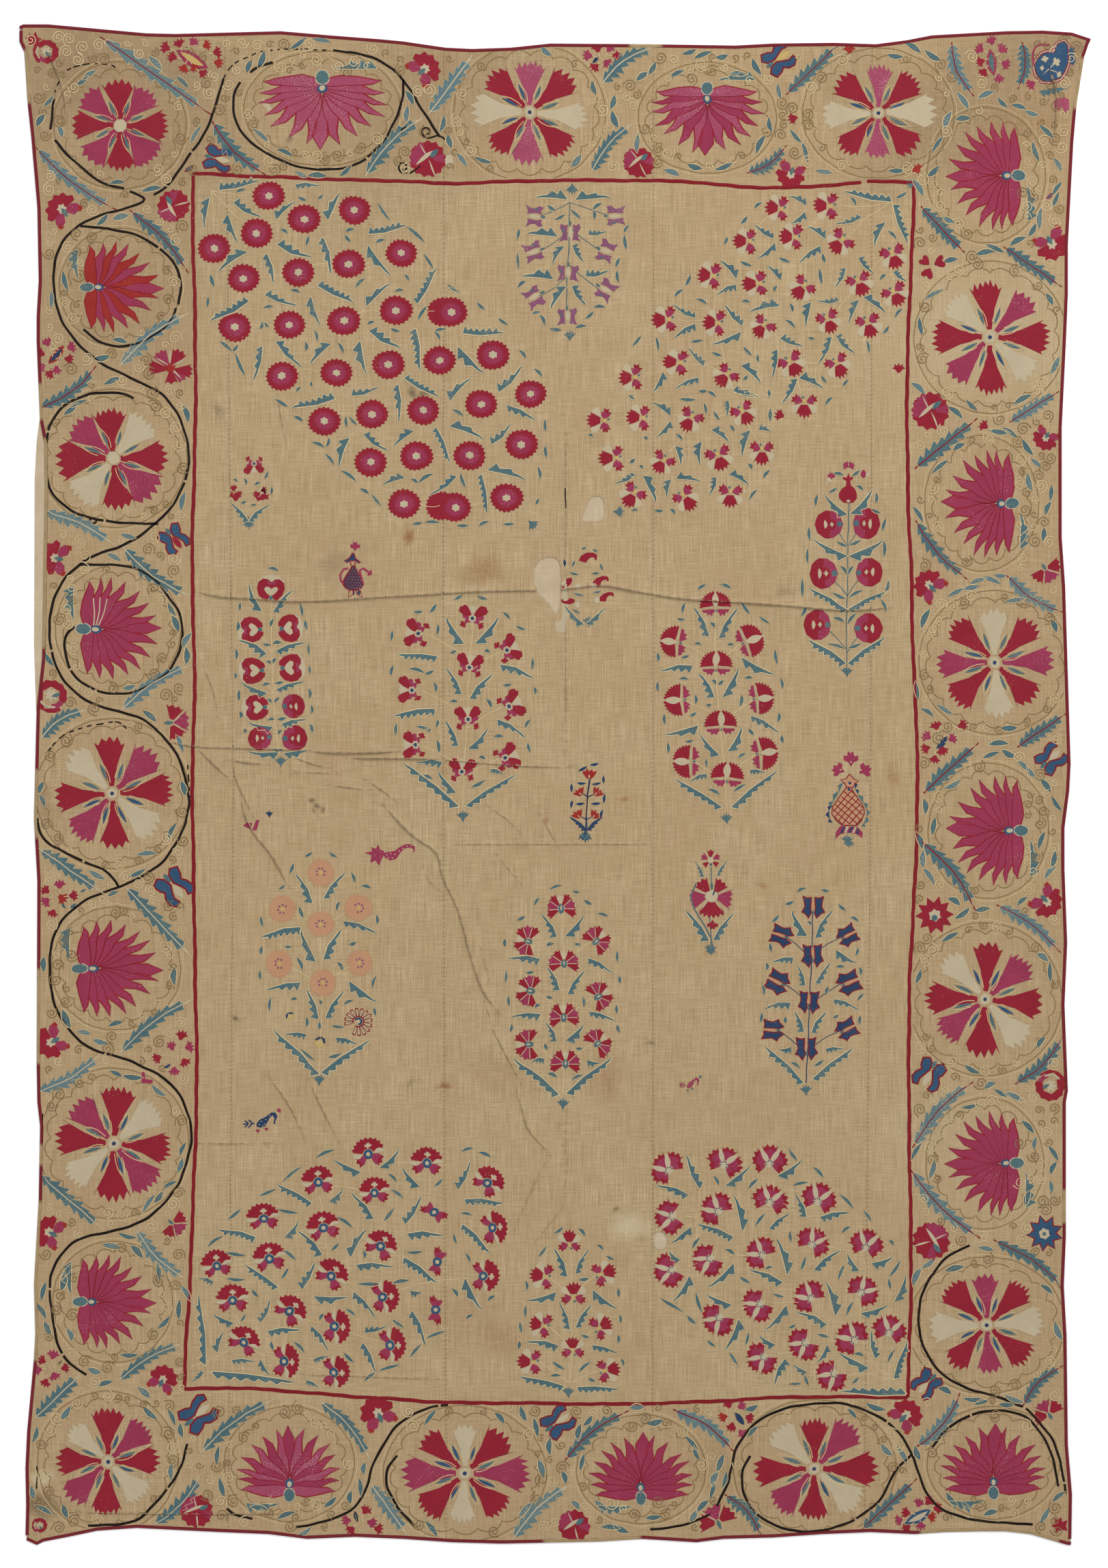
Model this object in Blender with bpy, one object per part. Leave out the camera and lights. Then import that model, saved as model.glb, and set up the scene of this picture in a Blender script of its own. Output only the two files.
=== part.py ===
"""Suzani: a large embroidered cloth of five narrow strips on a full lining, bound with four thin tapes. It lies flat, face up.

Sizes are in millimetres here and are written to the scene in metres. +X is the right edge, +Y the top edge, +Z the face.
"""

import math

import bpy
import numpy as np
from mathutils import Vector
from mathutils.geometry import delaunay_2d_cdt

# Driving sizes.
LINING_THICK = 1.0
FACE_THICK = 1.2
GAP = 0.3  # between any two pieces
TAPE_WIDE = 5.0
LINING_INSET = 1.5  # the lining ends this far inside the bound edge
STEP = 70.0  # spacing of points along a plain edge
CREASE_STEP = 34.0

FACE_LOW = LINING_THICK + GAP

# The bound outline, each edge as x, y.
TOP = (
    (-838, 1188), (-833, 1191), (-794, 1191), (-641, 1177), (-595, 1176), (-430, 1180), (-237, 1164), (-172, 1155),
    (-130, 1152), (-68, 1155), (-7, 1161), (283, 1158), (342, 1161), (438, 1162), (503, 1160), (552, 1166),
    (591, 1174), (706, 1180), (764, 1181), (810, 1178), (837, 1170),
)
RIGHT = (
    (839, 1167), (829, 1141), (818, 1068), (812, 1007), (804, 845), (804, 768), (801, 691), (794, 560), (794, 387),
    (800, 310), (808, 32), (806, -10), (798, -67), (798, -133), (803, -248), (798, -345), (803, -422), (804, -479),
    (801, -498), (801, -708), (797, -785), (802, -862), (804, -1035), (810, -1112), (808, -1189),
)
BOTTOM = (
    (-828, -1183), (-812, -1191), (-801, -1186), (-717, -1168), (-656, -1164), (-449, -1174), (-388, -1181),
    (-313, -1178), (-237, -1181), (-160, -1187), (-84, -1189), (69, -1186), (137, -1181), (222, -1187),
    (265, -1181), (342, -1179), (495, -1171), (564, -1174), (610, -1171), (706, -1170), (745, -1174), (804, -1191),
)
LEFT = (
    (-839, 1164), (-831, 1147), (-826, 1065), (-820, 1015), (-811, 904), (-809, 790), (-812, 733), (-812, 694),
    (-807, 568), (-800, 534), (-799, 465), (-804, 198), (-812, 121), (-816, -55), (-811, -151), (-812, -440),
    (-811, -498), (-807, -535), (-809, -649), (-816, -783), (-814, -860), (-816, -899), (-827, -1013),
    (-830, -1071), (-828, -1129), (-830, -1178),
)
# The face is drawn in here, so the lining shows past it: x, y.
LINING_SHOWS = ((-807, 572), (-812, 540), (-815, 480), (-816, 217), (-813, 121), (-811, 100))

# Where one strip is sewn to the next: x at the top, the middle and the bottom edge.
SEAMS = (
    (-517, -504, -512),
    (-174, -175, -170),
    (154, 154, 153),
    (497, 495, 484),
)

# Worn places where the lining shows: strip, centre x, y, half width, half height, taper to the bottom.
HOLES = (
    ("panel_3", 62, 432, 17, 20, 0.0),
    ("panel_3", -10, 314, 21, 36, 0.5),
    ("panel_4", 168, -714, 11, 16, 0.0),
)

# Creases left by folding: height, half width, then x, y along it.
CREASES = {
    "fold_high": (3.6, 13, (-564, 303), (-526, 294), (-396, 286), (-105, 304), (10, 305), (75, 315), (126, 303), (205, 290), (334, 284), (457, 272), (526, 277)),
    "fold_low": (3.4, 12, (-610, 68), (-564, 59), (-376, 56), (-323, 48), (-250, 54), (-221, 40), (-68, 30), (19, 27)),
    "short_1": (1.6, 9, (-507, 36), (-453, 31)),
    "short_2": (1.6, 9, (-411, 35), (-354, 24)),
    "short_3": (1.8, 9, (-354, -2), (-293, -9)),
    "slant_left": (2.8, 11, (-556, 44), (-505, 5), (-478, -73), (-446, -109), (-415, -163)),
    "slant_upper": (2.2, 10, (-298, 5), (-254, -21)),
    "slant_middle": (3.0, 12, (-264, -36), (-218, -82), (-182, -103), (-178, -143), (-149, -200), (-141, -239), (-113, -323), (-92, -353)),
    "slant_lower": (2.4, 11, (-102, -372), (-53, -468)),
    "slant_foot": (2.6, 11, (-60, -480), (-50, -513), (-44, -539), (-19, -566), (-7, -580)),
    "low_1": (2.2, 11, (-17, -596), (-63, -696)),
    "low_2": (1.8, 9, (12, -662), (-30, -715)),
    "upright_top": (1.8, 11, (17, 549), (17, 330)),
    "upright_middle": (1.8, 11, (17, 275), (17, 52)),
    "upright_foot": (1.6, 10, (17, -513), (17, -623)),
    "left_upper": (1.8, 10, (-434, 610), (-425, 546)),
    "left_middle": (2.0, 10, (-552, 186), (-534, 148), (-528, 106)),
    "left_lower": (2.4, 11, (-447, -459), (-415, -501), (-394, -551)),
    "left_foot": (2.4, 11, (-386, -462), (-339, -559)),
    "cross_low": (1.6, 10, (-556, -562), (-457, -562)),
    "cross_middle": (1.4, 10, (-150, -93), (140, -93)),
    "cross_foot": (1.6, 11, (-396, -923), (-184, -931)),
    "hem_left": (2.2, 10, (-743, -1140), (-550, -1143), (-410, -1141)),
    "corner_left": (2.6, 13, (-800, 1160), (-772, 1100), (-764, 1040)),
    "corner_right": (3.4, 15, (770, 1140), (788, 1085), (782, 1010)),
}
SIDE_LINES = (-1.0, -0.5, 0.5, 1.0)  # lines of points beside a crease, in half widths


def smooth(line, step):
    """The line rounded a little and spaced out by the step."""
    p = np.array(line, float)
    for _ in range(2):
        if len(p) > 2:
            cut = np.empty((2 * len(p) - 2, 2))
            cut[0], cut[-1] = p[0], p[-1]
            cut[1:-1:2] = 0.75 * p[:-1][:len(cut[1:-1:2])] + 0.25 * p[1:][:len(cut[1:-1:2])]
            cut[2:-1:2] = 0.25 * p[:-2] + 0.75 * p[1:-1]
            p = cut
    run = np.concatenate([[0], np.cumsum(np.hypot(*np.diff(p, axis=0).T))])
    s = np.linspace(0, run[-1], max(3, int(round(run[-1] / step)) + 1))
    return np.column_stack([np.interp(s, run, p[:, 0]), np.interp(s, run, p[:, 1])]), s


CREASE_LINES = {name: smooth(c[2:], CREASE_STEP) for name, c in CREASES.items()}


def height(x, y):
    """How far the creases lift the face at this place."""
    best = 0.0
    for name, (line, run) in CREASE_LINES.items():
        tall, half = CREASES[name][:2]
        a, b = line[:-1], line[1:]
        d = b - a
        t = np.clip(((x - a[:, 0]) * d[:, 0] + (y - a[:, 1]) * d[:, 1]) / (d**2).sum(1), 0, 1)
        away = np.hypot(x - a[:, 0] - t * d[:, 0], y - a[:, 1] - t * d[:, 1])
        i = int(away.argmin())
        if away[i] >= half:
            continue
        s = run[i] + t[i] * (run[i + 1] - run[i])
        fade = min(1.0, s / 40, (run[-1] - s) / 40)
        fade = max(fade, 0.0)
        best = max(best, tall * (1 - (away[i] / half) ** 2) ** 2 * math.sin(fade * math.pi / 2))
    return best


def crease_guides():
    """Lines of points along each crease and beside it, which the triangles follow."""
    for name, (line, _) in CREASE_LINES.items():
        half = CREASES[name][1]
        along = np.gradient(line, axis=0)
        side = np.column_stack([-along[:, 1], along[:, 0]]) / np.hypot(*along.T)[:, None]
        yield line
        for k in SIDE_LINES:
            yield line[1:-1] + side[1:-1] * (k * half)


def top_y(x):
    return np.interp(x, *zip(*TOP))


def bottom_y(x):
    return np.interp(x, *zip(*BOTTOM))


def left_x(y):
    return np.interp(y, *zip(*[(v, u) for u, v in reversed(LEFT)]))


def right_x(y):
    return np.interp(y, *zip(*[(v, u) for u, v in reversed(RIGHT)]))


def seam_x(k):
    top, middle, bottom = SEAMS[k]
    return lambda y: np.interp(y, (-1191, 0, 1191), (bottom, middle, top))


def stations(low, high, table, column):
    """Places along an edge: its two ends, the table's own, and no run longer than STEP."""
    inner = [row[column] for row in table if low + 0.5 < row[column] < high - 0.5]
    marks = sorted({low, high, *inner})
    out = [marks[0]]
    for a, b in zip(marks, marks[1:]):
        n = max(1, math.ceil((b - a) / STEP))
        out += [a + (b - a) * (i + 1) / n for i in range(n)]
    return out


def corner(x_of, y_of, x, y):
    for _ in range(6):
        x = float(x_of(y))
        y = float(y_of(x))
    return x, y


def ring_between(left, right, bottom, top, left_table=(), right_table=()):
    """The closed outline, anticlockwise, between four edge functions."""
    bl = corner(left, bottom, left(-1150), -1150)
    br = corner(right, bottom, right(-1150), -1150)
    tr = corner(right, top, right(1150), 1150)
    tl = corner(left, top, left(1150), 1150)
    ring = [(x, float(bottom(x))) for x in stations(bl[0], br[0], BOTTOM, 0)]
    ring += [(float(right(y)), y) for y in stations(br[1], tr[1], right_table, 1)[1:]]
    ring += [(x, float(top(x))) for x in stations(tl[0], tr[0], TOP, 0)[::-1][1:]]
    ring += [(float(left(y)), y) for y in stations(bl[1], tl[1], left_table, 1)[::-1][1:-1]]
    return ring


def inside(ring, x, y):
    """Whether each place is inside the closed outline."""
    p = np.array(ring, float)
    q = np.roll(p, -1, axis=0)
    hit = np.zeros(len(x), int)
    for (ax, ay), (bx, by) in zip(p, q):
        over = (ay > y) != (by > y)
        hit += over & (x < ax + (y - ay) * (bx - ax) / (by - ay if by != ay else 1.0))
    return hit % 2 == 1


def colour(name, rgb, roughness):
    material = bpy.data.materials.new(name)
    material.use_nodes = True
    shader = material.node_tree.nodes["Principled BSDF"]
    shader.inputs["Base Color"].default_value = (*rgb, 1)
    shader.inputs["Roughness"].default_value = roughness
    material.diffuse_color = (*rgb, 1)
    return material


def cloth(name, ring, low, thick, material, holes=(), creased=True):
    """One closed sheet: the same triangles above and below, joined round its outline and its holes."""
    points, edges = [], []

    def add(line, closed):
        first = len(points)
        points.extend(Vector(p) for p in line)
        edges.extend((first + i, first + i + 1) for i in range(len(line) - 1))
        if closed:
            edges.append((first + len(line) - 1, first))

    add(ring, True)
    for hole in holes:
        add(hole, True)
    if creased:
        for line in crease_guides():
            near = inside(ring, line[:, 0], line[:, 1])
            if near.any() and len(line) > 1:
                add(line, False)
    flat, _, faces, *_ = delaunay_2d_cdt(points, edges, [], 0, 0.02)
    xy = np.array([tuple(p) for p in flat])
    tri = np.array([f for f in faces if len(f) == 3])
    a, b, c = xy[tri[:, 0]], xy[tri[:, 1]], xy[tri[:, 2]]
    area = (b[:, 0] - a[:, 0]) * (c[:, 1] - a[:, 1]) - (b[:, 1] - a[:, 1]) * (c[:, 0] - a[:, 0])
    mid = (a + b + c) / 3
    keep = inside(ring, mid[:, 0], mid[:, 1])
    for hole in holes:
        keep &= ~inside(hole, mid[:, 0], mid[:, 1])
    tri, area = tri[keep], area[keep]
    tri[area < 0] = tri[area < 0][:, ::-1]
    used, tri = np.unique(tri, return_inverse=True)
    tri = tri.reshape(-1, 3)
    xy = xy[used]
    lift = np.array([height(x, y) for x, y in xy]) if creased else np.zeros(len(xy))
    n = len(xy)
    verts = np.vstack([np.column_stack([xy, low + lift]), np.column_stack([xy, low + thick + lift])]) / 1000
    sides = {}
    for t in tri:
        for u, v in ((t[0], t[1]), (t[1], t[2]), (t[2], t[0])):
            if sides.pop((v, u), None) is None:
                sides[(u, v)] = True
    quads = [(u, v, v + n, u + n) for u, v in sides]
    below = [tuple(t[::-1]) for t in tri]
    above = [tuple(t + n) for t in tri]
    mesh = bpy.data.meshes.new(name)
    mesh.from_pydata([tuple(v) for v in verts], [], [tuple(map(int, f)) for f in below + above + quads])
    mesh.materials.append(material)
    mesh.validate()
    obj = bpy.data.objects.new(name, mesh)
    parts.objects.link(obj)
    return obj


def worn(x, y, wide, tall, taper):
    """The outline of a worn hole, narrower to the bottom by the taper."""
    out = []
    for i in range(14):
        a = 2 * math.pi * i / 14
        s = math.sin(a)
        out.append((x + wide * math.cos(a) * (1 - taper * max(0.0, -s)), y + tall * s))
    return out


for old in list(bpy.data.objects):
    bpy.data.objects.remove(old)
parts = bpy.data.collections.new("suzani")
bpy.context.scene.collection.children.link(parts)

# The lining, one flat cloth under everything.
shows = sorted((v, u) for u, v in LINING_SHOWS)


def lining_left(y):
    edge = left_x(y) + LINING_INSET
    if shows[0][0] <= y <= shows[-1][0]:
        edge = min(edge, np.interp(y, *zip(*shows)))
    return edge


cloth(
    "lining",
    ring_between(
        lining_left,
        lambda y: right_x(y) - LINING_INSET,
        lambda x: bottom_y(x) + LINING_INSET,
        lambda x: top_y(x) - LINING_INSET,
        LEFT + LINING_SHOWS,
        RIGHT,
    ),
    0.0,
    LINING_THICK,
    colour("plain_lining", (0.58, 0.46, 0.35), 0.9),
    creased=False,
)

# The five strips, cut 0.3 mm apart.
inset = TAPE_WIDE + GAP
edge_left = lambda y: left_x(y) + inset
edge_right = lambda y: right_x(y) - inset
lines = [edge_left, *(seam_x(k) for k in range(4)), edge_right]
tables = [LEFT, (), (), (), (), RIGHT]
for k in range(5):
    name = f"panel_{k + 1}"
    west, east = lines[k], lines[k + 1]
    ring = ring_between(
        west if k == 0 else lambda y: west(y) + GAP / 2,
        east if k == 4 else lambda y: east(y) - GAP / 2,
        lambda x: bottom_y(x) + inset,
        lambda x: top_y(x) - inset,
        tables[k],
        tables[k + 1],
    )
    holes = [worn(*row[1:]) for row in HOLES if row[0] == name]
    cloth(name, ring, FACE_LOW, FACE_THICK, colour(f"cotton_strip_{k + 1}", (0.45, 0.35, 0.23), 0.9), holes)

# The four tapes round the edge. The top and bottom ones run full width, and the side ones stop 0.3 mm short of them.
red = (0.36, 0.02, 0.04)
for side, edge, table, ends, sign in (
    ("top", top_y, TOP, (-839, 839), -1),
    ("bottom", bottom_y, BOTTOM, (-828, 807), 1),
):
    xs = stations(*ends, table, 0)
    outer = [(x, float(edge(x))) for x in xs]
    inner = [(x, y + sign * TAPE_WIDE) for x, y in outer]
    cloth(f"edging_{side}", inner + outer[::-1], FACE_LOW, FACE_THICK, colour(f"tape_{side}", red, 0.8))
for side, edge, table, sign in (("left", left_x, LEFT, 1), ("right", right_x, RIGHT, -1)):
    foot = [float(edge(-1170)) + sign * k for k in range(-2, 9)]
    head = [float(edge(1165)) + sign * k for k in range(-2, 9)]
    ys = stations(max(map(float, map(bottom_y, foot))) + inset, min(map(float, map(top_y, head))) - inset, table, 1)
    outer = [(float(edge(y)), y) for y in ys]
    inner = [(x + sign * TAPE_WIDE, y) for x, y in outer]
    cloth(f"edging_{side}", inner + outer[::-1], FACE_LOW, FACE_THICK, colour(f"tape_{side}", red, 0.8))
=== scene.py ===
"""A large suzani laid out flat: five narrow cotton strips on a full lining, embroidered in floss silk.

Places are written in units of the embroiderer's chart, UNIT metres each: x to the right and y down from
its upper left corner. Shapes are drawn upright round (0, 0) in the same units with y up, and are set out
on the chart. Turns are in degrees, anticlockwise for what is set out.
"""

import math
import random

import bmesh
import bpy
import numpy as np
from mathutils.geometry import delaunay_2d_cdt
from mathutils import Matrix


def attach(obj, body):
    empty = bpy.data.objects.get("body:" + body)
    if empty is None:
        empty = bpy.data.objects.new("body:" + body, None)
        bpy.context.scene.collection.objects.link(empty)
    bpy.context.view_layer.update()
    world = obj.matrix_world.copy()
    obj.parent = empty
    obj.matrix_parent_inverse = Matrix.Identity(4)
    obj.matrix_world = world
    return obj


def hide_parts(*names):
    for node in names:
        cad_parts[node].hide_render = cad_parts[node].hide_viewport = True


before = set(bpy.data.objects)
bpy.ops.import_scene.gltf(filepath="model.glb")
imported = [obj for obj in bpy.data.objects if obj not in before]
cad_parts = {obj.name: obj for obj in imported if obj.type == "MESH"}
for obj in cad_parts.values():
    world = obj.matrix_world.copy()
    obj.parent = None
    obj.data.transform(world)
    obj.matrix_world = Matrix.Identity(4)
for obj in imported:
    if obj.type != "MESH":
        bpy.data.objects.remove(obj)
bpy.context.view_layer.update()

UNIT = 0.00107  # metres to a unit of the chart
MIDDLE = (812.8, 1149.0)  # the place on the chart that lies over the origin
MM = 0.001  # metres to a millimetre

# Heights above the surface that the suzani lies on, in millimetres.
LINING_TOP = 1.0
FACE_LOW = 1.3
FACE_TOP = 2.5
RELIEF = 0.45  # how far the silk stands above the cotton
SUNK = 0.2  # how far a stitch reaches into the cotton

draw = random.Random(7)


def drawn(text):
    """The places of a line or an outline written out as "x y, x y"."""
    return [
        tuple(float(word) if "." in word else int(word) for word in place.split())
        for place in text.split(",")
    ]


def drawn_lines(text):
    """Several lines, with a semicolon between them."""
    return [drawn(line) for line in text.split(";")]


def table(columns, text):
    """The rows of a table written out as text, with a comma between rows, and the names of its columns."""
    rows = []
    for row in text.split(","):
        cells = [
            cell if cell[0].isalpha() else float(cell) if "." in cell else int(cell) for cell in row.split()
        ]
        assert len(cells) == len(columns.split()), row
        rows.append(tuple(cells))
    return rows


PLACE = "x y turn wide tall"


def on_cloth(points):
    """Chart places to metres on the cloth."""
    p = np.atleast_2d(np.array(points, float))
    return np.column_stack([(p[:, 0] - MIDDLE[0]) * UNIT, (MIDDLE[1] - p[:, 1]) * UNIT])


# The light takes white past white, so a thing is in itself this much darker than it shows.
WHITE = 0.76


def linear(code):
    """The sRGB hex colour that a thing shows in this light, as its own linear colour."""
    parts = [int(code[i : i + 2], 16) / 255 for i in (1, 3, 5)]
    return [WHITE * (c / 12.92 if c <= 0.04045 else ((c + 0.055) / 1.055) ** 2.4) for c in parts] + [1.0]


# ---------------------------------------------------------------- outline and creases

# The bound outline, each edge as x, y on the chart.
TOP = drawn("""
    28 39, 34 36, 71 36, 214 49, 257 50, 411 46, 482 52, 560 58, 591 61, 652 70, 691 72, 749 70, 806 64,
    949 65, 1077 67, 1132 64, 1222 63, 1283 65, 1329 59, 1365 52, 1473 46, 1527 45, 1570 48, 1597 57
""")
RIGHT = drawn("""
    1597 57, 1588 83, 1577 151, 1572 208, 1564 359, 1564 431, 1561 503, 1555 626, 1555 787, 1560 859,
    1568 1119, 1566 1158, 1559 1212, 1559 1273, 1563 1381, 1559 1471, 1564 1597, 1561 1614, 1561 1811,
    1558 1883, 1562 1955, 1564 2116, 1570 2188, 1569 2260
""")
BOTTOM = drawn("""
    39 2255, 54 2262, 64 2257, 100 2250, 143 2241, 200 2237, 321 2243, 393 2246, 450 2253, 520 2250,
    591 2253, 663 2258, 734 2260, 877 2257, 941 2253, 1020 2258, 1060 2253, 1132 2251, 1204 2246, 1275 2243,
    1340 2246, 1383 2243, 1437 2242, 1473 2242, 1509 2246, 1564 2262
""")
LEFT = drawn("""
    28.7 61, 36 77, 41 154, 46 200, 55 304, 57 411, 54 464, 54 500, 59 618, 65 650, 66 714, 62 964, 54 1036,
    50 1200, 55 1290, 54 1560, 55 1614, 59 1649, 57 1756, 50 1881, 52 1953, 50 1989, 40 2096, 37.5 2150,
    38.6 2204, 37.5 2250
""")
# The face is drawn in here, so the lining shows past it.
LINING_SHOWS = drawn("58 614, 54 645, 51 701, 50 946, 53 1036, 54.5 1055")

# Where one strip is sewn to the next: x at the top, the middle and the bottom edge.
SEAMS = ((329.6, 341.8, 334.3), (650.2, 649.2, 653.9), (956.7, 956.7, 955.8), (1277.3, 1275.4, 1265.1))

# Worn holes, as the corners of each.
HOLES = drawn_lines("""
    866 727, 883 726, 886 745, 885 763, 868 765, 851 764, 854 752, 860 739; 793 817, 812 815, 820 822,
    822 836, 822 860, 821 888, 815 903, 809 894, 800 880, 788 870, 782 856, 780 842, 784 827; 957 1806,
    966 1802, 975 1806, 979 1817, 975 1829, 967 1831, 958 1828, 954 1817
""")

# Creases left by folding: height and half width in millimetres, then x, y along each on the chart.
SHARP = 1.3  # a fold drops this far to its right, in millimetres
CREASES = (
    (
        4.6, 6.5,
        drawn(
            "286 866, 321 874, 379 877, 443 882, 560 874, 651 869, 715 865, 822 864, 883 855, 931 866, "
            "1004 878, 1125 884, 1240 895, 1304 890"
        ),
    ),
    (3.4, 6.0, drawn("243 1085, 286 1094, 343 1095, 455 1099")),
    (5.2, 5.0, drawn("452 1100, 511 1103, 586 1100")), (4.6, 5.0, drawn("508 1110, 579 1110, 650 1112")),
    (2.8, 6.0, drawn("640 1112, 749 1121, 831 1124")), (4.4, 5.0, drawn("334 1113, 352 1115, 392 1120")),
    (2.8, 4.5, drawn("426 1107, 455 1118, 484 1125")), (2.0, 4.5, drawn("438 1131, 494 1132")),
    (2.8, 4.5, drawn("482 1149, 542 1157")), (3.6, 5.5, drawn("286 1093, 310 1115, 342 1147")),
    (3.2, 5.0, drawn("340 1114, 345 1140, 362 1176, 371 1197")),
    (4.2, 5.5, drawn("353 1165, 358 1194, 375 1225, 400 1252, 424 1300")),
    (3.2, 5.0, drawn("536 1142, 560 1156, 578 1172")),
    (
        4.4, 6.0,
        drawn("564 1181, 607 1227, 643 1246, 647 1282, 656 1299, 674 1336, 690 1404, 707 1451, 727 1479"),
    ),
    (3.0, 5.5, drawn("717 1497, 763 1586")), (1.8, 4.5, drawn("715 1181, 745 1200, 759 1217")),
    (2.4, 4.5, drawn("792 1193, 806 1218, 818 1241")), (1.5, 4.5, drawn("728 1252, 762 1292")),
    (1.8, 4.5, drawn("620 1270, 626 1288, 643 1303")), (2.0, 4.5, drawn("705 1390, 717 1434")),
    (2.2, 4.5, drawn("709 1466, 723 1502")),
    (3.2, 5.5, drawn("757 1597, 766 1628, 772 1653, 795 1678, 806 1691")),
    (2.7, 5.5, drawn("797 1706, 784 1731, 766 1771, 754 1799")), (2.2, 4.5, drawn("824 1768, 785 1817")),
    (1.9, 5.5, drawn("829 636, 829 840")), (1.9, 5.5, drawn("829 892, 829 1100")),
    (1.8, 5.0, drawn("829 1628, 829 1731")), (2.2, 5.0, drawn("407 579, 416 639")),
    (2.4, 5.0, drawn("297 975, 314 1011, 319 1050")), (3.0, 5.5, drawn("395 1578, 425 1617, 445 1664")),
    (3.0, 5.5, drawn("452 1581, 496 1671")), (1.9, 5.0, drawn("293 1674, 386 1674")),
    (1.6, 5.0, drawn("672 1236, 944 1236")), (1.9, 5.5, drawn("443 2012, 641 2019")),
    (2.7, 5.0, drawn("118 2214, 299 2217, 430 2215")), (3.2, 6.5, drawn("65 65, 91 121, 99 177")),
    (4.3, 7.5, drawn("1532 84, 1549 135, 1544 205")),
)


def rounded(line, step, closed=False):
    """The line with its corners rounded, spaced out by about the step."""
    p = np.array(line, float)
    for _ in range(2):
        if closed:
            q = np.roll(p, -1, axis=0)
            p = np.stack([0.75 * p + 0.25 * q, 0.25 * p + 0.75 * q], axis=1).reshape(-1, 2)
        elif len(p) > 2:
            inner = np.stack(
                [0.75 * p[:-1] + 0.25 * p[1:], 0.25 * p[:-1] + 0.75 * p[1:]], axis=1
            ).reshape(-1, 2)
            p = np.vstack([p[:1], inner[1:-1], p[-1:]])
    if closed:
        p = np.vstack([p, p[:1]])
    run = np.concatenate([[0], np.cumsum(np.hypot(*np.diff(p, axis=0).T))])
    s = np.linspace(0, run[-1], max(3, int(round(run[-1] / step)) + 1))
    out = np.column_stack([np.interp(s, run, p[:, 0]), np.interp(s, run, p[:, 1])])
    return out[:-1] if closed else out


CREASE_LINES = [(tall, half, on_cloth(rounded(line, 5.0)) / MM) for tall, half, line in CREASES]


def near_crease(xy, within):
    """Which of these places, in millimetres, lie this near a crease."""
    near = np.zeros(len(xy), bool)
    for _, _, line in CREASE_LINES:
        box = np.all((xy > line.min(0) - within) & (xy < line.max(0) + within), axis=1)
        for i in np.flatnonzero(box):
            near[i] |= bool((np.hypot(*(line - xy[i]).T) < within).any())
    return near


def lift(xy):
    """How far the folds lift the face at these places, both in millimetres.

    A fold rises slowly on its left and drops sharply on its right.
    """
    best = np.zeros(len(xy))
    for tall, half, line in CREASE_LINES:
        box = np.flatnonzero(np.all((xy > line.min(0) - half) & (xy < line.max(0) + half), axis=1))
        if not len(box):
            continue
        p = xy[box][:, None]
        a, d = line[:-1][None], np.diff(line, axis=0)[None]
        t = np.clip(((p - a) * d).sum(2) / (d**2).sum(2), 0, 1)
        off = p - a - t[..., None] * d
        away = np.linalg.norm(off, axis=2)
        i = away.argmin(1)
        rows = np.arange(len(box))
        nearest = away[rows, i]
        right = (d[0, i, 0] * off[rows, i, 1] - d[0, i, 1] * off[rows, i, 0]) < 0
        step = np.linalg.norm(d[0], axis=1)
        run = np.concatenate([[0], np.cumsum(step)])
        s = run[i] + t[rows, i] * step[i]
        fade = np.clip(np.minimum(s, run[-1] - s) / 40, 0, 1) * (0.8 + 0.2 * np.sin(s / 17.0))
        slope = np.where(
            right, np.clip(1 - nearest / SHARP, 0, 1), np.clip(1 - nearest / half, 0, 1) ** 1.6
        )
        best[box] = np.maximum(best[box], tall * slope * np.sin(fade * math.pi / 2))
    return best


def top_of(x):
    return np.interp(x, *zip(*TOP))


def bottom_of(x):
    return np.interp(x, *zip(*BOTTOM))


def left_of(y):
    return np.interp(y, *zip(*[(b, a) for a, b in LEFT]))


def right_of(y):
    return np.interp(y, *zip(*[(b, a) for a, b in RIGHT]))


def seam_of(k):
    return lambda y: np.interp(y, (36, 1149, 2262), SEAMS[k])


# ---------------------------------------------------------------- small tools


def add(tree, kind, links=None, **settings):
    """Adds a node with its settings, and sets or links its inputs."""
    made = tree.nodes.new(kind)
    for name, value in settings.items():
        setattr(made, name, value)
    for key, value in (links or {}).items():
        if isinstance(value, bpy.types.NodeSocket):
            tree.links.new(value, made.inputs[key])
        else:
            made.inputs[key].default_value = value
    return made


def new_tree(name, inputs):
    """A geometry node tree with these inputs and one geometry output."""
    tree = bpy.data.node_groups.new(name, "GeometryNodeTree")
    for label, kind in inputs:
        tree.interface.new_socket(label, in_out="INPUT", socket_type=f"NodeSocket{kind}")
    tree.interface.new_socket("Geometry", in_out="OUTPUT", socket_type="NodeSocketGeometry")
    return tree, add(tree, "NodeGroupInput").outputs, add(tree, "NodeGroupOutput").inputs[0]


def run_tree(tree, mesh, **values):
    """The plain mesh that the tree makes of this one."""
    holder = bpy.data.objects.new("work", mesh)
    bpy.context.scene.collection.objects.link(holder)
    modifier = holder.modifiers.new("work", "NODES")
    modifier.node_group = tree
    for item in tree.interface.items_tree:
        if item.in_out == "INPUT" and item.name in values:
            modifier[item.identifier] = values[item.name]
    graph = bpy.context.evaluated_depsgraph_get()
    made = bpy.data.meshes.new_from_object(
        holder.evaluated_get(graph), preserve_all_data_layers=True, depsgraph=graph
    )
    bpy.data.objects.remove(holder)
    return made


def link(name, mesh):
    """A finished piece of the suzani, with the body it goes with."""
    piece = bpy.data.objects.new(name, mesh)
    mesh.name = name
    bpy.context.scene.collection.objects.link(piece)
    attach(piece, "root")
    return piece


# ---------------------------------------------------------------- materials


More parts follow.
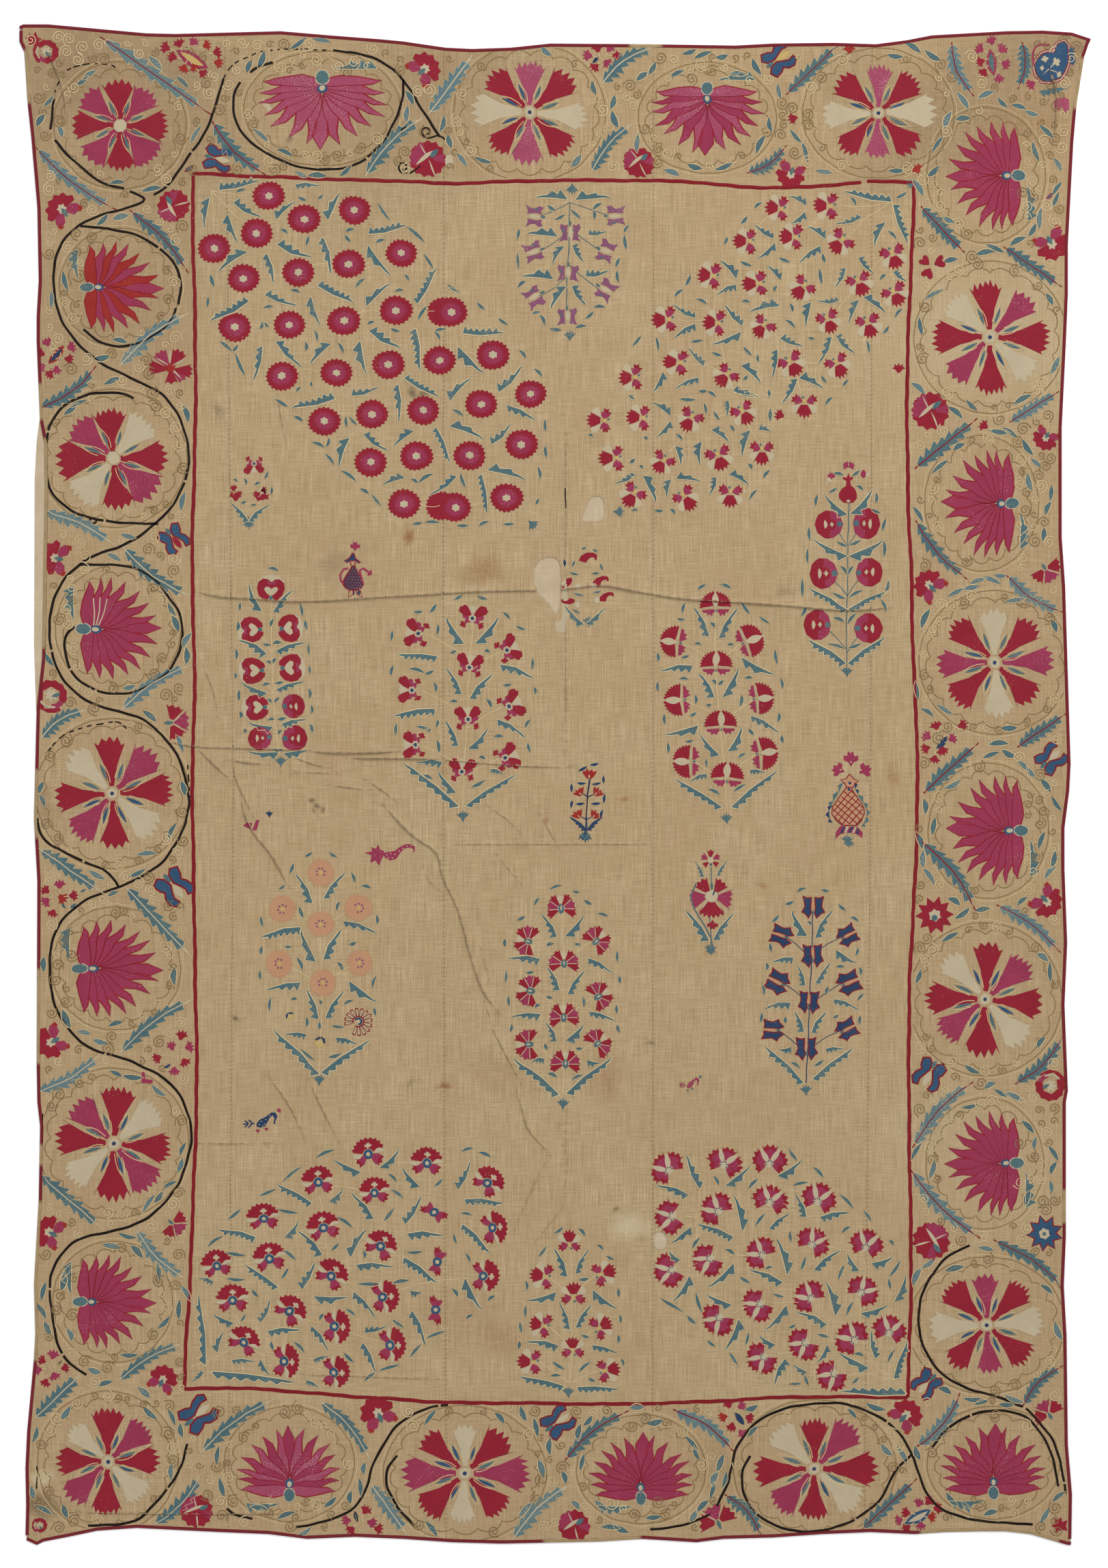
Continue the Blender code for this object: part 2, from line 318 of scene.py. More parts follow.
def fabric(name, roughness, sheen, specular=0.3):
    """A woven or stitched material: its tree, its shader, its object coordinates in metres."""
    material = bpy.data.materials.new(name)
    material.use_nodes = True
    tree = material.node_tree
    shader = tree.nodes["Principled BSDF"]
    shader.inputs["Roughness"].default_value = roughness
    shader.inputs["Sheen Weight"].default_value = sheen
    shader.inputs["Sheen Roughness"].default_value = 0.5
    shader.inputs["Specular IOR Level"].default_value = specular
    return material, tree, shader, add(tree, "ShaderNodeTexCoord").outputs["Object"]


def grain(tree, coords, scale, detail=2.0, roughness=0.5):
    """Noise from 0 to 1, stretched by the scale along each axis, in cycles per metre."""
    stretched = add(tree, "ShaderNodeMapping", {"Vector": coords, "Scale": scale}).outputs[0]
    noise = add(
        tree, "ShaderNodeTexNoise",
        {"Vector": stretched, "Scale": 1.0, "Detail": detail, "Roughness": roughness},
    )
    return noise.outputs["Fac"]


def spread(tree, value, low, high, to_low=0.0, to_high=1.0):
    """The value stretched from low..high to another range, and held there."""
    links = {"Value": value, "From Min": low, "From Max": high, "To Min": to_low, "To Max": to_high}
    return add(tree, "ShaderNodeMapRange", links, clamp=True).outputs[0]


def blend(tree, fac, a, b, mode="MIX"):
    """Mixes two colours, each a socket or a hex code."""
    made = add(tree, "ShaderNodeMix", {"Factor": fac}, data_type="RGBA", blend_type=mode)
    for socket, value in zip((made.inputs[6], made.inputs[7]), (a, b)):
        if isinstance(value, str):
            socket.default_value = linear(value)
        else:
            tree.links.new(value, socket)
    return made.outputs[2]


def raise_by(tree, shader, height, distance, strength=1.0):
    """Roughens the surface by the height."""
    bump = add(tree, "ShaderNodeBump", {"Height": height, "Distance": distance, "Strength": strength})
    tree.links.new(bump.outputs[0], shader.inputs["Normal"])


def cotton(name, dark, light, soiled=True):
    """Hand-spun, hand-woven cotton: uneven warp and weft threads with slubs, yellowed and soiled with age,
    with painted shade along its folds.

    The threads are about 0.7 mm apart, too fine to show, so the streaks are two to three threads wide.
    """
    material, tree, shader, coords = fabric(name, 0.95, 0.15, 0.15)
    warp = grain(tree, coords, (600, 18, 1), 3.0, 0.65)
    weft = grain(tree, coords, (26, 600, 1), 3.0, 0.65)
    slubs = grain(tree, coords, (45, 330, 1), 1.0)
    threads = add(tree, "ShaderNodeMath", {0: weft, 1: 0.7, 2: warp}, operation="MULTIPLY_ADD").outputs[0]
    tone = blend(tree, spread(tree, threads, 0.58, 1.12), dark, light)
    tone = blend(tree, spread(tree, slubs, 0.62, 0.72, 0.0, 0.35), tone, light)
    clouds = grain(tree, coords, (7, 5, 1), 4.0, 0.6)
    tone = blend(tree, spread(tree, clouds, 0.35, 0.65, 0.0, 0.30), tone, "#a98563")
    patches = grain(tree, coords, (34, 30, 1), 3.0, 0.6)
    tone = blend(tree, spread(tree, patches, 0.42, 0.68, 0.0, 0.28), tone, "#a38d66")
    if soiled:
        mottle = spread(tree, grain(tree, coords, (190, 190, 1), 3.0, 0.7), 0.3, 0.6)
        # The first of these attributes holds real soil stains and also painted shade along the folds.
        for label, colour in (("soil", "#6d5c45"), ("rust", "#8a5732"), ("pale", "#cbbb98")):
            stain = add(tree, "ShaderNodeAttribute", attribute_name=label).outputs["Fac"]
            much = add(tree, "ShaderNodeMath", {0: stain, 1: mottle}, operation="MULTIPLY").outputs[0]
            both = add(tree, "ShaderNodeMath", {0: stain, 1: much}, operation="ADD").outputs[0]
            half = add(
                tree, "ShaderNodeMath", {0: both, 1: 0.5}, operation="MULTIPLY", use_clamp=True
            ).outputs[0]
            tone = blend(tree, half, tone, colour)
    tree.links.new(tone, shader.inputs["Base Color"])
    raise_by(tree, shader, threads, 0.0006, 0.5)
    return material


def floss(name, colour, dark, worn="#b79f78", wear=0.06, streak=0.35):
    """Untwisted silk floss laid flat and couched: long satin strands with small tying stitches across.

    The tying stitches are 2 mm apart, as in life. The strands are drawn 1.4 mm wide, as coarse as they
    need to be to show.
    """
    material, tree, shader, coords = fabric(name, 0.6, 0.02, 0.12)
    shader.inputs["Anisotropic"].default_value = 0.4
    way = add(tree, "ShaderNodeUVMap", uv_map="thread").outputs[0]
    strands = grain(tree, way, (700, 40, 1), 2.0, 0.6)
    ties = add(
        tree, "ShaderNodeTexWave",
        {"Vector": way, "Scale": 160.0, "Distortion": 3.0, "Detail": 2.0, "Detail Scale": 2.0},
        wave_type="BANDS", bands_direction="DIAGONAL",
    ).outputs["Fac"]
    dye = grain(tree, coords, (26, 26, 1), 3.0, 0.6)
    tone = blend(tree, spread(tree, strands, 0.3, 0.7, 0.0, streak), colour, dark)
    tone = blend(tree, spread(tree, ties, 0.75, 1.0, 0.0, 0.25), tone, dark)
    tone = blend(tree, spread(tree, dye, 0.38, 0.66, 0.0, 0.5), tone, dark)
    rubbed = grain(tree, coords, (420, 420, 1), 2.0, 0.7)
    where = grain(tree, coords, (22, 22, 1), 2.0, 0.5)
    worn_most = spread(tree, where, 0.45, 0.7, 0.0, 0.10)
    specks = add(tree, "ShaderNodeMath", {0: rubbed, 1: worn_most}, operation="ADD").outputs[0]
    edge = 0.75 - wear * 1.6
    tone = blend(tree, spread(tree, specks, edge, edge + 0.06, 0.0, 0.8), tone, worn)
    tree.links.new(tone, shader.inputs["Base Color"])
    both = add(tree, "ShaderNodeMath", {0: strands, 1: ties}, operation="ADD").outputs[0]
    raise_by(tree, shader, both, 0.0004, 0.5)
    return material


def tape(name):
    """Narrow red cotton tape in close diagonal ribs. Where it has turned under, the cotton shows."""
    material, tree, shader, coords = fabric(name, 0.85, 0.2, 0.2)
    ribs = add(
        tree, "ShaderNodeTexWave", {"Vector": coords, "Scale": 220.0, "Distortion": 1.5}, wave_type="BANDS",
        bands_direction="DIAGONAL",
    ).outputs["Fac"]
    faded = grain(tree, coords, (60, 60, 1), 3.0, 0.6)
    tone = blend(tree, spread(tree, ribs, 0.2, 0.9), "#66101b", "#7f1b26")
    tone = blend(tree, spread(tree, faded, 0.55, 0.75, 0.0, 0.6), tone, "#64201e")
    bare = add(tree, "ShaderNodeAttribute", attribute_name="bare").outputs["Fac"]
    tone = blend(tree, bare, tone, blend(tree, faded, "#8f7650", "#b59c74"))
    tree.links.new(tone, shader.inputs["Base Color"])
    raise_by(tree, shader, ribs, 0.0004, 0.6)
    return material


# ---------------------------------------------------------------- the cloth

# Stains, each of soil, rust or paler cotton.
STAINS = table("x y radius strength kind", """
    604 575 7 1.0 soil, 620 577 6 1.0 soil, 599 786 9 0.9 rust, 708 836 22 0.55 rust, 487 825 16 0.35 soil,
    321 602 8 0.6 soil, 457 1172 4 1.0 soil, 464 1180 4 1.0 soil, 473 1186 4 0.9 soil, 460 1187 3 0.9 soil,
    345 1491 4 1.0 soil, 954 1527 4 0.8 soil, 652 1590 6 1.0 rust, 734 1572 34 0.25 rust,
    888 1576 26 0.35 rust, 915 1170 5 0.6 rust, 800 1201 5 0.5 rust, 1117 1297 6 0.5 rust,
    1308 1139 9 0.5 rust, 1148 866 9 0.4 soil, 665 1930 60 0.22 rust, 734 1960 30 0.3 rust,
    600 1586 5 0.5 soil, 902 1770 4 0.8 soil, 110 110 120 0.45 soil, 230 220 150 0.35 soil,
    250 110 90 0.45 soil, 1555 90 50 0.5 soil, 600 160 170 0.28 soil, 160 430 170 0.25 soil,
    1450 490 150 0.35 pale, 1450 1700 150 0.2 pale, 1480 90 80 0.4 soil, 1380 180 120 0.4 soil,
    1500 190 90 0.3 rust, 62 2205 22 0.9 soil, 1050 2150 40 0.25 soil, 62 1180 40 0.25 soil,
    922 1796 20 0.8 pale, 482 130 7 0.8 soil, 424 204 6 0.7 soil, 61 2164 12 1.0 pale, 1240 100 60 0.2 soil
""")


OFF_CREASE = 9.0  # the even part of the mesh keeps this far off a crease, in millimetres
BROAD = 40  # a stain of this radius or more is faint at its edge and needs no finer mesh
FIELD = (284, 1336, 262, 2050)  # the left, right, upper and lower edge of the field, on the chart


def inside(ring, xy):
    """Whether each place is inside the closed outline."""
    hit = np.zeros(len(xy), bool)
    for (ax, ay), (bx, by) in zip(ring, np.roll(ring, -1, axis=0)):
        if ay != by:
            over = (ay > xy[:, 1]) != (by > xy[:, 1])
            hit ^= over & (xy[:, 0] < ax + (xy[:, 1] - ay) * (bx - ax) / (by - ay))
    return hit


def mark(mesh, name, values):
    """Keeps a number for each vertex with the mesh."""
    mesh.attributes.new(name, "FLOAT", "POINT").data.foreach_set("value", values)


def soften(mesh, angle):
    """Shades the mesh smooth but for its edges sharper than the angle."""
    mesh.polygons.foreach_set("use_smooth", [True] * len(mesh.polygons))
    mesh.set_sharp_from_angle(angle=math.radians(angle))


def mesh_from(name, verts, faces, material):
    mesh = bpy.data.meshes.new(name)
    mesh.from_pydata(verts, [], faces)
    mesh.materials.append(material)
    return mesh


def cloth(name, ring, low, thick, material, holes=(), step=15.0, creased=True):
    """A closed sheet from its outline in millimetres, with a finer mesh round creases and small stains."""
    ring = np.array(ring)
    lo, hi = ring.min(0), ring.max(0)
    gx, gy = np.meshgrid(np.arange(lo[0] + step / 2, hi[0], step), np.arange(lo[1] + step / 2, hi[1], step))
    inner = [np.column_stack([gx.ravel(), gy.ravel()])]
    if creased:
        inner[0] = inner[0][~near_crease(inner[0], OFF_CREASE)]
        for _, half, line in CREASE_LINES:
            fine = rounded(line, 4.0)
            along = np.gradient(fine, axis=0)
            side = np.column_stack([-along[:, 1], along[:, 0]]) / np.linalg.norm(along, axis=1)[:, None]
            inner += [
                fine + side * k
                for k in (-3.5 * SHARP, -SHARP, 0, 0.15 * half, 0.4 * half, 0.7 * half, 1.1 * half)
            ]
        for x, y, radius, _, _ in STAINS:
            if radius < BROAD:
                middle, reach = on_cloth((x, y))[0] / MM, radius * 1.3
                sx, sy = np.meshgrid(np.linspace(-reach, reach, 7), np.linspace(-reach, reach, 7))
                inner.append(np.column_stack([middle[0] + sx.ravel(), middle[1] + sy.ravel()]))
    inner = np.vstack(inner)
    keep = inside(ring, inner)
    for edge in (ring, *holes):
        box = np.flatnonzero(keep)
        gap = np.array([np.hypot(*(edge - inner[i]).T).min() for i in box])
        keep[box[gap < 2.0]] = False
    for hole in holes:
        keep &= ~inside(hole, inner)
    inner = inner[keep]
    points, edges = [*ring], [(i, (i + 1) % len(ring)) for i in range(len(ring))]
    for hole in holes:
        first = len(points)
        points += [*hole]
        edges += [(first + i, first + (i + 1) % len(hole)) for i in range(len(hole))]
    points += [*inner]
    flat, _, faces, *_ = delaunay_2d_cdt([tuple(p) for p in points], edges, [], 0, 0.01)
    xy, tri = np.array([tuple(p) for p in flat]), np.array(faces)
    mid = xy[tri].mean(1)
    keep = inside(ring, mid)
    for hole in holes:
        keep &= ~inside(hole, mid)
    tri = tri[keep]
    a, b, c = (xy[tri[:, k]] for k in range(3))
    turned = np.cross(b - a, c - a) < 0
    tri[turned] = tri[turned][:, ::-1]
    used, tri = np.unique(tri, return_inverse=True)
    xy, tri = xy[used], tri.reshape(-1, 3)
    z = low + (lift(xy) if creased else 0.0)
    n = len(xy)
    verts = np.vstack(
        [np.column_stack([xy, np.full(n, 0.0) + z]), np.column_stack([xy, np.full(n, thick) + z])]
    ) * MM
    ends = np.concatenate([tri[:, [0, 1]], tri[:, [1, 2]], tri[:, [2, 0]]])
    there = {(int(u), int(v)) for u, v in ends}
    rim = [(u, v, v + n, u + n) for u, v in there if (v, u) not in there]
    mesh = mesh_from(name, verts.tolist(), tri[:, ::-1].tolist() + (tri + n).tolist() + rim, material)
    for label in ("soil", "rust", "pale"):
        amount = np.zeros(n)
        for x, y, radius, much, kind in STAINS:
            if kind == label:
                off = xy - on_cloth((x, y))[0] / MM
                a = np.arctan2(off[:, 1], off[:, 0])
                away = np.linalg.norm(off, axis=1) / (radius * UNIT / MM) * (
                    1 + 0.22 * np.sin(2 * a + x) + 0.12 * np.sin(5 * a + y)
                )
                amount = np.maximum(
                    amount, much * np.clip(1.25 - away, 0, 1) ** (0.6 if radius < BROAD else 1.0)
                )
        if label == "soil" and creased:
            for _, _, line in CREASE_LINES:
                # Painted shade: the cotton is darkened in a narrow band along each fold line.
                near = np.flatnonzero(np.all((xy > line.min(0) - 4) & (xy < line.max(0) + 4), axis=1))
                reach = np.array([np.hypot(*(line - xy[i]).T).min() for i in near])
                if len(near):
                    amount[near] = np.maximum(amount[near], 0.6 * np.clip(1.3 - reach / 1.3, 0, 1))
        if label == "rust" and creased:
            # The worked border is browner than the field.
            x, y = xy[:, 0] * MM / UNIT + MIDDLE[0], MIDDLE[1] - xy[:, 1] * MM / UNIT
            west, east, top, bottom = FIELD
            field = (x > west) & (x < east) & (y > top) & (y < bottom)
            amount = np.maximum(amount, np.where(field, 0.0, 0.11))
        mark(mesh, label, np.tile(amount, 2))
    soften(mesh, 50)
    return link(name, mesh)


def shrunk(line, by):
    """The closed outline moved inwards by this much."""
    p = np.array(line, float)
    by *= math.copysign(1.0, (p[:, 0] * np.roll(p[:, 1], -1) - np.roll(p[:, 0], -1) * p[:, 1]).sum())
    before, after = p - np.roll(p, 1, axis=0), np.roll(p, -1, axis=0) - p
    before /= np.maximum(np.linalg.norm(before, axis=1), 1e-9)[:, None]
    after /= np.maximum(np.linalg.norm(after, axis=1), 1e-9)[:, None]
    inwards = np.column_stack([-(before + after)[:, 1], (before + after)[:, 0]])
    length = np.maximum(np.linalg.norm(inwards, axis=1), 1e-9)
    return p + inwards / length[:, None] * by / np.maximum(length / 2, 0.45)[:, None]


def along(low, high, edge, column, step=9.0):
    """Places along an edge on the chart: the edge's own and no run longer than the step."""
    marks = sorted({low, high, *[row[column] for row in edge if low + 1 < row[column] < high - 1]})
    out = [low]
    for a, b in zip(marks, marks[1:]):
        n = max(1, math.ceil((b - a) / step))
        out += [a + (b - a) * (i + 1) / n for i in range(n)]
    return out


def meeting(x_of, y_of, y):
    """Where two edges of the chart meet, from a guess at y."""
    for _ in range(6):
        x = float(x_of(y))
        y = float(y_of(x))
    return x, y


def outline(left, right, bottom, top):
    """The closed outline between four edges of the chart, in millimetres and anticlockwise."""
    (lx, ly), (rx, ry) = meeting(left, bottom, 2200), meeting(right, bottom, 2200)
    (tx, ty), (ux, uy) = meeting(right, top, 90), meeting(left, top, 90)
    ring = [(x, float(bottom(x))) for x in along(lx, rx, BOTTOM, 0)]
    ring += [(float(right(y)), y) for y in along(ty, ry, RIGHT, 1)[::-1][1:]]
    ring += [(x, float(top(x))) for x in along(ux, tx, TOP, 0)[::-1][1:]]
    ring += [(float(left(y)), y) for y in along(uy, ly, LEFT, 1)[1:-1]]
    return on_cloth(ring) / MM


EDGE = 5.3 * MM / UNIT  # the strips end this far inside the bound outline
SEWN = 0.15 * MM / UNIT  # half the gap at a seam
TUCKED = 1.5 * MM / UNIT  # the lining ends this far inside the bound outline

strip_cotton = cotton("hand-woven cotton", "#98815c", "#ccb48e")
plain_cotton = cotton("plain cotton lining", "#bda88c", "#d3c3a8", soiled=False)
red_tape = tape("woven red tape")


def lining_edge(y):
    """The lining's left edge, which shows where the face is drawn in."""
    shows = np.interp(y, *zip(*[(b, a) for a, b in LINING_SHOWS]), left=9999, right=9999)
    return np.minimum(left_of(y) + TUCKED, shows)


lining = cloth(
    "lining_cloth",
    outline(
        lining_edge, lambda y: right_of(y) - TUCKED, lambda x: bottom_of(x) - TUCKED,
        lambda x: top_of(x) + TUCKED,
    ),
    0.0, LINING_TOP, plain_cotton, step=40.0, creased=False,
)
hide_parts("lining")


def worn_hole(corners):
    """The frayed outline of a worn hole, in millimetres."""
    rng = random.Random(5)
    ring = on_cloth(rounded(corners, 3.0, closed=True)) / MM
    return shrunk(ring + [(rng.uniform(-0.5, 0.5), rng.uniform(-0.5, 0.5)) for _ in ring], 0.0)


strips = []
edges = [lambda y: left_of(y) + EDGE, *(seam_of(k) for k in range(4)), lambda y: right_of(y) - EDGE]
holes = [worn_hole(corners) for corners in HOLES]
for k in range(5):
    west, east = edges[k], edges[k + 1]
    ring = outline(
        west if k == 0 else lambda y: west(y) + SEWN,
        east if k == 4 else lambda y: east(y) - SEWN,
        lambda x: bottom_of(x) - EDGE,
        lambda x: top_of(x) + EDGE,
    )
    own = [hole for hole in holes if inside(ring, hole[:1])[0]]
    strip = cloth(f"cotton_strip_{k + 1}", ring, FACE_LOW, FACE_TOP - FACE_LOW, strip_cotton, own)
    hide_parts(f"panel_{k + 1}")
    strips.append(strip)

# The tape round the edge: a low rounded band on each side, its ends butted at the corners.
TAPE_MIDDLE = 2.7  # this far inside the outline, in millimetres
TAPE_HALF = drawn("-2.65 0.0, 2.65 0.0, 2.75 0.7, 2.0 1.25, 0.0 1.45, -2.0 1.25, -2.75 0.7")


def band(name, line, inwards, node, column, bare):
    """A tape with its outer edge along a line of the chart, turned under in the bare runs of x or y."""
    p = on_cloth(line) / MM
    way = np.gradient(p, axis=0)
    way /= np.linalg.norm(way, axis=1)[:, None]
    side = np.column_stack([-way[:, 1], way[:, 0]]) * inwards
    middle = p + side * TAPE_MIDDLE
    wave = [0.22 * math.sin(i * 1.7) + 0.15 * math.sin(i * 0.61) for i in range(len(p))]
    n = len(TAPE_HALF)
    verts = []
    for i in range(len(p)):
        for u, v in TAPE_HALF:
            q = middle[i] + side[i] * (u * (1 + 0.35 * wave[i]) + wave[i])
            verts.append((*(q * MM), (FACE_LOW + v) * MM))
    faces = [
        (i * n + k, i * n + (k + 1) % n, (i + 1) * n + (k + 1) % n, (i + 1) * n + k)
        for i in range(len(p) - 1)
        for k in range(n)
    ]
    faces += [tuple(range(n))[::-1], tuple((len(p) - 1) * n + k for k in range(n))]
    mesh = mesh_from(name, verts, faces, red_tape)
    gone = [
        float(any(low < place[column] < high for low, high in bare)) for place in line for _ in TAPE_HALF
    ]
    mark(mesh, "bare", gone)
    bm = bmesh.new()
    bm.from_mesh(mesh)
    bmesh.ops.recalc_face_normals(bm, faces=bm.faces)
    bm.to_mesh(mesh)
    bm.free()
    soften(mesh, 60)
    piece = link(name, mesh)
    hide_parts(node)
    return piece


tapes = [
    band(
        "edge_tape_top", [(x, float(top_of(x))) for x in along(28.0, 1597.5, TOP, 0, 6.0)], -1,
        "edging_top", 0, ((925, 970),),
    ),
    band(
        "edge_tape_bottom", [(x, float(bottom_of(x))) for x in along(38.5, 1568.5, BOTTOM, 0, 6.0)], 1,
        "edging_bottom", 0, ((795, 940), (1350, 1550)),
    ),
    band(
        "edge_tape_left", [(float(left_of(y)), y) for y in along(45.0, 2247.5, LEFT, 1, 6.0)], 1,
        "edging_left", 1,
        ((72, 150), (560, 617), (640, 950), (1129, 1225), (1417, 1560), (1673, 1705), (1760, 1990)),
    ),
    band(
        "edge_tape_right", [(float(right_of(y)), y) for y in along(62.0, 2253.0, RIGHT, 1, 6.0)], -1,
        "edging_right", 1, ((83, 160), (1741, 1789)),
    ),
]


# ---------------------------------------------------------------- stitching tools

threads = {
    "red": floss("madder red floss silk", "#931d2f", "#821827", wear=0.02),
    "orange": floss("orange red floss silk", "#9e2a24", "#8a221d", wear=0.03),
    "magenta": floss("cochineal pink floss silk", "#9a3452", "#882a45", "#b87f86", wear=0.05),
    "rose": floss("faded pink floss silk", "#a34863", "#903c55", "#bb8a8c", wear=0.08),
    "wine": floss("dark red silk thread", "#82151f", "#70111a", wear=0.02),
    "teal": floss("indigo green floss silk", "#526e6f", "#3b5a68", "#9c9276", wear=0.08),
    "sky": floss("pale indigo floss silk", "#647c7d", "#4c6974", "#a39a80", wear=0.10),
    "navy": floss("dark indigo floss silk", "#2a4060", "#20324f", "#6f7278", wear=0.05),
    "blue": floss("indigo blue floss silk", "#345573", "#27435f", "#7f8690", wear=0.05),
    "cream": floss("undyed cream floss silk", "#c0b194", "#b1a285", "#b8a27c", wear=0.06),
    "straw": floss("straw silk thread", "#d6c197", "#bea677", "#96805a", wear=0.05),
    # The brown thread is also laid as painted shade in the inner rings and cloud-edged lines of the border.
    "earth": floss("faded brown silk thread", "#8a7249", "#775f3e", "#a08a63", wear=0.02),
    "black": floss("iron black silk thread", "#170b04", "#0f0702", "#45331f", wear=0.03),
    "peach": floss("salmon pink floss silk", "#be8e6c", "#b38162", "#b79a76", wear=0.10),
    "purple": floss("purple floss silk", "#88506d", "#744562", "#a98a80", wear=0.08),
    "plum": floss("plum floss silk", "#5c2f45", "#4a2639", "#8a6f72", wear=0.05),
    "yellow": floss("faded yellow floss silk", "#c4a869", "#b79a5c", "#b7a07a", wear=0.08),
}
work = {name: [] for name in threads}
LAYER = 0.25  # how far one layer of stitches stands over another, in millimetres


def tip_to_tip(x0, y0, x1, y1):
    """The place, turn and length that lay a shape from one place of the chart to another."""
    return x0, y0, math.degrees(math.atan2(-(y1 - y0), x1 - x0)) - 90, math.hypot(x1 - x0, y1 - y0)


def stitched(shapes):
    """A mesh of low closed patches: for each its outline, the way its stitches run and its layer."""
    verts, faces, ways = [], [], []
    for turn, (ring, way, layer) in enumerate(shapes):
        ring = np.array(ring, float)
        x, y = ring.T
        if (x * np.roll(y, -1) - np.roll(x, -1) * y).sum() < 0:
            ring = ring[::-1]
        reach = ring.max(0) - ring.min(0)
        inner = shrunk(ring, min(0.35, 0.12 * reach.min()))
        n, first = len(ring), len(verts)
        # A hair's difference, so that patches that overlap don't share a surface.
        top = RELIEF + layer * LAYER + 0.012 * (turn % 7)
        verts += [(*p, -SUNK) for p in ring * UNIT / MM] + [(*p, top) for p in inner * UNIT / MM]
        faces += [
            (first + i, first + (i + 1) % n, first + n + (i + 1) % n, first + n + i) for i in range(n)
        ]
        faces += [tuple(first + n + i for i in range(n)), tuple(first + i for i in range(n))[::-1]]
        a = math.radians(way)
        turned = ring @ np.array([[math.cos(a), -math.sin(a)], [math.sin(a), math.cos(a)]])
        ways += [*turned * UNIT] * 2
    mesh = bpy.data.meshes.new("stitches")
    mesh.from_pydata((np.array(verts) * MM).tolist(), [], faces)
    corners = np.array([loop.vertex_index for loop in mesh.loops])
    mesh.uv_layers.new(name="thread").data.foreach_set("uv", np.array(ways)[corners].ravel())
    bm = bmesh.new()
    bm.from_mesh(mesh)
    bmesh.ops.triangulate(bm, faces=[f for f in bm.faces if len(f.verts) > 4])
    bm.to_mesh(mesh)
    bm.free()
    return mesh


def set_out_tree():
    """Sets one motif out at many places, each with its own turn and size, in one thread."""
    tree, given, out = new_tree(
        "set out a motif", (("Geometry", "Geometry"), ("Motif", "Object"), ("Thread", "Material"))
    )
    turn = add(tree, "GeometryNodeInputNamedAttribute", {"Name": "turn"}, data_type="FLOAT")
    size = add(tree, "GeometryNodeInputNamedAttribute", {"Name": "size"}, data_type="FLOAT_VECTOR")
    spin = add(tree, "ShaderNodeCombineXYZ", {"Z": turn.outputs[0]})
    shape = add(tree, "GeometryNodeObjectInfo", {"Object": given["Motif"], "As Instance": True})
    made = add(
        tree, "GeometryNodeInstanceOnPoints",
        {
            "Points": given["Geometry"], "Instance": shape.outputs["Geometry"], "Rotation": spin.outputs[0],
            "Scale": size.outputs[0],
        },
    )
    real = add(tree, "GeometryNodeRealizeInstances", {"Geometry": made.outputs[0]})
    done = add(tree, "GeometryNodeSetMaterial", {"Geometry": real.outputs[0], "Material": given["Thread"]})
    tree.links.new(done.outputs[0], out)
    return tree


def couch_tree():
    """Lays a low rounded thread along lines, with each point's share of its width in the attribute wide."""
    inputs = (
        ("Geometry", "Geometry"), ("Width", "Float"), ("Height", "Float"), ("Sides", "Int"),
        ("Thread", "Material"),
    )
    tree, given, out = new_tree("couch a thread along a line", inputs)
    wide = add(tree, "GeometryNodeInputNamedAttribute", {"Name": "wide"}, data_type="FLOAT")
    curve = add(tree, "GeometryNodeMeshToCurve", {"Mesh": given["Geometry"]})
    sized = add(tree, "GeometryNodeSetCurveRadius", {"Curve": curve.outputs[0], "Radius": wide.outputs[0]})
    upright = add(tree, "GeometryNodeSetCurveNormal", {"Curve": sized.outputs[0]}, mode="Z_UP")
    circle = add(
        tree, "GeometryNodeCurvePrimitiveCircle", {"Resolution": given["Sides"], "Radius": 0.5},
        mode="RADIUS",
    )
    flat = add(tree, "ShaderNodeCombineXYZ", {"X": given["Width"], "Y": given["Height"], "Z": 1.0})
    profile = add(
        tree, "GeometryNodeTransform", {"Geometry": circle.outputs[0], "Rotation": (0, 0, math.pi / 2)}
    )
    oval = add(tree, "GeometryNodeTransform", {"Geometry": profile.outputs[0], "Scale": flat.outputs[0]})
    tube = add(
        tree, "GeometryNodeCurveToMesh",
        {"Curve": upright.outputs[0], "Profile Curve": oval.outputs[0], "Fill Caps": True},
    )
    done = add(tree, "GeometryNodeSetMaterial", {"Geometry": tube.outputs[0], "Material": given["Thread"]})
    tree.links.new(done.outputs[0], out)
    return tree


SET_OUT, COUCH = set_out_tree(), couch_tree()


def line_mesh(lines, closed=False, wide=None):
    """Lines in chart units, y up, as one mesh of edges."""
    verts, edges, widths = [], [], []
    for line in lines:
        first, n = len(verts), len(line)
        verts += [(x, y, 0.0) for x, y in line]
        edges += [(first + i, first + i + 1) for i in range(n - 1)]
        if closed:
            edges.append((first + n - 1, first))
        widths += list(wide(line)) if wide else [1.0] * n
    mesh = bpy.data.meshes.new("lines")
    mesh.from_pydata(verts, edges, [])
    mark(mesh, "wide", widths)
    return mesh


def uneven(line):
    """Widths along a line that swell and thin as a hand-laid thread does, and taper at the ends."""
    n = len(line)
    start = draw.uniform(0, 9)
    return [
        (
            1 + 0.16 * math.sin(start + i * 0.9) + 0.10 * math.sin(start + i * 2.3)
        ) * min(1, 0.45 + 0.6 * min(i, n - 1 - i))
        for i in range(n)
    ]


def couch(lines, thread, width=1.0, height=None, sides=5, step=4.0, closed=False, smooth=True):
    """Couches a thread along lines on the chart."""
    lines = [on_cloth(rounded(line, step, closed) if smooth else line) for line in lines]
    mesh = line_mesh(lines, closed, None if closed else uneven)
    tall = 2 * (height or min(0.5, 0.35 * width * UNIT / MM)) * MM
    work[thread].append(
        run_tree(COUCH, mesh, Width=width * UNIT, Height=tall, Sides=sides, Thread=threads[thread])
    )


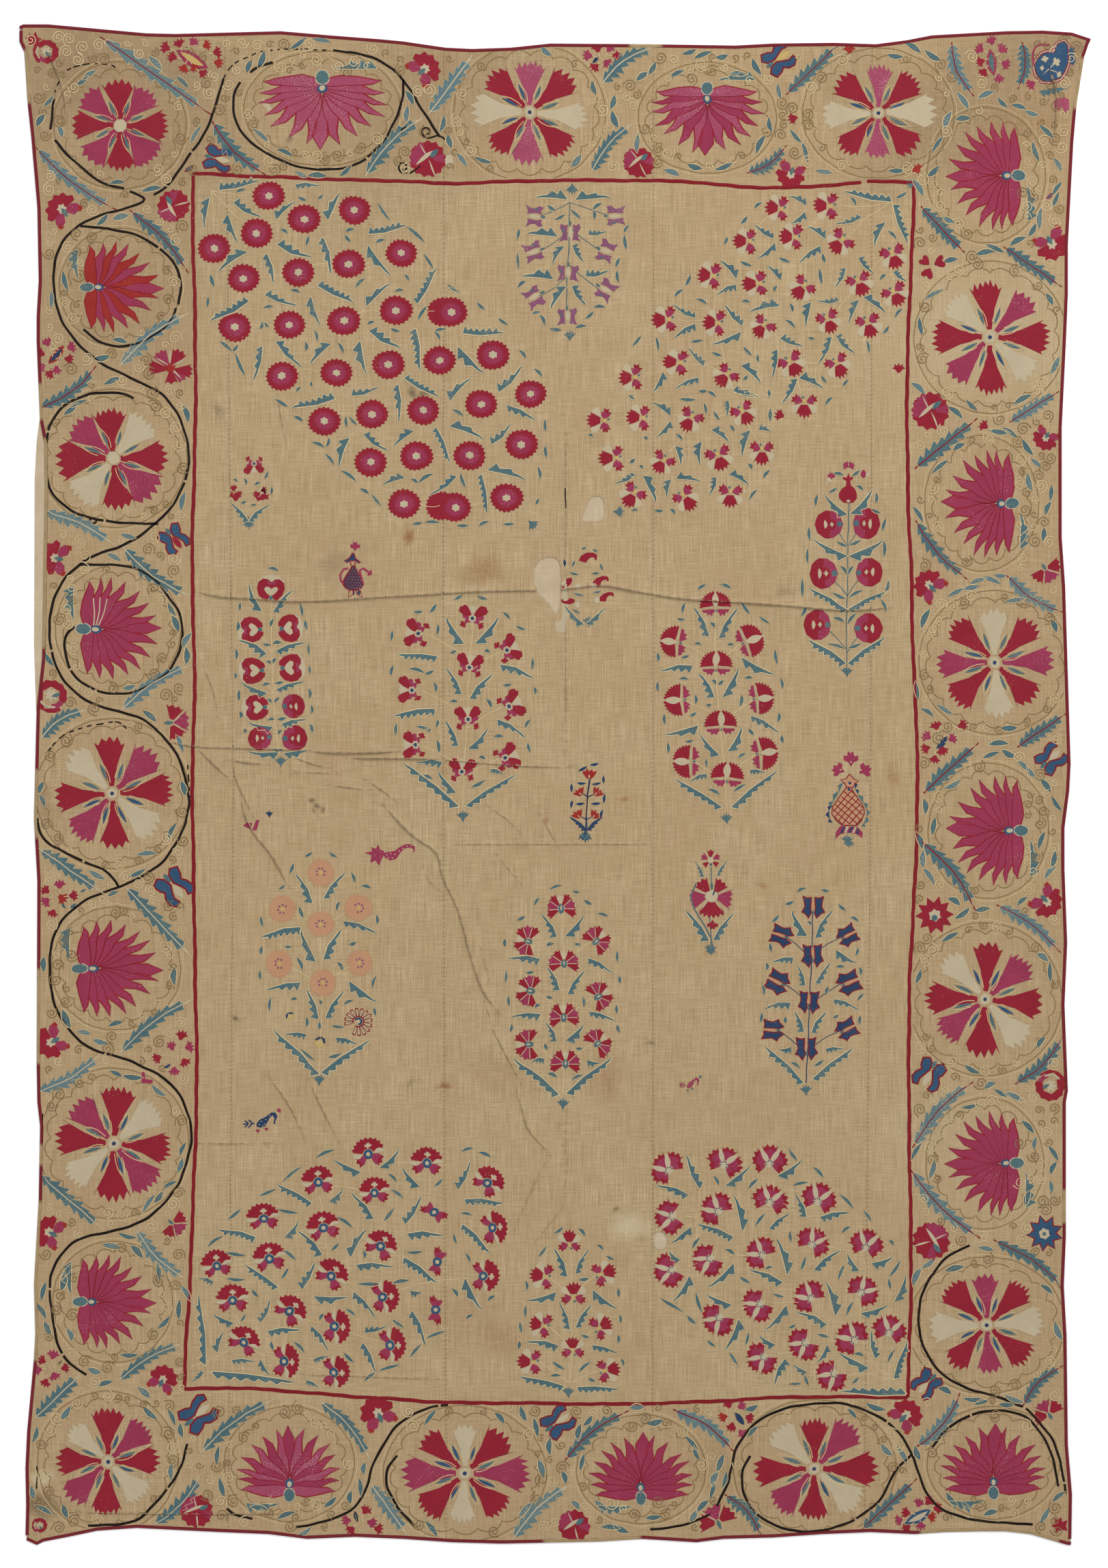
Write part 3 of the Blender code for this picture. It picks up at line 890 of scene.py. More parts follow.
def couched_shape(lines, width=1.0, sides=4, closed=False):
    """A motif part that is a thread along lines drawn round (0, 0), y up, on top of the patches."""
    mesh = line_mesh([np.array(line) * UNIT for line in lines], closed)
    for vertex in mesh.vertices:
        vertex.co.z = RELIEF * MM
    return run_tree(COUCH, mesh, Width=width * UNIT, Height=0.5 * MM, Sides=sides)


def sewn(rings, way=90, layer=0.0):
    """Patches with these outlines, and the way and layer of their stitches unless they have their own."""
    return [ring if isinstance(ring, tuple) else (ring, way, layer) for ring in rings]


def motif(*parts):
    """A motif, as a hidden object to set out for each of its parts.

    A part is a thread, then a finished mesh, or outlines with the way and the layer of their stitches.
    """
    made = []
    for thread, shape, *how in parts:
        mesh = shape if isinstance(shape, bpy.types.Mesh) else stitched(sewn(shape, *how))
        made.append((thread, bpy.data.objects.new("motif", mesh)))
    return made


def set_out(shape, rows, **instead):
    """Sets a motif out at rows of x, y, turn in degrees, width and height against its drawing."""
    if not rows:
        return
    places = on_cloth([row[:2] for row in rows])
    for thread, obj in shape:
        mesh = bpy.data.meshes.new("places")
        mesh.from_pydata([(x, y, 0.0) for x, y in places], [], [])
        mark(mesh, "turn", [math.radians(row[2]) for row in rows])
        sizes = [v for row in rows for v in (row[3], row[4], draw.uniform(0.93, 1.07))]
        mesh.attributes.new("size", "FLOAT_VECTOR", "POINT").data.foreach_set("vector", sizes)
        name = instead.get(thread, thread)
        work[name].append(run_tree(SET_OUT, mesh, Motif=obj, Thread=threads[name]))


def patches(thread, shapes):
    """Single patches of stitches, drawn straight on the chart as outline, way and layer."""
    turned = []
    for ring, way, layer in shapes:
        ring = np.array(ring, float)
        turned.append((np.column_stack([ring[:, 0] - MIDDLE[0], MIDDLE[1] - ring[:, 1]]), way, layer))
    work[thread].append(stitched(turned))


def wander(xy):
    """The hand's small drift from the drawing, in metres."""
    x, y = xy.T / MM
    dx = 0.5 * np.sin(x / 9.0 + y / 23.0) + 0.35 * np.sin(y / 5.3 + 1.3 * np.sin(x / 31.0))
    dy = 0.5 * np.sin(y / 8.1 - x / 19.0) + 0.35 * np.sin(x / 5.9 + 1.7 * np.sin(y / 27.0))
    return xy + np.column_stack([dx, dy]) * MM


TAPE_WIDE = 4.5  # on the chart
CUT = 3.5  # longer edges are cut where they cross a crease, in millimetres


def within_tape(xy):
    """The places in metres, with any that lie past the tape moved in to it."""
    x, y = xy[:, 0] / UNIT + MIDDLE[0], MIDDLE[1] - xy[:, 1] / UNIT
    x = np.clip(x, left_of(y) + TAPE_WIDE, right_of(y) - TAPE_WIDE)
    y = np.clip(y, top_of(x) + TAPE_WIDE, bottom_of(x) - TAPE_WIDE)
    return on_cloth(np.column_stack([x, y]))


def lay_down(thread):
    """Joins all work in one thread and lays it on the cloth, cut finer where it crosses a crease."""
    bm = bmesh.new()
    bm.loops.layers.uv.new("thread")
    for mesh in work[thread]:
        bm.from_mesh(mesh)
    bmesh.ops.recalc_face_normals(bm, faces=bm.faces)
    bmesh.ops.triangulate(bm, faces=[f for f in bm.faces if len(f.verts) > 4])
    for _ in range(3):
        ends = np.array([[(*e.verts[0].co[:2],), (*e.verts[1].co[:2],)] for e in bm.edges]) / MM
        long = np.flatnonzero(np.linalg.norm(ends[:, 0] - ends[:, 1], axis=1) > CUT)
        middle = ends[long].mean(1)
        reach = np.linalg.norm(ends[long, 0] - ends[long, 1], axis=1) / 2 + 2 * CUT
        cut = np.zeros(len(long), bool)
        for _, _, line in CREASE_LINES:
            for i in range(0, len(line), 2):
                cut |= np.hypot(*(middle - line[i]).T) < reach
        if not cut.any():
            break
        bm.edges.ensure_lookup_table()
        bmesh.ops.subdivide_edges(bm, edges=[bm.edges[i] for i in long[cut]], cuts=1)
        bmesh.ops.triangulate(bm, faces=[f for f in bm.faces if len(f.verts) > 3])
    mesh = bpy.data.meshes.new(thread)
    bm.to_mesh(mesh)
    bm.free()
    co = np.empty(len(mesh.vertices) * 3)
    mesh.vertices.foreach_get("co", co)
    co = co.reshape(-1, 3)
    co[:, :2] = within_tape(wander(co[:, :2]))
    co[:, 2] += (FACE_TOP + lift(co[:, :2] / MM)) * MM
    mesh.vertices.foreach_set("co", co.ravel())
    mesh.materials.clear()
    mesh.materials.append(threads[thread])
    mesh.polygons.foreach_set("material_index", [0] * len(mesh.polygons))
    soften(mesh, 32)
    piece = link(f"silk_{thread}", mesh)
    return piece


# ---------------------------------------------------------------- shapes


def moved(ring, x=0.0, y=0.0, angle=0.0, size=1.0):
    """A shape turned clockwise by the angle, scaled, then moved."""
    a = math.radians(angle)
    ring = np.array(ring, float) * size
    return np.column_stack(
        [
            ring[:, 0] * math.cos(a) + ring[:, 1] * math.sin(a) + x,
            ring[:, 1] * math.cos(a) - ring[:, 0] * math.sin(a) + y,
        ]
    )


def lens(length, wide, bend=0.0, n=5):
    """A pointed lens from (0, 0) up."""
    t = np.linspace(0, 1, n + 2)
    mid = bend * np.sin(math.pi * t)
    half = wide / 2 * np.sin(math.pi * t) ** 0.85
    right = np.column_stack([mid + half, t * length])
    left = np.column_stack([mid - half, t * length])
    return np.vstack([right, left[1:-1][::-1]])


def disc(radius, teeth=0, depth=0.0, n=None, tall=1.0, x=0.0, y=0.0):
    """A round, plain or scalloped."""
    n = n or (2 * teeth if teeth else 14)
    a = np.arange(n) * 2 * math.pi / n
    r = np.full(n, float(radius))
    if teeth:
        r[1::2] -= depth
    return np.column_stack([x + r * np.sin(a), y + tall * r * np.cos(a)])


def petal(tip=84.0, start=11.0, near=3.0, wide=23.0, teeth=6, depth=9.0, seed=0):
    """A rosette's petal: narrow at the middle, widening straight to a toothed end."""
    rng = random.Random(seed)
    ring = [(-near, start), (near, start), (wide * 0.42, start + (tip - start) * 0.42)]
    marks = np.linspace(1, -1, teeth)
    for i, u in enumerate(marks):
        far = tip * (1 - 0.13 * u * u) + rng.uniform(-2, 2)
        ring.append((u * wide, far))
        if i < teeth - 1:
            v = (u + marks[i + 1]) / 2 + rng.uniform(-0.03, 0.03)
            low = tip * (1 - 0.13 * v * v) - depth + rng.uniform(-1.5, 1.5)
            ring.append((v * wide * 0.98, low))
    ring.append((-wide * 0.42, start + (tip - start) * 0.42))
    return np.array(ring)


def toothed_leaf(length, wide, teeth, bend=0.0, seed=0, tail=0.13):
    """A leaf from (0, 0) up with saw teeth that lean to its tip along both sides, and a thin tail."""
    rng = random.Random(seed)

    def half(t):
        return wide / 2 * min(1.0, 0.5 + 1.7 * t) * (1 - 0.55 * t**2.6)

    def side(sign):
        out = []
        for k in range(teeth):
            low, high = (1 - tail) * (k + 0.10) / teeth, (1 - tail) * (k + rng.uniform(0.95, 1.25)) / teeth
            out.append((low, sign * half(low) * rng.uniform(0.40, 0.52)))
            out.append((high, sign * half(high) * rng.uniform(0.86, 1.15)))
        return [*out, (1 - 0.82 * tail, sign * 0.08 * wide), (1 - 0.4 * tail, sign * 0.05 * wide)]

    points = [(0.0, 0.0), *side(1), (1.0, 0.0), *side(-1)[::-1]]
    return np.array([(bend * math.sin(math.pi * t) + h, t * length) for t, h in points])


def thorny_leaf(length, teeth, side, bend=0.0, seed=0, toothed=0.66, reach=0.205):
    """Half a leaf from (0, 0) up: one side plain, the other with thorns over a share of it, then a tail."""
    rng = random.Random(seed)
    ring = [(-0.4, 0.0), (1.0, -0.02 * length)]
    share, less = toothed / teeth, reach * 0.33 / teeth
    for k in range(teeth):
        foot = k * share
        ring.append(
            (
                length * (reach - less * k) * rng.uniform(0.88, 1.12),
                length * (foot + share * rng.uniform(0.45, 0.68)),
            )
        )
        ring.append((length * (reach * 0.48 - less * 0.64 * k), length * (foot + share * 0.88)))
    ring += [
        (reach * 0.32 * length, max(0.80, toothed + 0.02) * length), (reach * 0.22 * length, 0.92 * length),
        (0.0, length),
    ]
    ring += [(-0.012 * length, 0.8 * length), (-0.03 * length, 0.4 * length)]
    return np.array([(side * x + bend * math.sin(math.pi * max(0.0, y) / length), y) for x, y in ring])


def spine(length, bend, low=0.06, high=0.92, n=7):
    """The rib of a leaf from (0, 0) up."""
    t = np.linspace(low, high, n)
    return np.column_stack([bend * np.sin(math.pi * t), t * length])


def curve(start, bend, end, n=6):
    """Points along a curve that leaves start towards bend and comes into end."""
    t = np.linspace(0, 1, n)[:, None]
    return (1 - t) ** 2 * np.array(start) + 2 * t * (1 - t) * np.array(bend) + t**2 * np.array(end)


def polar(angle, r, squash=1.0):
    """The place at an angle clockwise from straight up."""
    a = math.radians(angle)
    return np.array((r * math.sin(a), r * math.cos(a) * squash))


# A fan as drawn: its half width, its height, and how much shorter its outermost petals are.
FAN_HALF, FAN_TALL, FAN_DROP = 74, 118, 47


def fan_petals(seed=0):
    """A fan of fifteen flame-like petals, pointing up from its stalk at (0, 0).

    Gives the petals' outlines, the lines between them and their outer edges.
    """
    rng = random.Random(seed)
    share = np.linspace(-1, 1, 15)
    turn = 87 * np.sign(share) * np.abs(share) ** 1.05 + [rng.uniform(-2, 2) for _ in share]
    far = (FAN_TALL - FAN_DROP * np.abs(share) ** 1.4) * [rng.uniform(0.97, 1.03) for _ in share]
    tips = [polar(a, r) for a, r in zip(turn, far)]
    notches, lines = [], []
    for i in range(14):
        b = 0.96 * (turn[i] + turn[i + 1]) / 2
        notches.append(polar(b, (far[i] + far[i + 1]) / 2 * (0.62 + 0.02 * abs(b) / 87)))
        start = np.array((math.copysign(1.5, b), 11 + 18 * (1 - abs(b) / 87)))
        middle = (start + notches[-1]) / 2 + (-math.copysign(0.05, b) * far[i], 0.03 * far[i])
        lines.append(curve(start, middle, notches[-1]))
    left = np.array(drawn("-3 4, -10 -3, -24 -7, -42 -4, -56 0"))
    lines = [left, *lines, left * (-1, 1)]
    shapes, edges = [], []
    for i, tip in enumerate(tips):
        hook = np.sign(share[i]) or 1.0
        flame = []
        for k, (near, far_end) in enumerate(((lines[i][-1], tip), (lines[i + 1][-1], tip))):
            dx, dy = far_end - near
            outer = k == (share[i] >= 0)
            flame.append((near + far_end) / 2 + hook * np.array((-dy, dx)) * (0.06 if outer else 0.12))
        if i == 7:
            flame[1] = flame[0] * (-1, 1) + (2 * tip[0], 0)
        chain = [lines[i][-1], flame[0], tip, flame[1], lines[i + 1][-1]]
        shapes.append(np.array([*lines[i], *chain[1:-1], *lines[i + 1][::-1]]))
        edges.append(
            np.array([*(lines[0] if i == 0 else ()), *chain, *(lines[-1][::-1] if i == 14 else ())])
        )
    return shapes, lines[1:-1], edges


# ---------------------------------------------------------------- border

# The red line round the field, as lines that meet end to end.
FIELD_LINES = drawn_lines("""
    284 254, 357 258, 446 261, 507 264, 591 265, 652 270, 770 265, 877 264, 957 265, 1013 266, 1077 274,
    1168 276, 1261 267; 1269 266, 1338 267; 1338 267, 1338 323, 1335 377, 1331 467, 1328 560, 1329 680,
    1331 769, 1336 859, 1336 949, 1342 1038, 1344 1148, 1342 1255, 1336 1363, 1331 1453, 1331 1632,
    1333 1740, 1335 1883, 1331 1991, 1329 2046; 1329 2046, 1275 2045, 1168 2045, 1096 2048, 1060 2051,
    957 2055, 877 2056, 770 2054, 652 2054, 591 2049, 520 2045, 428 2037, 339 2031, 270 2034; 270 2034,
    273 1953, 279 1881, 282 1774, 287 1667, 289 1560, 286 1433, 284 1290, 282 1183, 282 1090, 286 1040,
    284 928, 281 821, 284 714, 287 607, 286 464, 283 357, 282 286, 284 254
""")

# Rosettes: half width and height, the petals' threads clockwise from the top (red, magenta or cream), and
# whether the middle is plain.
ROSETTES = table("x y wide tall petals plain", """
    176 184 73 69 rmrmrmrm 1, 166 671 84 77 rcrmrcrm 1, 165 1162 88 86 rmrcrmrc 0,
    167 1674 86 86 rcrmrcrm 0, 158 2140 79 79 rmrcrmrc 0, 681 2157 95 75 crmrcrmr 0,
    1193 2150 95 77 rmrcrmrc 0, 1445 1940 90 76 mrcrmrcr 0, 1443 1463 88 88 rmrcrmrc 0,
    1457 970 87 81 crmrcrmr 0, 1450 494 87 87 rmrcrmrc 0, 1286 166 87 71 mrcrmrcr 0,
    776 165 87 77 mrcrmrcr 0
""")

# Fans, from the stalk's end, with their height, half width and two threads.
FANS = table("x y turn tall half first second", """
    130 421 -90 107 63 orange magenta, 125 921 -90 112 70 magenta magenta,
    120 1418 -90 117 66 magenta magenta, 120 1906 -90 106 65 magenta magenta,
    424 2186 0 100 71 rose magenta, 939 2191 0 93 71 magenta magenta, 1455 2183 0 97 73 magenta magenta,
    1487 1703 90 104 72 magenta magenta, 1493 1216 90 106 75 magenta magenta,
    1480 737 90 99 75 magenta magenta, 1489 257 90 104 75 magenta magenta, 1036 132 180 95 77 rose magenta,
    472 116 180 100 90 rose rose
""")

# The dark vine, line by line.
VINE = drawn_lines("""
    79 145, 74 189; 80 205, 100 230, 154 273, 182 276; 191 280, 216 291, 200 302, 139 317, 107 336, 86 361,
    79 393, 79 429, 86 464, 107 496, 137 525, 168 543, 193 554, 229 571, 254 593, 271 629, 278 664, 274 700,
    257 736, 229 768, 186 798, 143 811, 118 825, 96 845, 80 871, 73 904, 73 946, 86 989, 114 1018, 146 1036,
    200 1047, 229 1067, 250 1090, 266 1115, 279 1172, 275 1194, 264 1226, 246 1254, 221 1277, 175 1299,
    143 1309, 118 1322, 93 1344, 79 1369, 73 1390, 73 1436, 82 1479, 104 1511, 125 1533, 161 1544, 200 1556,
    250 1583, 271 1617, 281 1653, 280 1681, 268 1721, 250 1753, 221 1781, 196 1794, 157 1805, 118 1812,
    93 1831, 77 1856, 72 1889, 77 1931, 84 1971, 100 1996, 127 2013; 118 332, 161 335, 200 343, 236 364,
    259 389, 266 418, 262 446; 258 451, 253 468, 232 489, 200 505, 171 509, 146 502, 123 483; 225 286,
    243 277, 264 246, 286 218, 309 179, 318 146, 327 116; 489 74, 536 81, 552 86, 588 111, 616 157, 647 204;
    400 91, 375 100, 366 106; 352 120, 340 143, 345 186, 379 220, 436 246, 471 249, 507 246, 536 234,
    563 207, 581 175, 590 143, 591 116; 196 584, 182 575, 136 575, 100 589, 77 611, 68 643, 66 686, 71 714,
    86 736, 118 755, 154 764, 232 768; 118 827, 164 826, 200 832, 225 845, 246 873, 266 900, 268 939,
    255 975, 232 996, 200 1014, 168 1017, 132 1009, 107 989, 95 957, 95 929, 109 918; 54 1197, 59 1226,
    79 1240, 121 1261, 150 1272, 168 1286, 174 1298; 275 2114, 266 2146, 250 2175, 225 2204, 207 2223,
    179 2232, 129 2234; 332 2209, 346 2218, 370 2224; 434 2236, 468 2230, 500 2220, 521 2207, 536 2182,
    545 2146, 560 2118, 574 2094, 602 2071, 631 2060, 656 2057; 581 2131, 566 2151, 566 2176, 581 2205,
    606 2234; 953 2239, 991 2235, 1020 2227, 1040 2216; 1050 2205, 1066 2173, 1071 2149, 1078 2120,
    1096 2091, 1125 2070, 1160 2058, 1204 2054, 1240 2055, 1268 2064, 1300 2082, 1318 2098, 1335 2125,
    1344 2152, 1354 2181, 1369 2203, 1397 2219, 1433 2226, 1473 2230, 1512 2232; 1098 2131, 1087 2152,
    1087 2181, 1099 2210, 1139 2238, 1186 2243, 1218 2238, 1247 2228, 1275 2210, 1297 2185, 1311 2152,
    1335 2129; 1365 2118, 1383 2095, 1405 2079, 1433 2068, 1462 2064, 1491 2068, 1512 2082, 1530 2106,
    1543 2134, 1549 2176; 1502 2062, 1538 2098, 1552 2131, 1561 2186; 1420 1824, 1397 1833, 1376 1851,
    1358 1876, 1347 1905, 1344 1937, 1349 1966, 1362 1991, 1378 2012, 1412 2032, 1455 2043, 1484 2054,
    1498 2059; 588 196, 589 189, 596 187
""")
# The same vine where it is worn to dashes.
VINE_DASHED = drawn_lines("""
    98 104, 112 97, 130 94, 150 94, 165 95, 175 104; 87 120, 80 138; 327 116, 334 105, 346 91, 362 84,
    379 77, 396 74, 414 73, 440 72, 468 73, 486 74; 186 1067, 175 1055, 143 1060, 96 1072, 70 1099; 52 1130,
    54 1151, 54 1197; 275 1120, 279 1172
""")

# Long toothed leaves from tip to tip, and the thread of the rib.
LONG_LEAVES = table("x0 y0 x1 y1 rib", """
    154 59 304 164 wine, 57 221 166 305 wine, 195 312 273 396 wine, 314 182 386 254 wine,
    179 532 273 461 cream, 62 596 139 539 wine, 66 750 164 796 cream, 184 805 275 871 cream,
    182 1036 277 975 cream, 62 1079 125 1040 cream, 61 1245 146 1304 cream, 187 1302 277 1397 cream,
    179 1538 279 1465 cream, 59 1597 145 1545 cream, 59 1721 148 1797 cream, 202 1803 270 1871 cream,
    177 2019 266 1967 cream, 54 2074 116 2014 cream, 298 2123 398 2050 cream, 229 2230 293 2161 cream,
    473 2054 541 2134 cream, 545 2175 595 2244 cream, 831 2134 916 2067 wine, 754 2250 832 2176 cream,
    991 2066 1073 2123 wine, 1065 2190 1114 2247 wine, 1347 2115 1405 2043 wine, 1265 2237 1340 2167 wine,
    1500 2054 1555 2001 wine, 1340 1675 1421 1587 wine, 1338 1718 1432 1810 wine, 1460 1818 1555 1883 wine,
    1491 1584 1555 1521 wine, 1356 1158 1430 1090 wine, 1493 1092 1559 1047 wine, 1354 1236 1426 1329 wine,
    1464 1327 1550 1392 wine, 1344 683 1428 615 wine, 1482 617 1548 575 wine, 1344 767 1414 846 wine,
    1478 846 1554 895 wine, 1155 136 1225 68 wine, 1394 66 1424 138 wine, 1098 253 1150 215 wine,
    1351 305 1410 368 wine, 1473 364 1552 418 wine, 1498 65 1491 129 wine, 631 164 690 84 cream,
    538 254 616 175 cream, 884 120 956 70 cream, 868 250 924 184 cream
""")

# The field's frame is a close line of red silk, a little crooked.
couch(FIELD_LINES, "wine", 5.6, height=0.55, sides=7, step=5.0)

# The strips are oversewn along their seams, a stitch about every 7 mm.
overs = []
for k in range(4):
    for y in np.arange(84, 2240, 6.5):
        x = float(seam_of(k)(y))
        overs.append([(x - 2.4, y + draw.uniform(0.3, 1.2)), (x + 2.4, y - draw.uniform(0.3, 1.2))])
couch(overs, "earth", 0.5, height=0.3, sides=3, smooth=False)

# The dark vine is couched in short lengths, and its thread is worn through here and there.
lengths = []
for line in VINE:
    fine = rounded(line, 3.5)
    k = 0
    while k < len(fine) - 2:
        n = draw.randrange(14, 48)
        lengths.append(fine[k : k + n])
        k += n - 1 + (draw.random() < 0.3)
couch([line for line in lengths if len(line) > 2], "black", 4.5, height=0.6, smooth=False)
dashes = []
for line in VINE_DASHED:
    fine = rounded(line, 3.5)
    k = 0
    while k < len(fine) - 1:
        n = draw.choice((2, 3, 3, 4))
        dashes.append(fine[k : k + n])
        k += n + draw.choice((0, 1, 1))
couch([d for d in dashes if len(d) > 1], "black", 2.6, height=0.5, smooth=False)

# Rosettes: eight toothed petals in three threads, thin blue leaves between them, a blue knot in the middle.
PETALS = [
    petal(teeth=t, wide=w, depth=d, seed=k)
    for k, (t, w, d) in enumerate(((6, 21, 9), (7, 23, 8), (6, 24, 10), (5, 20, 8), (7, 22, 9)))
]
petal_motifs = [motif(("petal", [p])) for p in PETALS]
blade = lens(27, 4.8, 0.6)
sliver = motif(
    ("blade", [blade]), ("straw", couched_shape([(lens(44, 10.5, 0.6) - (0, 11))[1:-1]], 1.2, 3))
)
knot = motif(("cream", [disc(8.5, n=10)], 0, -0.3), ("navy", [disc(3.2, n=8)], 0, 1))
plain_knot = motif(("cream", [disc(9.5, n=9)], 0))
COLOURS = {"r": "red", "m": "magenta", "p": "rose", "c": "cream"}
petal_rows, blade_rows = {}, {"teal": [], "blue": []}
for x, y, wide, tall, colours, plain in ROSETTES:
    start = draw.uniform(-4, 4)
    for k, colour in enumerate(colours):
        a = math.radians(start + 45 * k + draw.uniform(-3, 3))
        reach = math.hypot(wide * math.sin(a), tall * math.cos(a)) / 84 * draw.uniform(0.96, 1.03)
        kind = draw.randrange(5)
        petal_rows.setdefault((kind, "p" if colour == "m" and y < 180 else colour), []).append(
            (x, y, -math.degrees(a), reach * draw.uniform(0.98, 1.1) * (1.28 if plain else 1.05), reach)
        )
        b = a + math.radians(22.5)
        r = 19 * (wide + tall) / 170
        dye = draw.choice(("teal", "teal", "blue"))
        row = (
            x + r * math.sin(b), y - r * math.cos(b), -math.degrees(b) + draw.uniform(-4, 4), reach, reach
        )
        blade_rows["teal" if plain else dye].append(row)
    set_out(plain_knot if plain else knot, [(x, y, draw.uniform(0, 90), 1, 1)])
for (kind, colour), rows in petal_rows.items():
    set_out(petal_motifs[kind], rows, petal=COLOURS[colour])
for dye, rows in blade_rows.items():
    set_out(sliver, rows, blade=dye)

# Fans: flame-like petals with dark red lines between them, a blue bulb and a small eye at the stalk.
fan_kinds = []
for seed in (1, 2, 3):
    shapes, lines, edges = fan_petals(seed)
    # A thorny leaf lies beside the foot of each fan.
    thorn = moved(thorny_leaf(52, 3, 1, 2.0, seed, 0.72, 0.32), -66, -17, 90)
    fan_kinds.append(
        motif(
            ("first", shapes[::2]), ("second", shapes[1::2], 90, 0.1),
            ("wine", couched_shape(lines[3:], 1.5, 4)), ("veins", couched_shape(lines[:3], 1.8, 4)),
            ("red", couched_shape(edges, 2.0, 4)),
            (
                "cream",
                [(disc(9.6, n=12, tall=1.45, y=-3), 90, 0.5), (disc(3.8, n=8, tall=1.5, y=16), 90, 2)],
            ),
            ("teal", [(disc(8.0, n=12, tall=1.5, y=-3), 90, 1.4), thorn]),
            ("straw", couched_shape([thorn], 1.4, 3, closed=True)),
            ("blue", [disc(6.6, n=10, tall=1.25, y=17)], 90, 1.2),
        )
    )
for k, (x, y, turn, tall, half, first, second) in enumerate(FANS):
    row = (x, y, turn, half / FAN_HALF, tall / FAN_TALL)
    set_out(fan_kinds[k % 3], [row], first=first, second=second, veins="cream" if k == 1 else "wine")

# Long leaves, bowed one way or the other.
leaf_kinds = []
for k, bend in enumerate((0.0, 8.0, -8.0)):
    leaf = toothed_leaf(100, 28, 7, bend, seed=k + 3)
    leaf_kinds.append(
        motif(
            ("teal", [leaf], 60), ("straw", couched_shape([leaf], 1.1, 3, closed=True)),
            ("rib", couched_shape([spine(100, bend, -0.05, 1.04)], 1.8, 4)),
        )
    )
leaf_rows = {}
for x0, y0, x1, y1, rib in LONG_LEAVES:
    x, y, turn, length = tip_to_tip(x0, y0, x1, y1)
    size = length / 100
    dye = draw.choice(("teal", "teal", "sky"))
    leaf_rows.setdefault((draw.randrange(3), rib, dye), []).append(
        (x, y, turn, draw.uniform(0.85, 1.05), size)
    )
for (kind, rib, dye), rows in leaf_rows.items():
    set_out(leaf_kinds[kind], rows, rib=rib, teal=dye)


# ---------------------------------------------------------------- flowers, each facing up


def sector(start, end, near, far, teeth, depth=2.5, squash=1.0):
    """Part of a ring between two angles, clockwise from the top, toothed along its outer edge."""
    marks = np.linspace(start, end, 2 * teeth + 1)
    outer = [polar(a, far - depth * (k % 2 == 0), squash) for k, a in enumerate(marks)]
    inner = [polar(a, near, squash) for a in np.linspace(end, start, max(3, teeth // 2 + 1))]
    return np.array([*outer, *inner])


def wedge(angle, near, thin, far, wide, teeth=4, depth=3.0):
    """A petal that widens outwards to a toothed end."""
    ring = [(-thin / 2, near), (thin / 2, near)]
    marks = np.linspace(1, -1, 2 * teeth - 1)
    ring += [(u * wide / 2, far * (1 - 0.08 * u * u) - depth * (k % 2)) for k, u in enumerate(marks)]
    return moved(ring, 0, 0, angle)


def wedges(angles, near, thin, far, wide, teeth=4, depth=3.0):
    """The same wedge at each of the angles."""
    return [wedge(angle, near, thin, far, wide, teeth, depth) for angle in angles]


def turned(ring, *angles):
    """The shape at each of these angles."""
    return [moved(ring, 0, 0, angle) for angle in angles]


def both(ring):
    """The shape and its mirror image, as two patches' outlines."""
    return [np.array(ring, float), np.array(ring, float) * (-1, 1)]


TREFOIL = drawn("0 -7, 2.6 -3, 7 -1.5, 7 3, 3.6 2.6, 2.5 7, 0 5, -2.5 7, -3.6 2.6, -7 3, -7 -1.5, -2.6 -3")
ARROW = drawn("""
    0 9, 2.5 3, 6 0, 10 -5, 5.5 -3.5, 4.5 -8, 1.5 -5, 0 -11, -1.5 -5, -4.5 -8, -5.5 -3.5, -10 -5, -6 0,
    -2.5 3
""")

under_disc = motif(("red", [disc(24.5, 21, 3.0)], 90, -0.8))
disc_flower = motif(
    ("red", [disc(24.5, 21, 3.0)]), ("magenta", [disc(18.0, 22, 5.5)], 90, 0.5),
    ("cream", [disc(7.0, 6, 1.8)], 0, 1),
)
tulip = motif(
    (
        "red",
        [
            drawn(
                "-4 4, 4 4, 7.5 10, 10.5 17, 6.8 16, 5.6 21.5, 2.4 17.5, 0 23, -2.4 17.5, -5.6 21.5, "
                "-6.8 16, -10.5 17, -7.5 10"
            )
        ],
    ),
    ("magenta", both(drawn("2 0, 6.5 3, 12.5 4, 11.5 0.5, 13 -3, 10.5 -6.5, 7.5 -8.5, 4.5 -5")), 20),
    (
        "red", both(drawn("12 0, 14.5 0, 17.5 -1, 15 -3, 16.5 -7.5, 12.5 -6.5, 11 -11.5, 8.5 -7.5, 11 -4")),
        20, 0.1,
    ),
    ("cream", both(drawn("3.5 3, 8 3.5, 13 4, 17 7, 17.5 11, 14 15, 11 16, 8 10")), 30, -0.6),
    ("yellow", [disc(3.0, n=8, y=-1)]), ("teal", [disc(1.9, n=6, x=2.2, y=-6)]),
)
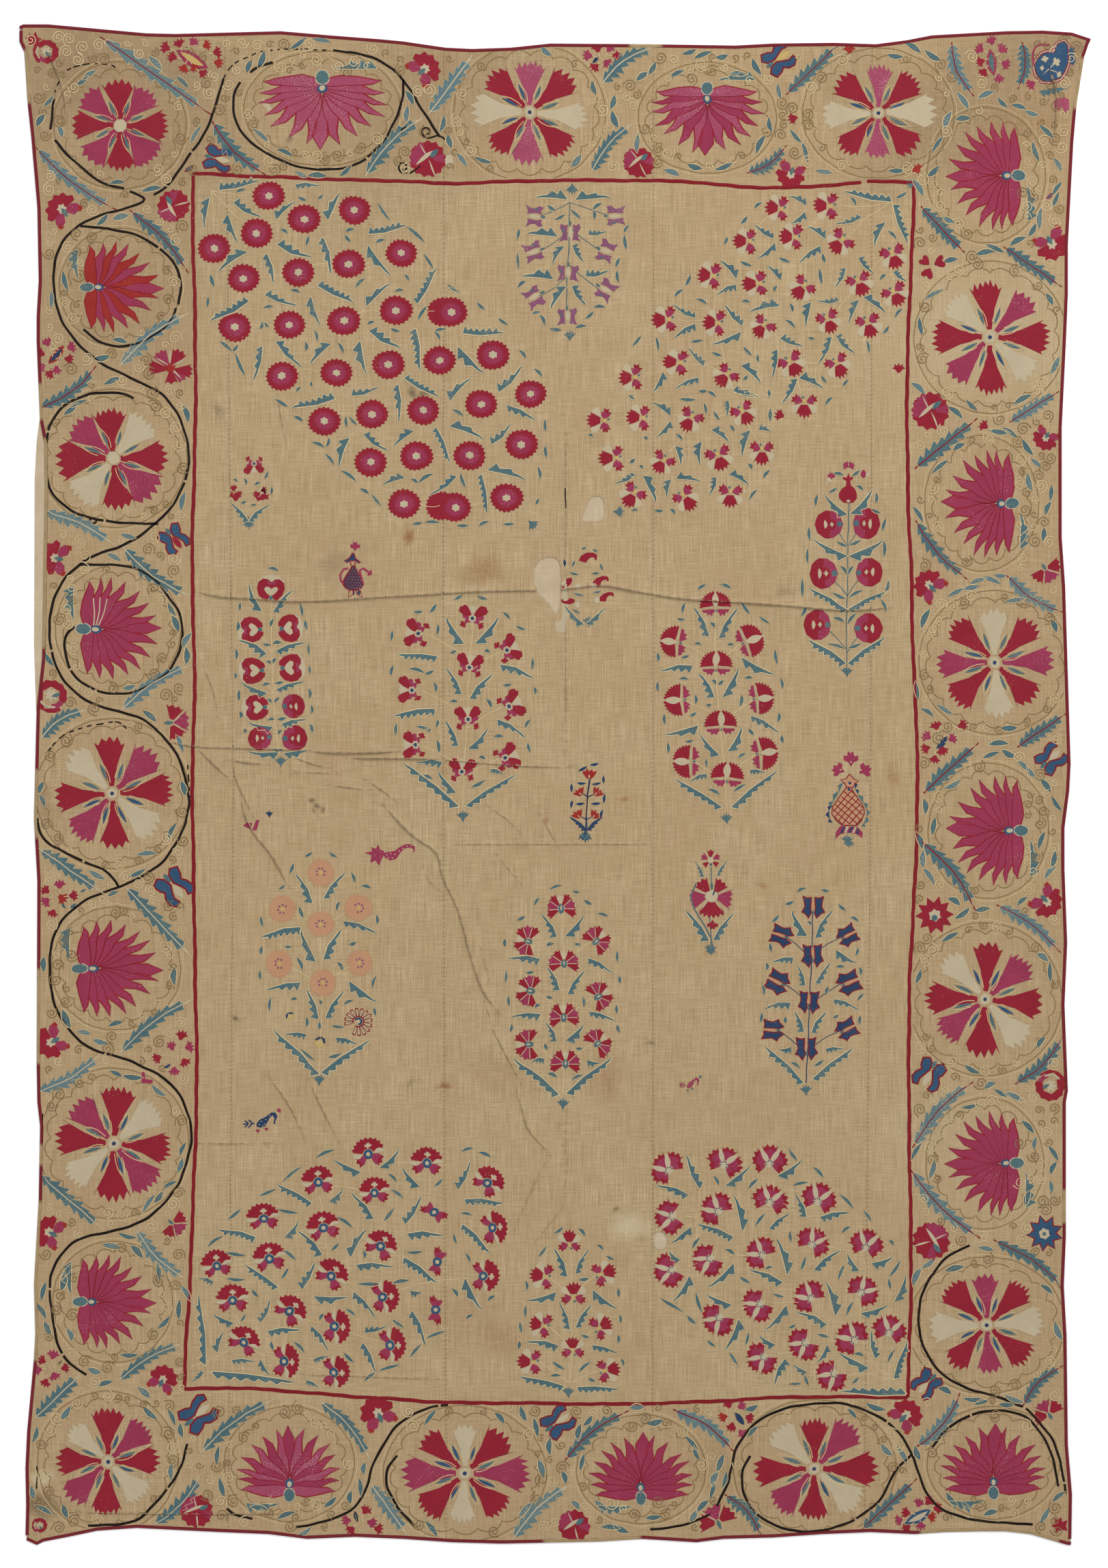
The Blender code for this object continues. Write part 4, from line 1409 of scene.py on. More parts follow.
carnation = motif(
    ("red", [sector(-84, 70, 7.5, 24, 9, 3.0, 0.95)]),
    ("magenta", turned(drawn("-3 5, 3 5, 7.5 13, 6 17, -6 17, -7 12"), 118, -122), 60),
    ("red", turned(drawn("-6.5 14.5, 6.5 15, 7 19, 3.5 17.5, 1 21.5, -2 18, -6.5 20"), 118, -122), 60, 0.2),
    (
        "cream",
        [
            moved(lens(18, 6, -2.5), 6.2 * s, 0.5, a) for s, a in ((1, 80), (-1, -95))
        ] + [moved(TREFOIL, 0, 11, 0, 0.7)],
        30, 0.4,
    ),
    ("blue", [disc(6.3, n=12)], 0, 0.6), ("cream", [disc(3.6, 6, 1.0)], 0, 1.4),
)
half_carnation = motif(
    ("magenta", turned(drawn("-4 4, 4 4, 8 10, 9 15, 3 14, -7 16, -8 10"), 118, -62), 60),
    ("red", turned(drawn("-8.5 11, -1 13, 1 17, -2 16, -4 21.5, -6 17, -9.5 19"), 118, -62), 60, 0.2),
    ("blue", [disc(6.6, n=12)], 0, 0.6),
    ("cream", [disc(3.8, 6, 1.0)], 0, 1.4),
)
pink = motif(
    (
        "magenta",
        [
            wedge(a, 5, 5, 19, w, 3, 1.5) for a, w in ((0, 17), (66, 18), (-66, 18))
        ] + wedges((112, -112), 5, 3, 14, 10, 2, 1),
    ),
    (
        "red",
        [
            wedge(a, 13.5, w * 0.8, 25, w + 4, 4, 4.0) for a, w in ((0, 17), (66, 18), (-66, 18))
        ] + wedges((112, -112), 11, 8, 20, 13, 3, 2.5),
        90, -0.3,
    ),
    ("cream", turned(lens(23, 7.5), 33, -33) + [disc(6.0, n=10)], 60, 0.5),
    (
        "navy",
        [
            disc(1.3, n=6, x=4.2 * math.sin(a), y=4.2 * math.cos(a))
            for a in (-1.9, -1.1, -0.35, 0.35, 1.1, 1.9)
        ],
        0, 1,
    ),
)
winged = motif(
    (
        "red",
        turned(drawn("-2.5 5, 2.5 4, 6 11, 8.5 19, 6.5 24, 3 23.5, 1 26, -3 24.5, -6.5 22, -6 13"), 46, -46),
    ),
    (
        "magenta",
        turned(drawn("-3 4, 3 3, 6 10, 7 14, 3 17, -4 14, -5 9"), 70, -70) + turned(lens(13, 8), 118, -118),
        60, -0.4,
    ),
    ("red", [moved(TREFOIL, 12.5 * s, -9.5, 118 * s, 0.75) for s in (1, -1)], 60, 0),
    ("cream", [wedge(0, 6, 3, 20, 19, 3, 2)], 90, -0.7), ("cream", [disc(6.5, 6, 1.2)], 0, 0.2),
    ("navy", [disc(4.3, 5, 1.9)], 0, 1),
)
pomegranate = motif(
    ("red", [sector(3, 100, 3, 24.5, 8, 3.0, 0.95), sector(-100, -3, 3, 24.5, 8, 3.0, 0.95)]),
    (
        "magenta",
        both(drawn("2.5 -5.5, 20.5 -6.5, 18.5 -11, 14.5 -11, 13 -16, 9.5 -13, 6.5 -16.5, 4.5 -12, 2 -9")),
        60,
    ),
    (
        "cream", [moved(lens(26, 11), 0, -4)] + [moved(lens(21, 2.2), s * 1, -4, s * 86) for s in (1, -1)],
        90, 0.5,
    ),
    ("teal", [moved(lens(6, 3), 0, -11)]),
)
fanned = motif(
    ("red", wedges((34, -34, 110, -110), 5, 3, 24, 13, 3, 3.5)),
    ("magenta", wedges((72, -72), 5, 3, 23, 14.5, 3, 3.0)),
    (
        "cream",
        [sector(20, 124, 4, 19, 5, 1.0), sector(-124, -20, 4, 19, 5, 1.0), wedge(0, 7, 3, 19, 14, 3, 2)],
        90, -0.7,
    ),
    ("teal", [disc(4.6, n=10, tall=1.5)], 0, 0.3), ("cream", [moved(lens(8, 3.4), 0, -3)], 0, 1.2),
)
BOOT = drawn("3.6 13.5, 9.5 12.6, 16 14.6, 14 6, 13.5 0, 18 -7.5, 13 -9.5, 7 -15.5, 3.4 -8.5, 4.6 0")
booted = motif(
    ("wine", [shrunk(r, -1.7) for r in both(BOOT)], 90, -0.3),
    ("navy", both(BOOT), 90, 0.3),
    ("peach", [moved(lens(19, 5.2), 0, -5)], 90, 0),
    ("teal", [moved(lens(8, 4), 0, -12)], 90, 0),
)
BOW = drawn("3.5 11.5, 8 10.5, 17 14, 13 7, 11.5 0, 16.5 -7, 14.5 -13.5, 9 -10.5, 3.8 -12.5, 5.5 -3")
iris = motif(
    ("purple", both(BOW), 90),
    ("cream", [moved(lens(20, 7), 0, -11)], 90, 0.2),
    ("teal", [moved(lens(8, 4.5), 0, -18), moved(lens(7, 4), 10, -6, 20)], 90, 0.3),
)
pompon = motif(
    ("peach", [disc(21.5, 24, 4.0)]),
    (
        "purple",
        [
            disc(1.9, n=6, x=6.2 * math.sin(a), y=6.2 * math.cos(a))
            for a in (-2.1, -1.25, -0.4, 0.4, 1.25, 2.1)
        ],
        0, 1,
    ),
    ("yellow", [disc(3.6, 5, 0.8)], 0, 0.8),
)
KIDNEY = drawn("""
    0 14, 5 18, 12 18.5, 18.5 13, 20 4, 17 -6, 10 -13, 4 -14, 3 -9, -3 -9, -4 -14, -10 -13, -17 -6, -20 4,
    -18.5 13, -12 18.5, -5 18
""")
kidney = motif(
    ("cream", [disc(19, 9, 1.5, tall=0.62, y=13)], 0, -0.8),
    ("red", [KIDNEY]),
    ("magenta", [drawn("-6 10, 6 10, 8 16, 0 14.5, -8 16")], 0, 0.8),
    ("cream", [drawn("0 -7, 6 -3, 10.5 3, 8 7.5, 3 7, 0 4.5, -3 7, -8 7.5, -10.5 3, -6 -3")], 0, 1),
    ("teal", [disc(3.4, n=8, y=-9)], 0, 1.5),
)
ball = motif(
    ("magenta", [disc(18.5, 10, 0.8)]),
    ("red", [sector(-98, 98, 4, 18.5, 5, 0.6), disc(8, n=9, y=-2)], 90, 0.3),
    ("cream", [moved(lens(13, 5.5, 1), -6.5, 5.5, 90), moved(TREFOIL, 0, -3.5, 180, 0.5)], 0, 1.2),
    ("teal", [disc(4.0, n=8, y=-14)], 0, 0.6),
)
bloom = motif(
    ("red", [sector(-92, 88, 5, 22, 6, 3.4, 1.05)]),
    ("magenta", turned(drawn("-2.5 4, 3 4, 7.5 12, 4 19, -4 19.5, -6.5 12"), 118, -122), 60),
    (
        "orange",
        [
            moved(TREFOIL, 19.5 * math.sin(math.radians(a)), 19.5 * math.cos(math.radians(a)), a, 0.55)
            for a in (124, -128)
        ],
        60, 0.3,
    ),
    ("cream", [disc(7.0, 6, 2.4, y=3)], 0, 0.6), ("teal", [moved(lens(13, 6), 0, -9)], 0, 1.2),
)
slit_bloom = motif(
    ("red", [disc(22, 13, 3.0)]),
    ("magenta", [sector(28, 122, 3, 22, 5, 3.0), sector(-152, -116, 6, 21, 2, 3.0)], 60, 0.4),
    (
        "cream",
        [
            moved(lens(30, 5.0, 1), 0, -14, 12), moved(lens(24, 2.6), 0, 0, -62),
            moved(lens(21, 2.2), 0, 0, 110),
        ],
        90, 0.9,
    ),
    ("teal", [moved(lens(15, 6.5), -2, -17, 6)], 0, 1.4),
)
three_wedges = motif(
    ("red", wedges((68, -68), 4, 5, 22, 23, 4, 3.4)),
    ("magenta", [wedge(0, 4, 5, 23, 24, 4, 3.4)]),
    ("cream", [moved(lens(14, 2.2), 0, 2, a) for a in (36, -36)], 0, 0),
    ("teal", [moved(lens(12, 4.5), 0, -8)], 0, 0.4),
)
five_wedges = motif(
    ("red", wedges((26, 96, -84), 4, 4, 27, 19, 4, 3.6) + [wedge(175, 2, 4, 19, 16, 3, 3)]),
    ("magenta", [wedge(-33, 4, 4, 27, 19, 4, 3.0), wedge(128, 6, 4, 22, 14, 3, 3)], 90),
    ("orange", [disc(6.5, 5, 2.0, y=2)], 0, 0.5),
    ("cream", [moved(lens(22, 2.4), 0, 4, a) for a in (-3, 62, -60, 142)], 0, 0.2),
)
WING = drawn("""
    2.6 -3, 4.2 -12, 9.5 -17, 16.5 -13, 14.5 -5, 11 0, 15.5 6, 17 14, 12.5 20, 7.5 18.5, 9 12, 6.5 5
""")
butterfly = motif(
    ("wine", [shrunk(r, -1.8) for r in both(WING)], 90, -0.3),
    ("blue", both(WING), 90, 0.3),
    ("slit", [moved(lens(22, 8.5), 0, -3)], 90, 0),
    ("teal", [moved(lens(13, 6), 0, -18)], 90, 0.2),
)
star_bloom = motif(
    ("red", [disc(23.5, 10, 8.5)]), ("cream", [disc(8, 6, 2)], 0, 0.8),
    ("teal", [disc(4, n=7, x=2, y=-2)], 0, 1.4),
)
ring_bloom = motif(
    ("red", [sector(-150, 95, 10.5, 19.5, 8, 1.6), sector(118, 235, 18, 21.5, 4, 0.8)]),
    ("magenta", [sector(95, 150, 11, 18, 3, 1.5)], 0, 0.4),
    ("cream", [disc(10, 7, 4.6), sector(130, 215, 13.5, 16, 4, 0.5)], 0, 0.9),
    ("teal", [moved(lens(12, 5), 1, -2, 40)], 0, 1.6),
)
navy_star = motif(
    ("wine", [disc(25, 9, 9.0)], 0, -0.4), ("blue", [disc(23, 9, 9.2)], 0, 0.2),
    ("cream", [disc(8, 6, 1.5)], 0, 1), ("teal", [disc(3, n=6)], 0, 1.6),
)
heart = motif(("red", [drawn("0 -9, 6 -3, 9 3, 7.5 7, 3.5 7.5, 0 4, -3.5 7.5, -7.5 7, -9 3, -6 -3")], 0, 2))
daisy = motif(
    ("wine", [wedge(a, 6, 3, 20, 5, 2, 0.5) for a in np.arange(-150, 151, 23)], 90, -0.2),
    ("cream", [wedge(a, 7.5, 1.8, 18.4, 3.4, 2, 0.3) for a in np.arange(-150, 151, 23)], 90, 0.5),
    ("navy", [sector(-120, 120, 3.4, 6, 4, 0.8)]), ("cream", [disc(3.2, n=7)], 0, 0.4),
)
arrow = motif(("teal", [ARROW]))

# Plain leaves, and half leaves with thorns on the left or the right.
plain = [
    motif(
        ("teal", [lens(20, 5.0, b)], 70),
        ("straw", couched_shape([lens(21.5, 6.2, b, 3) - (0, 0.7)], 1.0, 3, closed=True)),
    )
    for b in (0.8, -1.6)
]
halves = [
    motif(("teal", [ring], 60), ("straw", couched_shape([ring], 1.4, 3, closed=True)))
    for ring in (
        *(
            thorny_leaf(50, n, side, side * bend, k + 20)
            for k, (n, side, bend) in enumerate(((3, -1, -2.5), (3, 1, -2.5), (2, -1, 2.0), (2, 1, 2.0)))
        ),
        *(thorny_leaf(50, 6, side, side * -1.5, k + 30, 0.84, 0.19) for k, side in enumerate((-1, 1))),
    )
]


# ---------------------------------------------------------------- field

# Half-toothed leaves of the field, with the side of the teeth seen from the foot, 1 left or -1 right.
LEAF = "foot_x foot_y tip_x tip_y side"
LEAVES = []
# top left corner
LEAVES += table(LEAF, """
    321 278 382 265 1, 308 290 300 335 -1, 342 298 384 319 1, 334 314 350 356 -1, 432 270 470 272 -1,
    405 322 434 296 1, 482 322 500 281 1, 541 344 598 330 1, 540 360 575 404 -1, 612 445 640 390 1,
    538 449 574 414 1, 406 360 459 378 1, 392 372 402 418 -1, 474 348 485 404 -1, 362 370 319 400 -1,
    365 442 305 471 -1, 388 432 436 449 1, 456 435 471 479 -1, 466 419 521 444 1, 385 508 371 559 -1,
    404 502 444 540 1, 485 504 454 536 -1, 528 500 538 550 -1, 541 486 589 511 1, 609 482 616 545 -1,
    490 584 426 598 -1, 516 580 556 567 1, 533 638 570 661 1, 512 642 497 685 -1
""")
# top right corner
LEAVES += table(LEAF, """
    1305 296 1234 281 -1, 1308 301 1330 359 1, 1296 327 1281 362 -1, 1262 320 1223 329 -1,
    1180 301 1155 288 -1, 1178 311 1158 328 1, 1132 350 1104 328 -1, 1134 356 1108 379 1,
    1208 351 1181 332 -1, 1200 361 1170 386 1, 1078 409 1053 381 -1, 1077 417 1049 432 1,
    1143 411 1122 389 -1, 1257 379 1280 402 1, 1239 394 1223 421 -1, 1309 400 1327 412 1,
    1018 466 984 446 -1, 1018 475 986 496 1, 1086 477 1061 446 -1, 1084 486 1041 504 1,
    1141 448 1097 458 -1, 1188 443 1182 478 -1, 1228 442 1197 442 -1, 1259 440 1243 475 -1,
    1265 436 1297 461 1, 1030 536 1008 508 -1, 970 546 955 574 1, 1022 552 988 570 1, 1139 513 1131 554 -1,
    1143 496 1177 508 1, 1218 494 1199 534 -1, 1224 493 1253 519 1, 1086 536 1115 563 1,
    1168 556 1145 592 -1, 1170 555 1207 570 1, 1072 574 1114 584 1
""")
# bottom left corner
LEAVES += table(LEAF, """
    528 1715 489 1697 1, 556 1709 586 1681 -1, 457 1761 404 1733 1, 482 1758 503 1741 -1,
    615 1737 590 1708 1, 672 1741 690 1699 1, 681 1756 739 1761 -1, 375 1811 318 1799 1,
    417 1811 436 1787 -1, 472 1836 436 1801 1, 514 1841 539 1798 1, 547 1784 514 1745 1,
    594 1792 618 1751 1, 597 1806 651 1808 -1, 679 1792 719 1836 -1, 407 1884 357 1851 1,
    443 1887 462 1847 1, 522 1851 578 1855 -1, 593 1841 642 1880 -1, 461 1898 511 1898 -1,
    519 1891 551 1931 -1, 682 1872 707 1919 -1, 342 1936 312 1923 1, 383 1936 396 1902 1,
    392 1948 442 1947 -1, 457 1941 483 1979 -1, 319 1980 329 1949 1, 311 2008 436 2024 -1,
    340 1991 374 1994 -1, 383 1991 397 2013 -1, 533 1966 551 2011 -1, 604 1919 624 1972 -1,
    459 1990 481 1986 -1, 535 1951 567 1941 1, 450 2020 467 2031 -1, 601 1890 619 1891 -1,
    302 1997 291 1890 1, 299 2010 280 2023 -1, 313 1876 290 1872 1
""")
# bottom right corner
LEAVES += table(LEAF, """
    1024 1740 1005 1688 -1, 1008 1748 960 1735 1, 1062 1735 1099 1705 -1, 1139 1721 1175 1698 -1,
    1086 1801 1074 1748 -1, 1074 1810 1019 1791 1, 1011 1796 981 1820 1, 1181 1781 1164 1748 1,
    1202 1782 1245 1775 -1, 1126 1798 1158 1775 -1, 1152 1865 1135 1812 -1, 1146 1876 1096 1859 1,
    1074 1850 1035 1885 1, 1192 1858 1232 1829 -1, 1258 1860 1241 1834 1, 1276 1850 1308 1839 -1,
    996 1844 980 1831 1, 1009 1868 985 1906 1, 1222 1926 1208 1875 -1, 1211 1938 1165 1920 1,
    1151 1911 1119 1948 1, 1071 1909 1034 1894 1, 1261 1922 1302 1909 -1, 1310 1905 1326 1866 -1,
    1282 1989 1276 1948 -1, 1272 2002 1228 1978 1, 1309 2018 1330 1962 -1, 1135 1968 1112 1954 1,
    1081 1932 1061 1978 1, 1211 1970 1195 1995 1, 1149 1990 1134 2028 1, 1182 2008 1161 1996 1,
    1325 2041 1228 2037 -1
""")
# butterfly spray
LEAVES += table(LEAF, """
    680 942 654 902 1, 696 942 730 902 -1, 676 1016 653 977 1, 688 1022 722 987 -1, 672 1092 652 1054 1,
    686 1096 716 1064 -1, 668 1160 642 1128 1, 640 961 581 958 1, 734 973 783 993 -1, 637 1037 574 1049 1,
    729 1053 771 1080 -1, 647 1116 608 1117 1, 719 1126 738 1134 -1, 671 1179 587 1114 1,
    682 1179 758 1132 -1
""")
# iris spray
LEAVES += table(LEAF, """
    831 292 783 291 -1, 844 293 897 291 1, 816 347 769 344 -1, 862 344 889 340 1, 826 362 810 388 -1,
    838 360 855 384 1, 810 409 764 406 -1, 858 406 892 397 1, 830 421 806 454 -1, 838 420 859 449 1
""")
# pompon spray
LEAVES += table(LEAF, """
    458 1321 433 1278 1, 474 1315 506 1277 -1, 440 1357 381 1372 1, 463 1407 440 1358 1,
    474 1404 500 1360 -1, 504 1348 554 1367 -1, 440 1439 389 1450 1, 467 1491 449 1447 1,
    476 1490 505 1450 -1, 512 1436 555 1467 -1, 448 1514 417 1514 1, 492 1519 525 1529 -1,
    467 1572 398 1505 1, 471 1570 545 1520 -1
""")
# heart spray
LEAVES += table(LEAF, """
    384 895 365 854 1, 400 896 430 863 -1, 390 956 349 936 1, 405 952 448 940 -1, 391 1014 352 998 1,
    404 1009 448 998 -1, 400 1064 363 1057 1, 413 1060 450 1054 -1, 408 1101 363 1100 1,
    416 1102 452 1097 -1
""")
# pomegranate spray
LEAVES += table(LEAF, """
    1039 931 1016 887 1, 1052 935 1081 889 -1, 1046 1020 1022 985 1, 1058 1020 1081 976 -1,
    1054 1105 1025 1074 1, 1066 1099 1087 1063 -1, 1014 974 965 983 1, 1087 963 1137 988 -1,
    1022 1062 972 1075 1, 1100 1048 1142 1073 -1, 1034 1133 1010 1145 1, 1099 1127 1121 1131 -1,
    1056 1181 985 1139 1, 1072 1181 1141 1126 -1
""")
# fan spray
LEAVES += table(LEAF, """
    816 1371 792 1338 1, 828 1371 855 1338 -1, 820 1449 801 1415 1, 831 1455 857 1420 -1,
    815 1524 799 1496 1, 829 1523 855 1499 -1, 791 1403 744 1404 1, 862 1403 898 1425 -1,
    791 1485 747 1489 1, 863 1481 901 1495 -1, 797 1549 778 1555 1, 860 1552 879 1555 -1,
    819 1602 750 1548 1, 830 1600 899 1546 -1
""")
# blue spray
LEAVES += table(LEAF, """
    1182 1370 1160 1331 1, 1194 1372 1219 1332 -1, 1180 1442 1168 1413 1, 1194 1440 1218 1408 -1,
    1177 1511 1163 1480 1, 1188 1511 1211 1481 -1, 1162 1402 1130 1408 1, 1225 1391 1255 1409 -1,
    1157 1468 1118 1477 1, 1221 1462 1259 1479 -1, 1159 1532 1140 1536 1, 1210 1536 1236 1536 -1,
    1177 1584 1118 1530 1, 1190 1579 1251 1533 -1
""")
# bottom tulip spray
LEAVES += table(LEAF, """
    831 1868 811 1825 1, 842 1863 863 1829 -1, 835 1946 819 1905 1, 844 1943 867 1908 -1,
    814 1892 770 1904 1, 869 1888 905 1916 -1, 818 1969 770 1964 1, 868 1970 905 1981 -1,
    826 2029 759 2015 1, 846 2031 908 2033 -1
""")
# tall disc spray
LEAVES += table(LEAF, """
    1241 753 1208 724 1, 1245 752 1278 716 -1, 1241 814 1191 789 1, 1244 814 1295 790 -1,
    1240 892 1182 860 1, 1242 892 1301 864 -1, 1238 970 1183 936 1, 1242 970 1299 932 -1
""")
# top left corner, inner end
LEAVES += table(LEAF, """
    678 489 740 487 1, 672 508 710 546 -1, 659 588 691 554 1, 592 555 645 582 1, 584 564 585 620 -1,
    732 574 766 536 1, 744 594 785 616 -1, 659 625 710 644 1, 640 626 661 682 -1, 721 651 750 620 1,
    715 689 771 704 1, 706 695 714 755 -1, 669 698 629 726 -1, 606 632 576 655 -1, 592 701 560 711 -1
""")
# top right corner, inner end
LEAVES += table(LEAF, """
    981 609 954 590 -1, 981 617 961 640 1, 1073 572 1113 583 1, 1067 587 1065 611 -1, 1042 630 1068 650 1,
    989 654 996 682 1, 1028 647 1026 682 -1, 1099 631 1088 670 -1, 1111 630 1130 634 1, 991 701 1027 706 1,
    942 698 961 738 1, 983 702 977 730 -1, 930 696 900 709 -1, 1050 700 1039 726 -1, 1068 696 1098 711 1
""")

# Small plain leaves of the field, from end to end.
BLADE = "x0 y0 x1 y1"
BLADES = []
# top left corner
BLADES += table(BLADE, """
    552 296 572 324, 595 332 622 356, 620 372 634 395, 346 282 361 278, 436 289 449 294, 466 292 474 286,
    410 335 422 342, 448 360 452 345, 505 340 519 335, 505 344 514 355, 550 356 564 351, 308 402 315 420,
    304 451 305 435, 385 451 400 450, 425 424 439 429, 460 484 464 500, 448 500 448 514, 495 502 504 518,
    381 482 386 471, 386 472 394 479, 539 475 549 471, 571 482 586 485, 578 428 591 426, 592 402 599 412,
    655 416 674 428, 521 422 535 408, 321 500 341 515, 341 515 349 504, 344 516 360 551, 403 584 423 596,
    430 610 444 618, 506 610 508 626, 511 610 523 622, 434 574 441 567, 456 559 458 566, 499 689 523 706,
    456 647 475 656, 476 665 489 681, 482 640 477 655, 527 715 541 724, 544 724 558 741
""")
# top right corner
BLADES += table(BLADE, """
    1105 306 1116 297, 1084 328 1095 317, 1061 359 1066 347, 1004 419 1011 402, 988 436 1001 424,
    1085 382 1101 390, 1141 378 1157 384, 1204 371 1209 385, 1019 438 1036 446, 1086 442 1099 444,
    1157 444 1161 458, 926 508 939 490, 961 493 964 515, 1012 500 1030 498, 1042 516 1057 521,
    1089 508 1101 521, 1150 469 1165 481, 1293 489 1301 477, 1311 465 1322 452, 1269 498 1272 519,
    1289 411 1299 402, 1134 429 1138 419, 1109 519 1111 531, 1184 494 1193 497, 1300 338 1312 351,
    1246 289 1254 301, 1203 550 1211 561, 1209 594 1220 582, 1234 567 1243 556, 995 585 1019 585,
    1036 574 1049 581, 919 579 928 585, 1126 569 1127 582, 1089 556 1095 550, 1200 393 1205 417,
    1312 290 1328 281
""")
# bottom left corner
BLADES += table(BLADE, """
    462 1695 492 1683, 412 1731 444 1708, 379 1751 406 1741, 333 1786 354 1769, 303 1827 328 1809,
    407 1770 438 1777, 492 1781 517 1799, 485 1831 497 1819, 562 1787 578 1769, 635 1738 649 1726,
    572 1741 590 1755, 568 1719 581 1731, 675 1777 692 1779, 664 1806 669 1822, 681 1834 689 1849,
    596 1833 619 1833, 532 1831 535 1842, 331 1833 360 1838, 414 1831 435 1845, 412 1873 422 1855,
    332 1872 360 1873, 353 1934 360 1924, 368 1888 379 1899, 469 1933 475 1923, 506 1916 521 1927,
    397 1963 400 1977, 431 1965 446 1980, 503 1980 518 1995, 522 1880 560 1879, 574 1879 600 1874,
    575 1931 592 1944, 624 1959 653 1949, 601 1988 617 1968, 554 2008 586 1999, 533 2023 550 2011,
    662 1886 671 1899, 683 1931 693 1924, 675 1686 694 1681, 701 1686 719 1695, 715 1905 726 1897
""")
# bottom right corner
BLADES += table(BLADE, """
    1155 1680 1168 1701, 1045 1721 1052 1736, 1190 1708 1206 1725, 1096 1741 1110 1726, 1160 1736 1184 1731,
    1229 1748 1250 1770, 1264 1772 1276 1789, 1106 1796 1121 1776, 1158 1802 1159 1818, 1232 1806 1245 1796,
    1301 1815 1308 1824, 1014 1828 1026 1812, 1062 1829 1076 1838, 1121 1858 1132 1856, 1172 1860 1181 1840,
    1228 1875 1238 1852, 1302 1871 1318 1845, 1302 1872 1305 1889, 1084 1869 1099 1879, 1132 1894 1149 1899,
    1239 1926 1251 1906, 966 1899 1001 1921, 1006 1925 1020 1938, 1018 1892 1028 1922, 1035 1962 1048 1971,
    1068 1980 1082 1998, 1092 1970 1096 1950, 1155 1944 1166 1940, 1196 1952 1214 1958, 1248 2025 1258 2015,
    1155 2026 1174 2026, 1301 1994 1310 1976, 1178 2012 1185 2029, 1250 1982 1265 1985
""")
# butterfly spray
BLADES += table(BLADE, """
    664 878 678 871, 699 872 714 877, 606 896 619 896, 629 897 640 884, 573 939 574 923, 639 931 642 914,
    736 896 748 907, 756 917 770 922, 659 956 669 953, 709 954 718 955, 779 981 781 964, 598 979 622 986,
    622 987 636 982, 573 990 577 974, 636 998 639 1014, 737 1002 750 1002, 781 1006 784 1017,
    659 1028 670 1027, 712 1023 720 1037, 639 1066 641 1053, 770 1066 778 1053, 610 1063 630 1067,
    626 1071 630 1066, 580 1077 581 1059, 639 1083 643 1103, 723 1079 737 1079, 774 1087 777 1103,
    701 1108 710 1112, 618 1136 634 1140, 690 1153 711 1142
""")
# iris spray
BLADES += table(BLADE, """
    801 300 814 309, 836 307 852 321, 812 323 828 314, 867 308 882 299, 868 308 870 322, 758 352 760 334,
    759 369 760 396, 757 422 771 411, 921 330 914 342, 915 344 918 366, 909 378 901 393, 903 396 906 414,
    869 450 887 451, 857 467 869 456, 779 460 792 457, 791 460 799 477, 805 482 823 483, 842 481 860 477
""")
# pompon spray
BLADES += table(BLADE, """
    446 1254 458 1248, 482 1247 494 1255, 425 1279 430 1264, 408 1303 417 1295, 514 1277 520 1292,
    529 1297 544 1302, 382 1341 385 1358, 438 1327 446 1345, 493 1334 499 1320, 552 1340 552 1354,
    383 1385 383 1397, 417 1385 427 1386, 512 1383 523 1379, 381 1421 383 1434, 435 1402 443 1420,
    494 1409 502 1422, 546 1447 552 1428, 395 1480 398 1461, 426 1463 436 1463, 467 1465 471 1472,
    504 1471 518 1465, 548 1475 551 1488, 449 1489 449 1504, 469 1495 470 1507, 485 1502 505 1504,
    439 1536 461 1552, 481 1548 500 1542
""")
# heart spray
BLADES += table(BLADE, """
    392 832 409 837, 352 882 351 894, 444 904 439 882, 349 910 347 924, 448 908 450 922, 345 950 346 966,
    453 942 453 960, 343 984 344 994, 454 974 454 986, 350 1010 350 1026, 452 1008 453 1023,
    351 1042 352 1052, 456 1032 456 1046, 358 1066 358 1073, 454 1060 458 1072, 397 918 401 906,
    385 943 397 945, 400 943 413 941, 390 968 397 973, 400 972 406 964, 384 1004 396 1001, 402 1000 416 998,
    392 1024 398 1029, 401 1028 409 1021, 393 1054 403 1053, 406 1053 419 1051, 408 1076 413 1070,
    398 1097 416 1097
""")
# pomegranate spray
BLADES += table(BLADE, """
    1021 864 1034 857, 1055 855 1071 862, 999 898 1004 883, 992 906 1003 908, 1085 881 1098 899,
    1112 902 1128 914, 1040 911 1047 919, 1017 943 1028 945, 1065 945 1075 944, 998 963 1009 960,
    962 955 963 969, 1135 951 1139 973, 964 998 964 1013, 1143 992 1145 1010, 995 994 1009 995,
    1090 993 1103 993, 1042 996 1049 1002, 1052 1002 1060 996, 1018 1017 1019 1030, 1085 1017 1084 1035,
    1034 1032 1042 1033, 1009 1049 1021 1043, 973 1045 975 1061, 1140 1044 1140 1058, 1003 1085 1015 1084,
    978 1086 978 1104, 1145 1076 1148 1088, 1096 1067 1104 1076, 1080 1111 1093 1104, 1034 1110 1035 1123,
    1036 1155 1055 1163, 1075 1160 1092 1148
""")
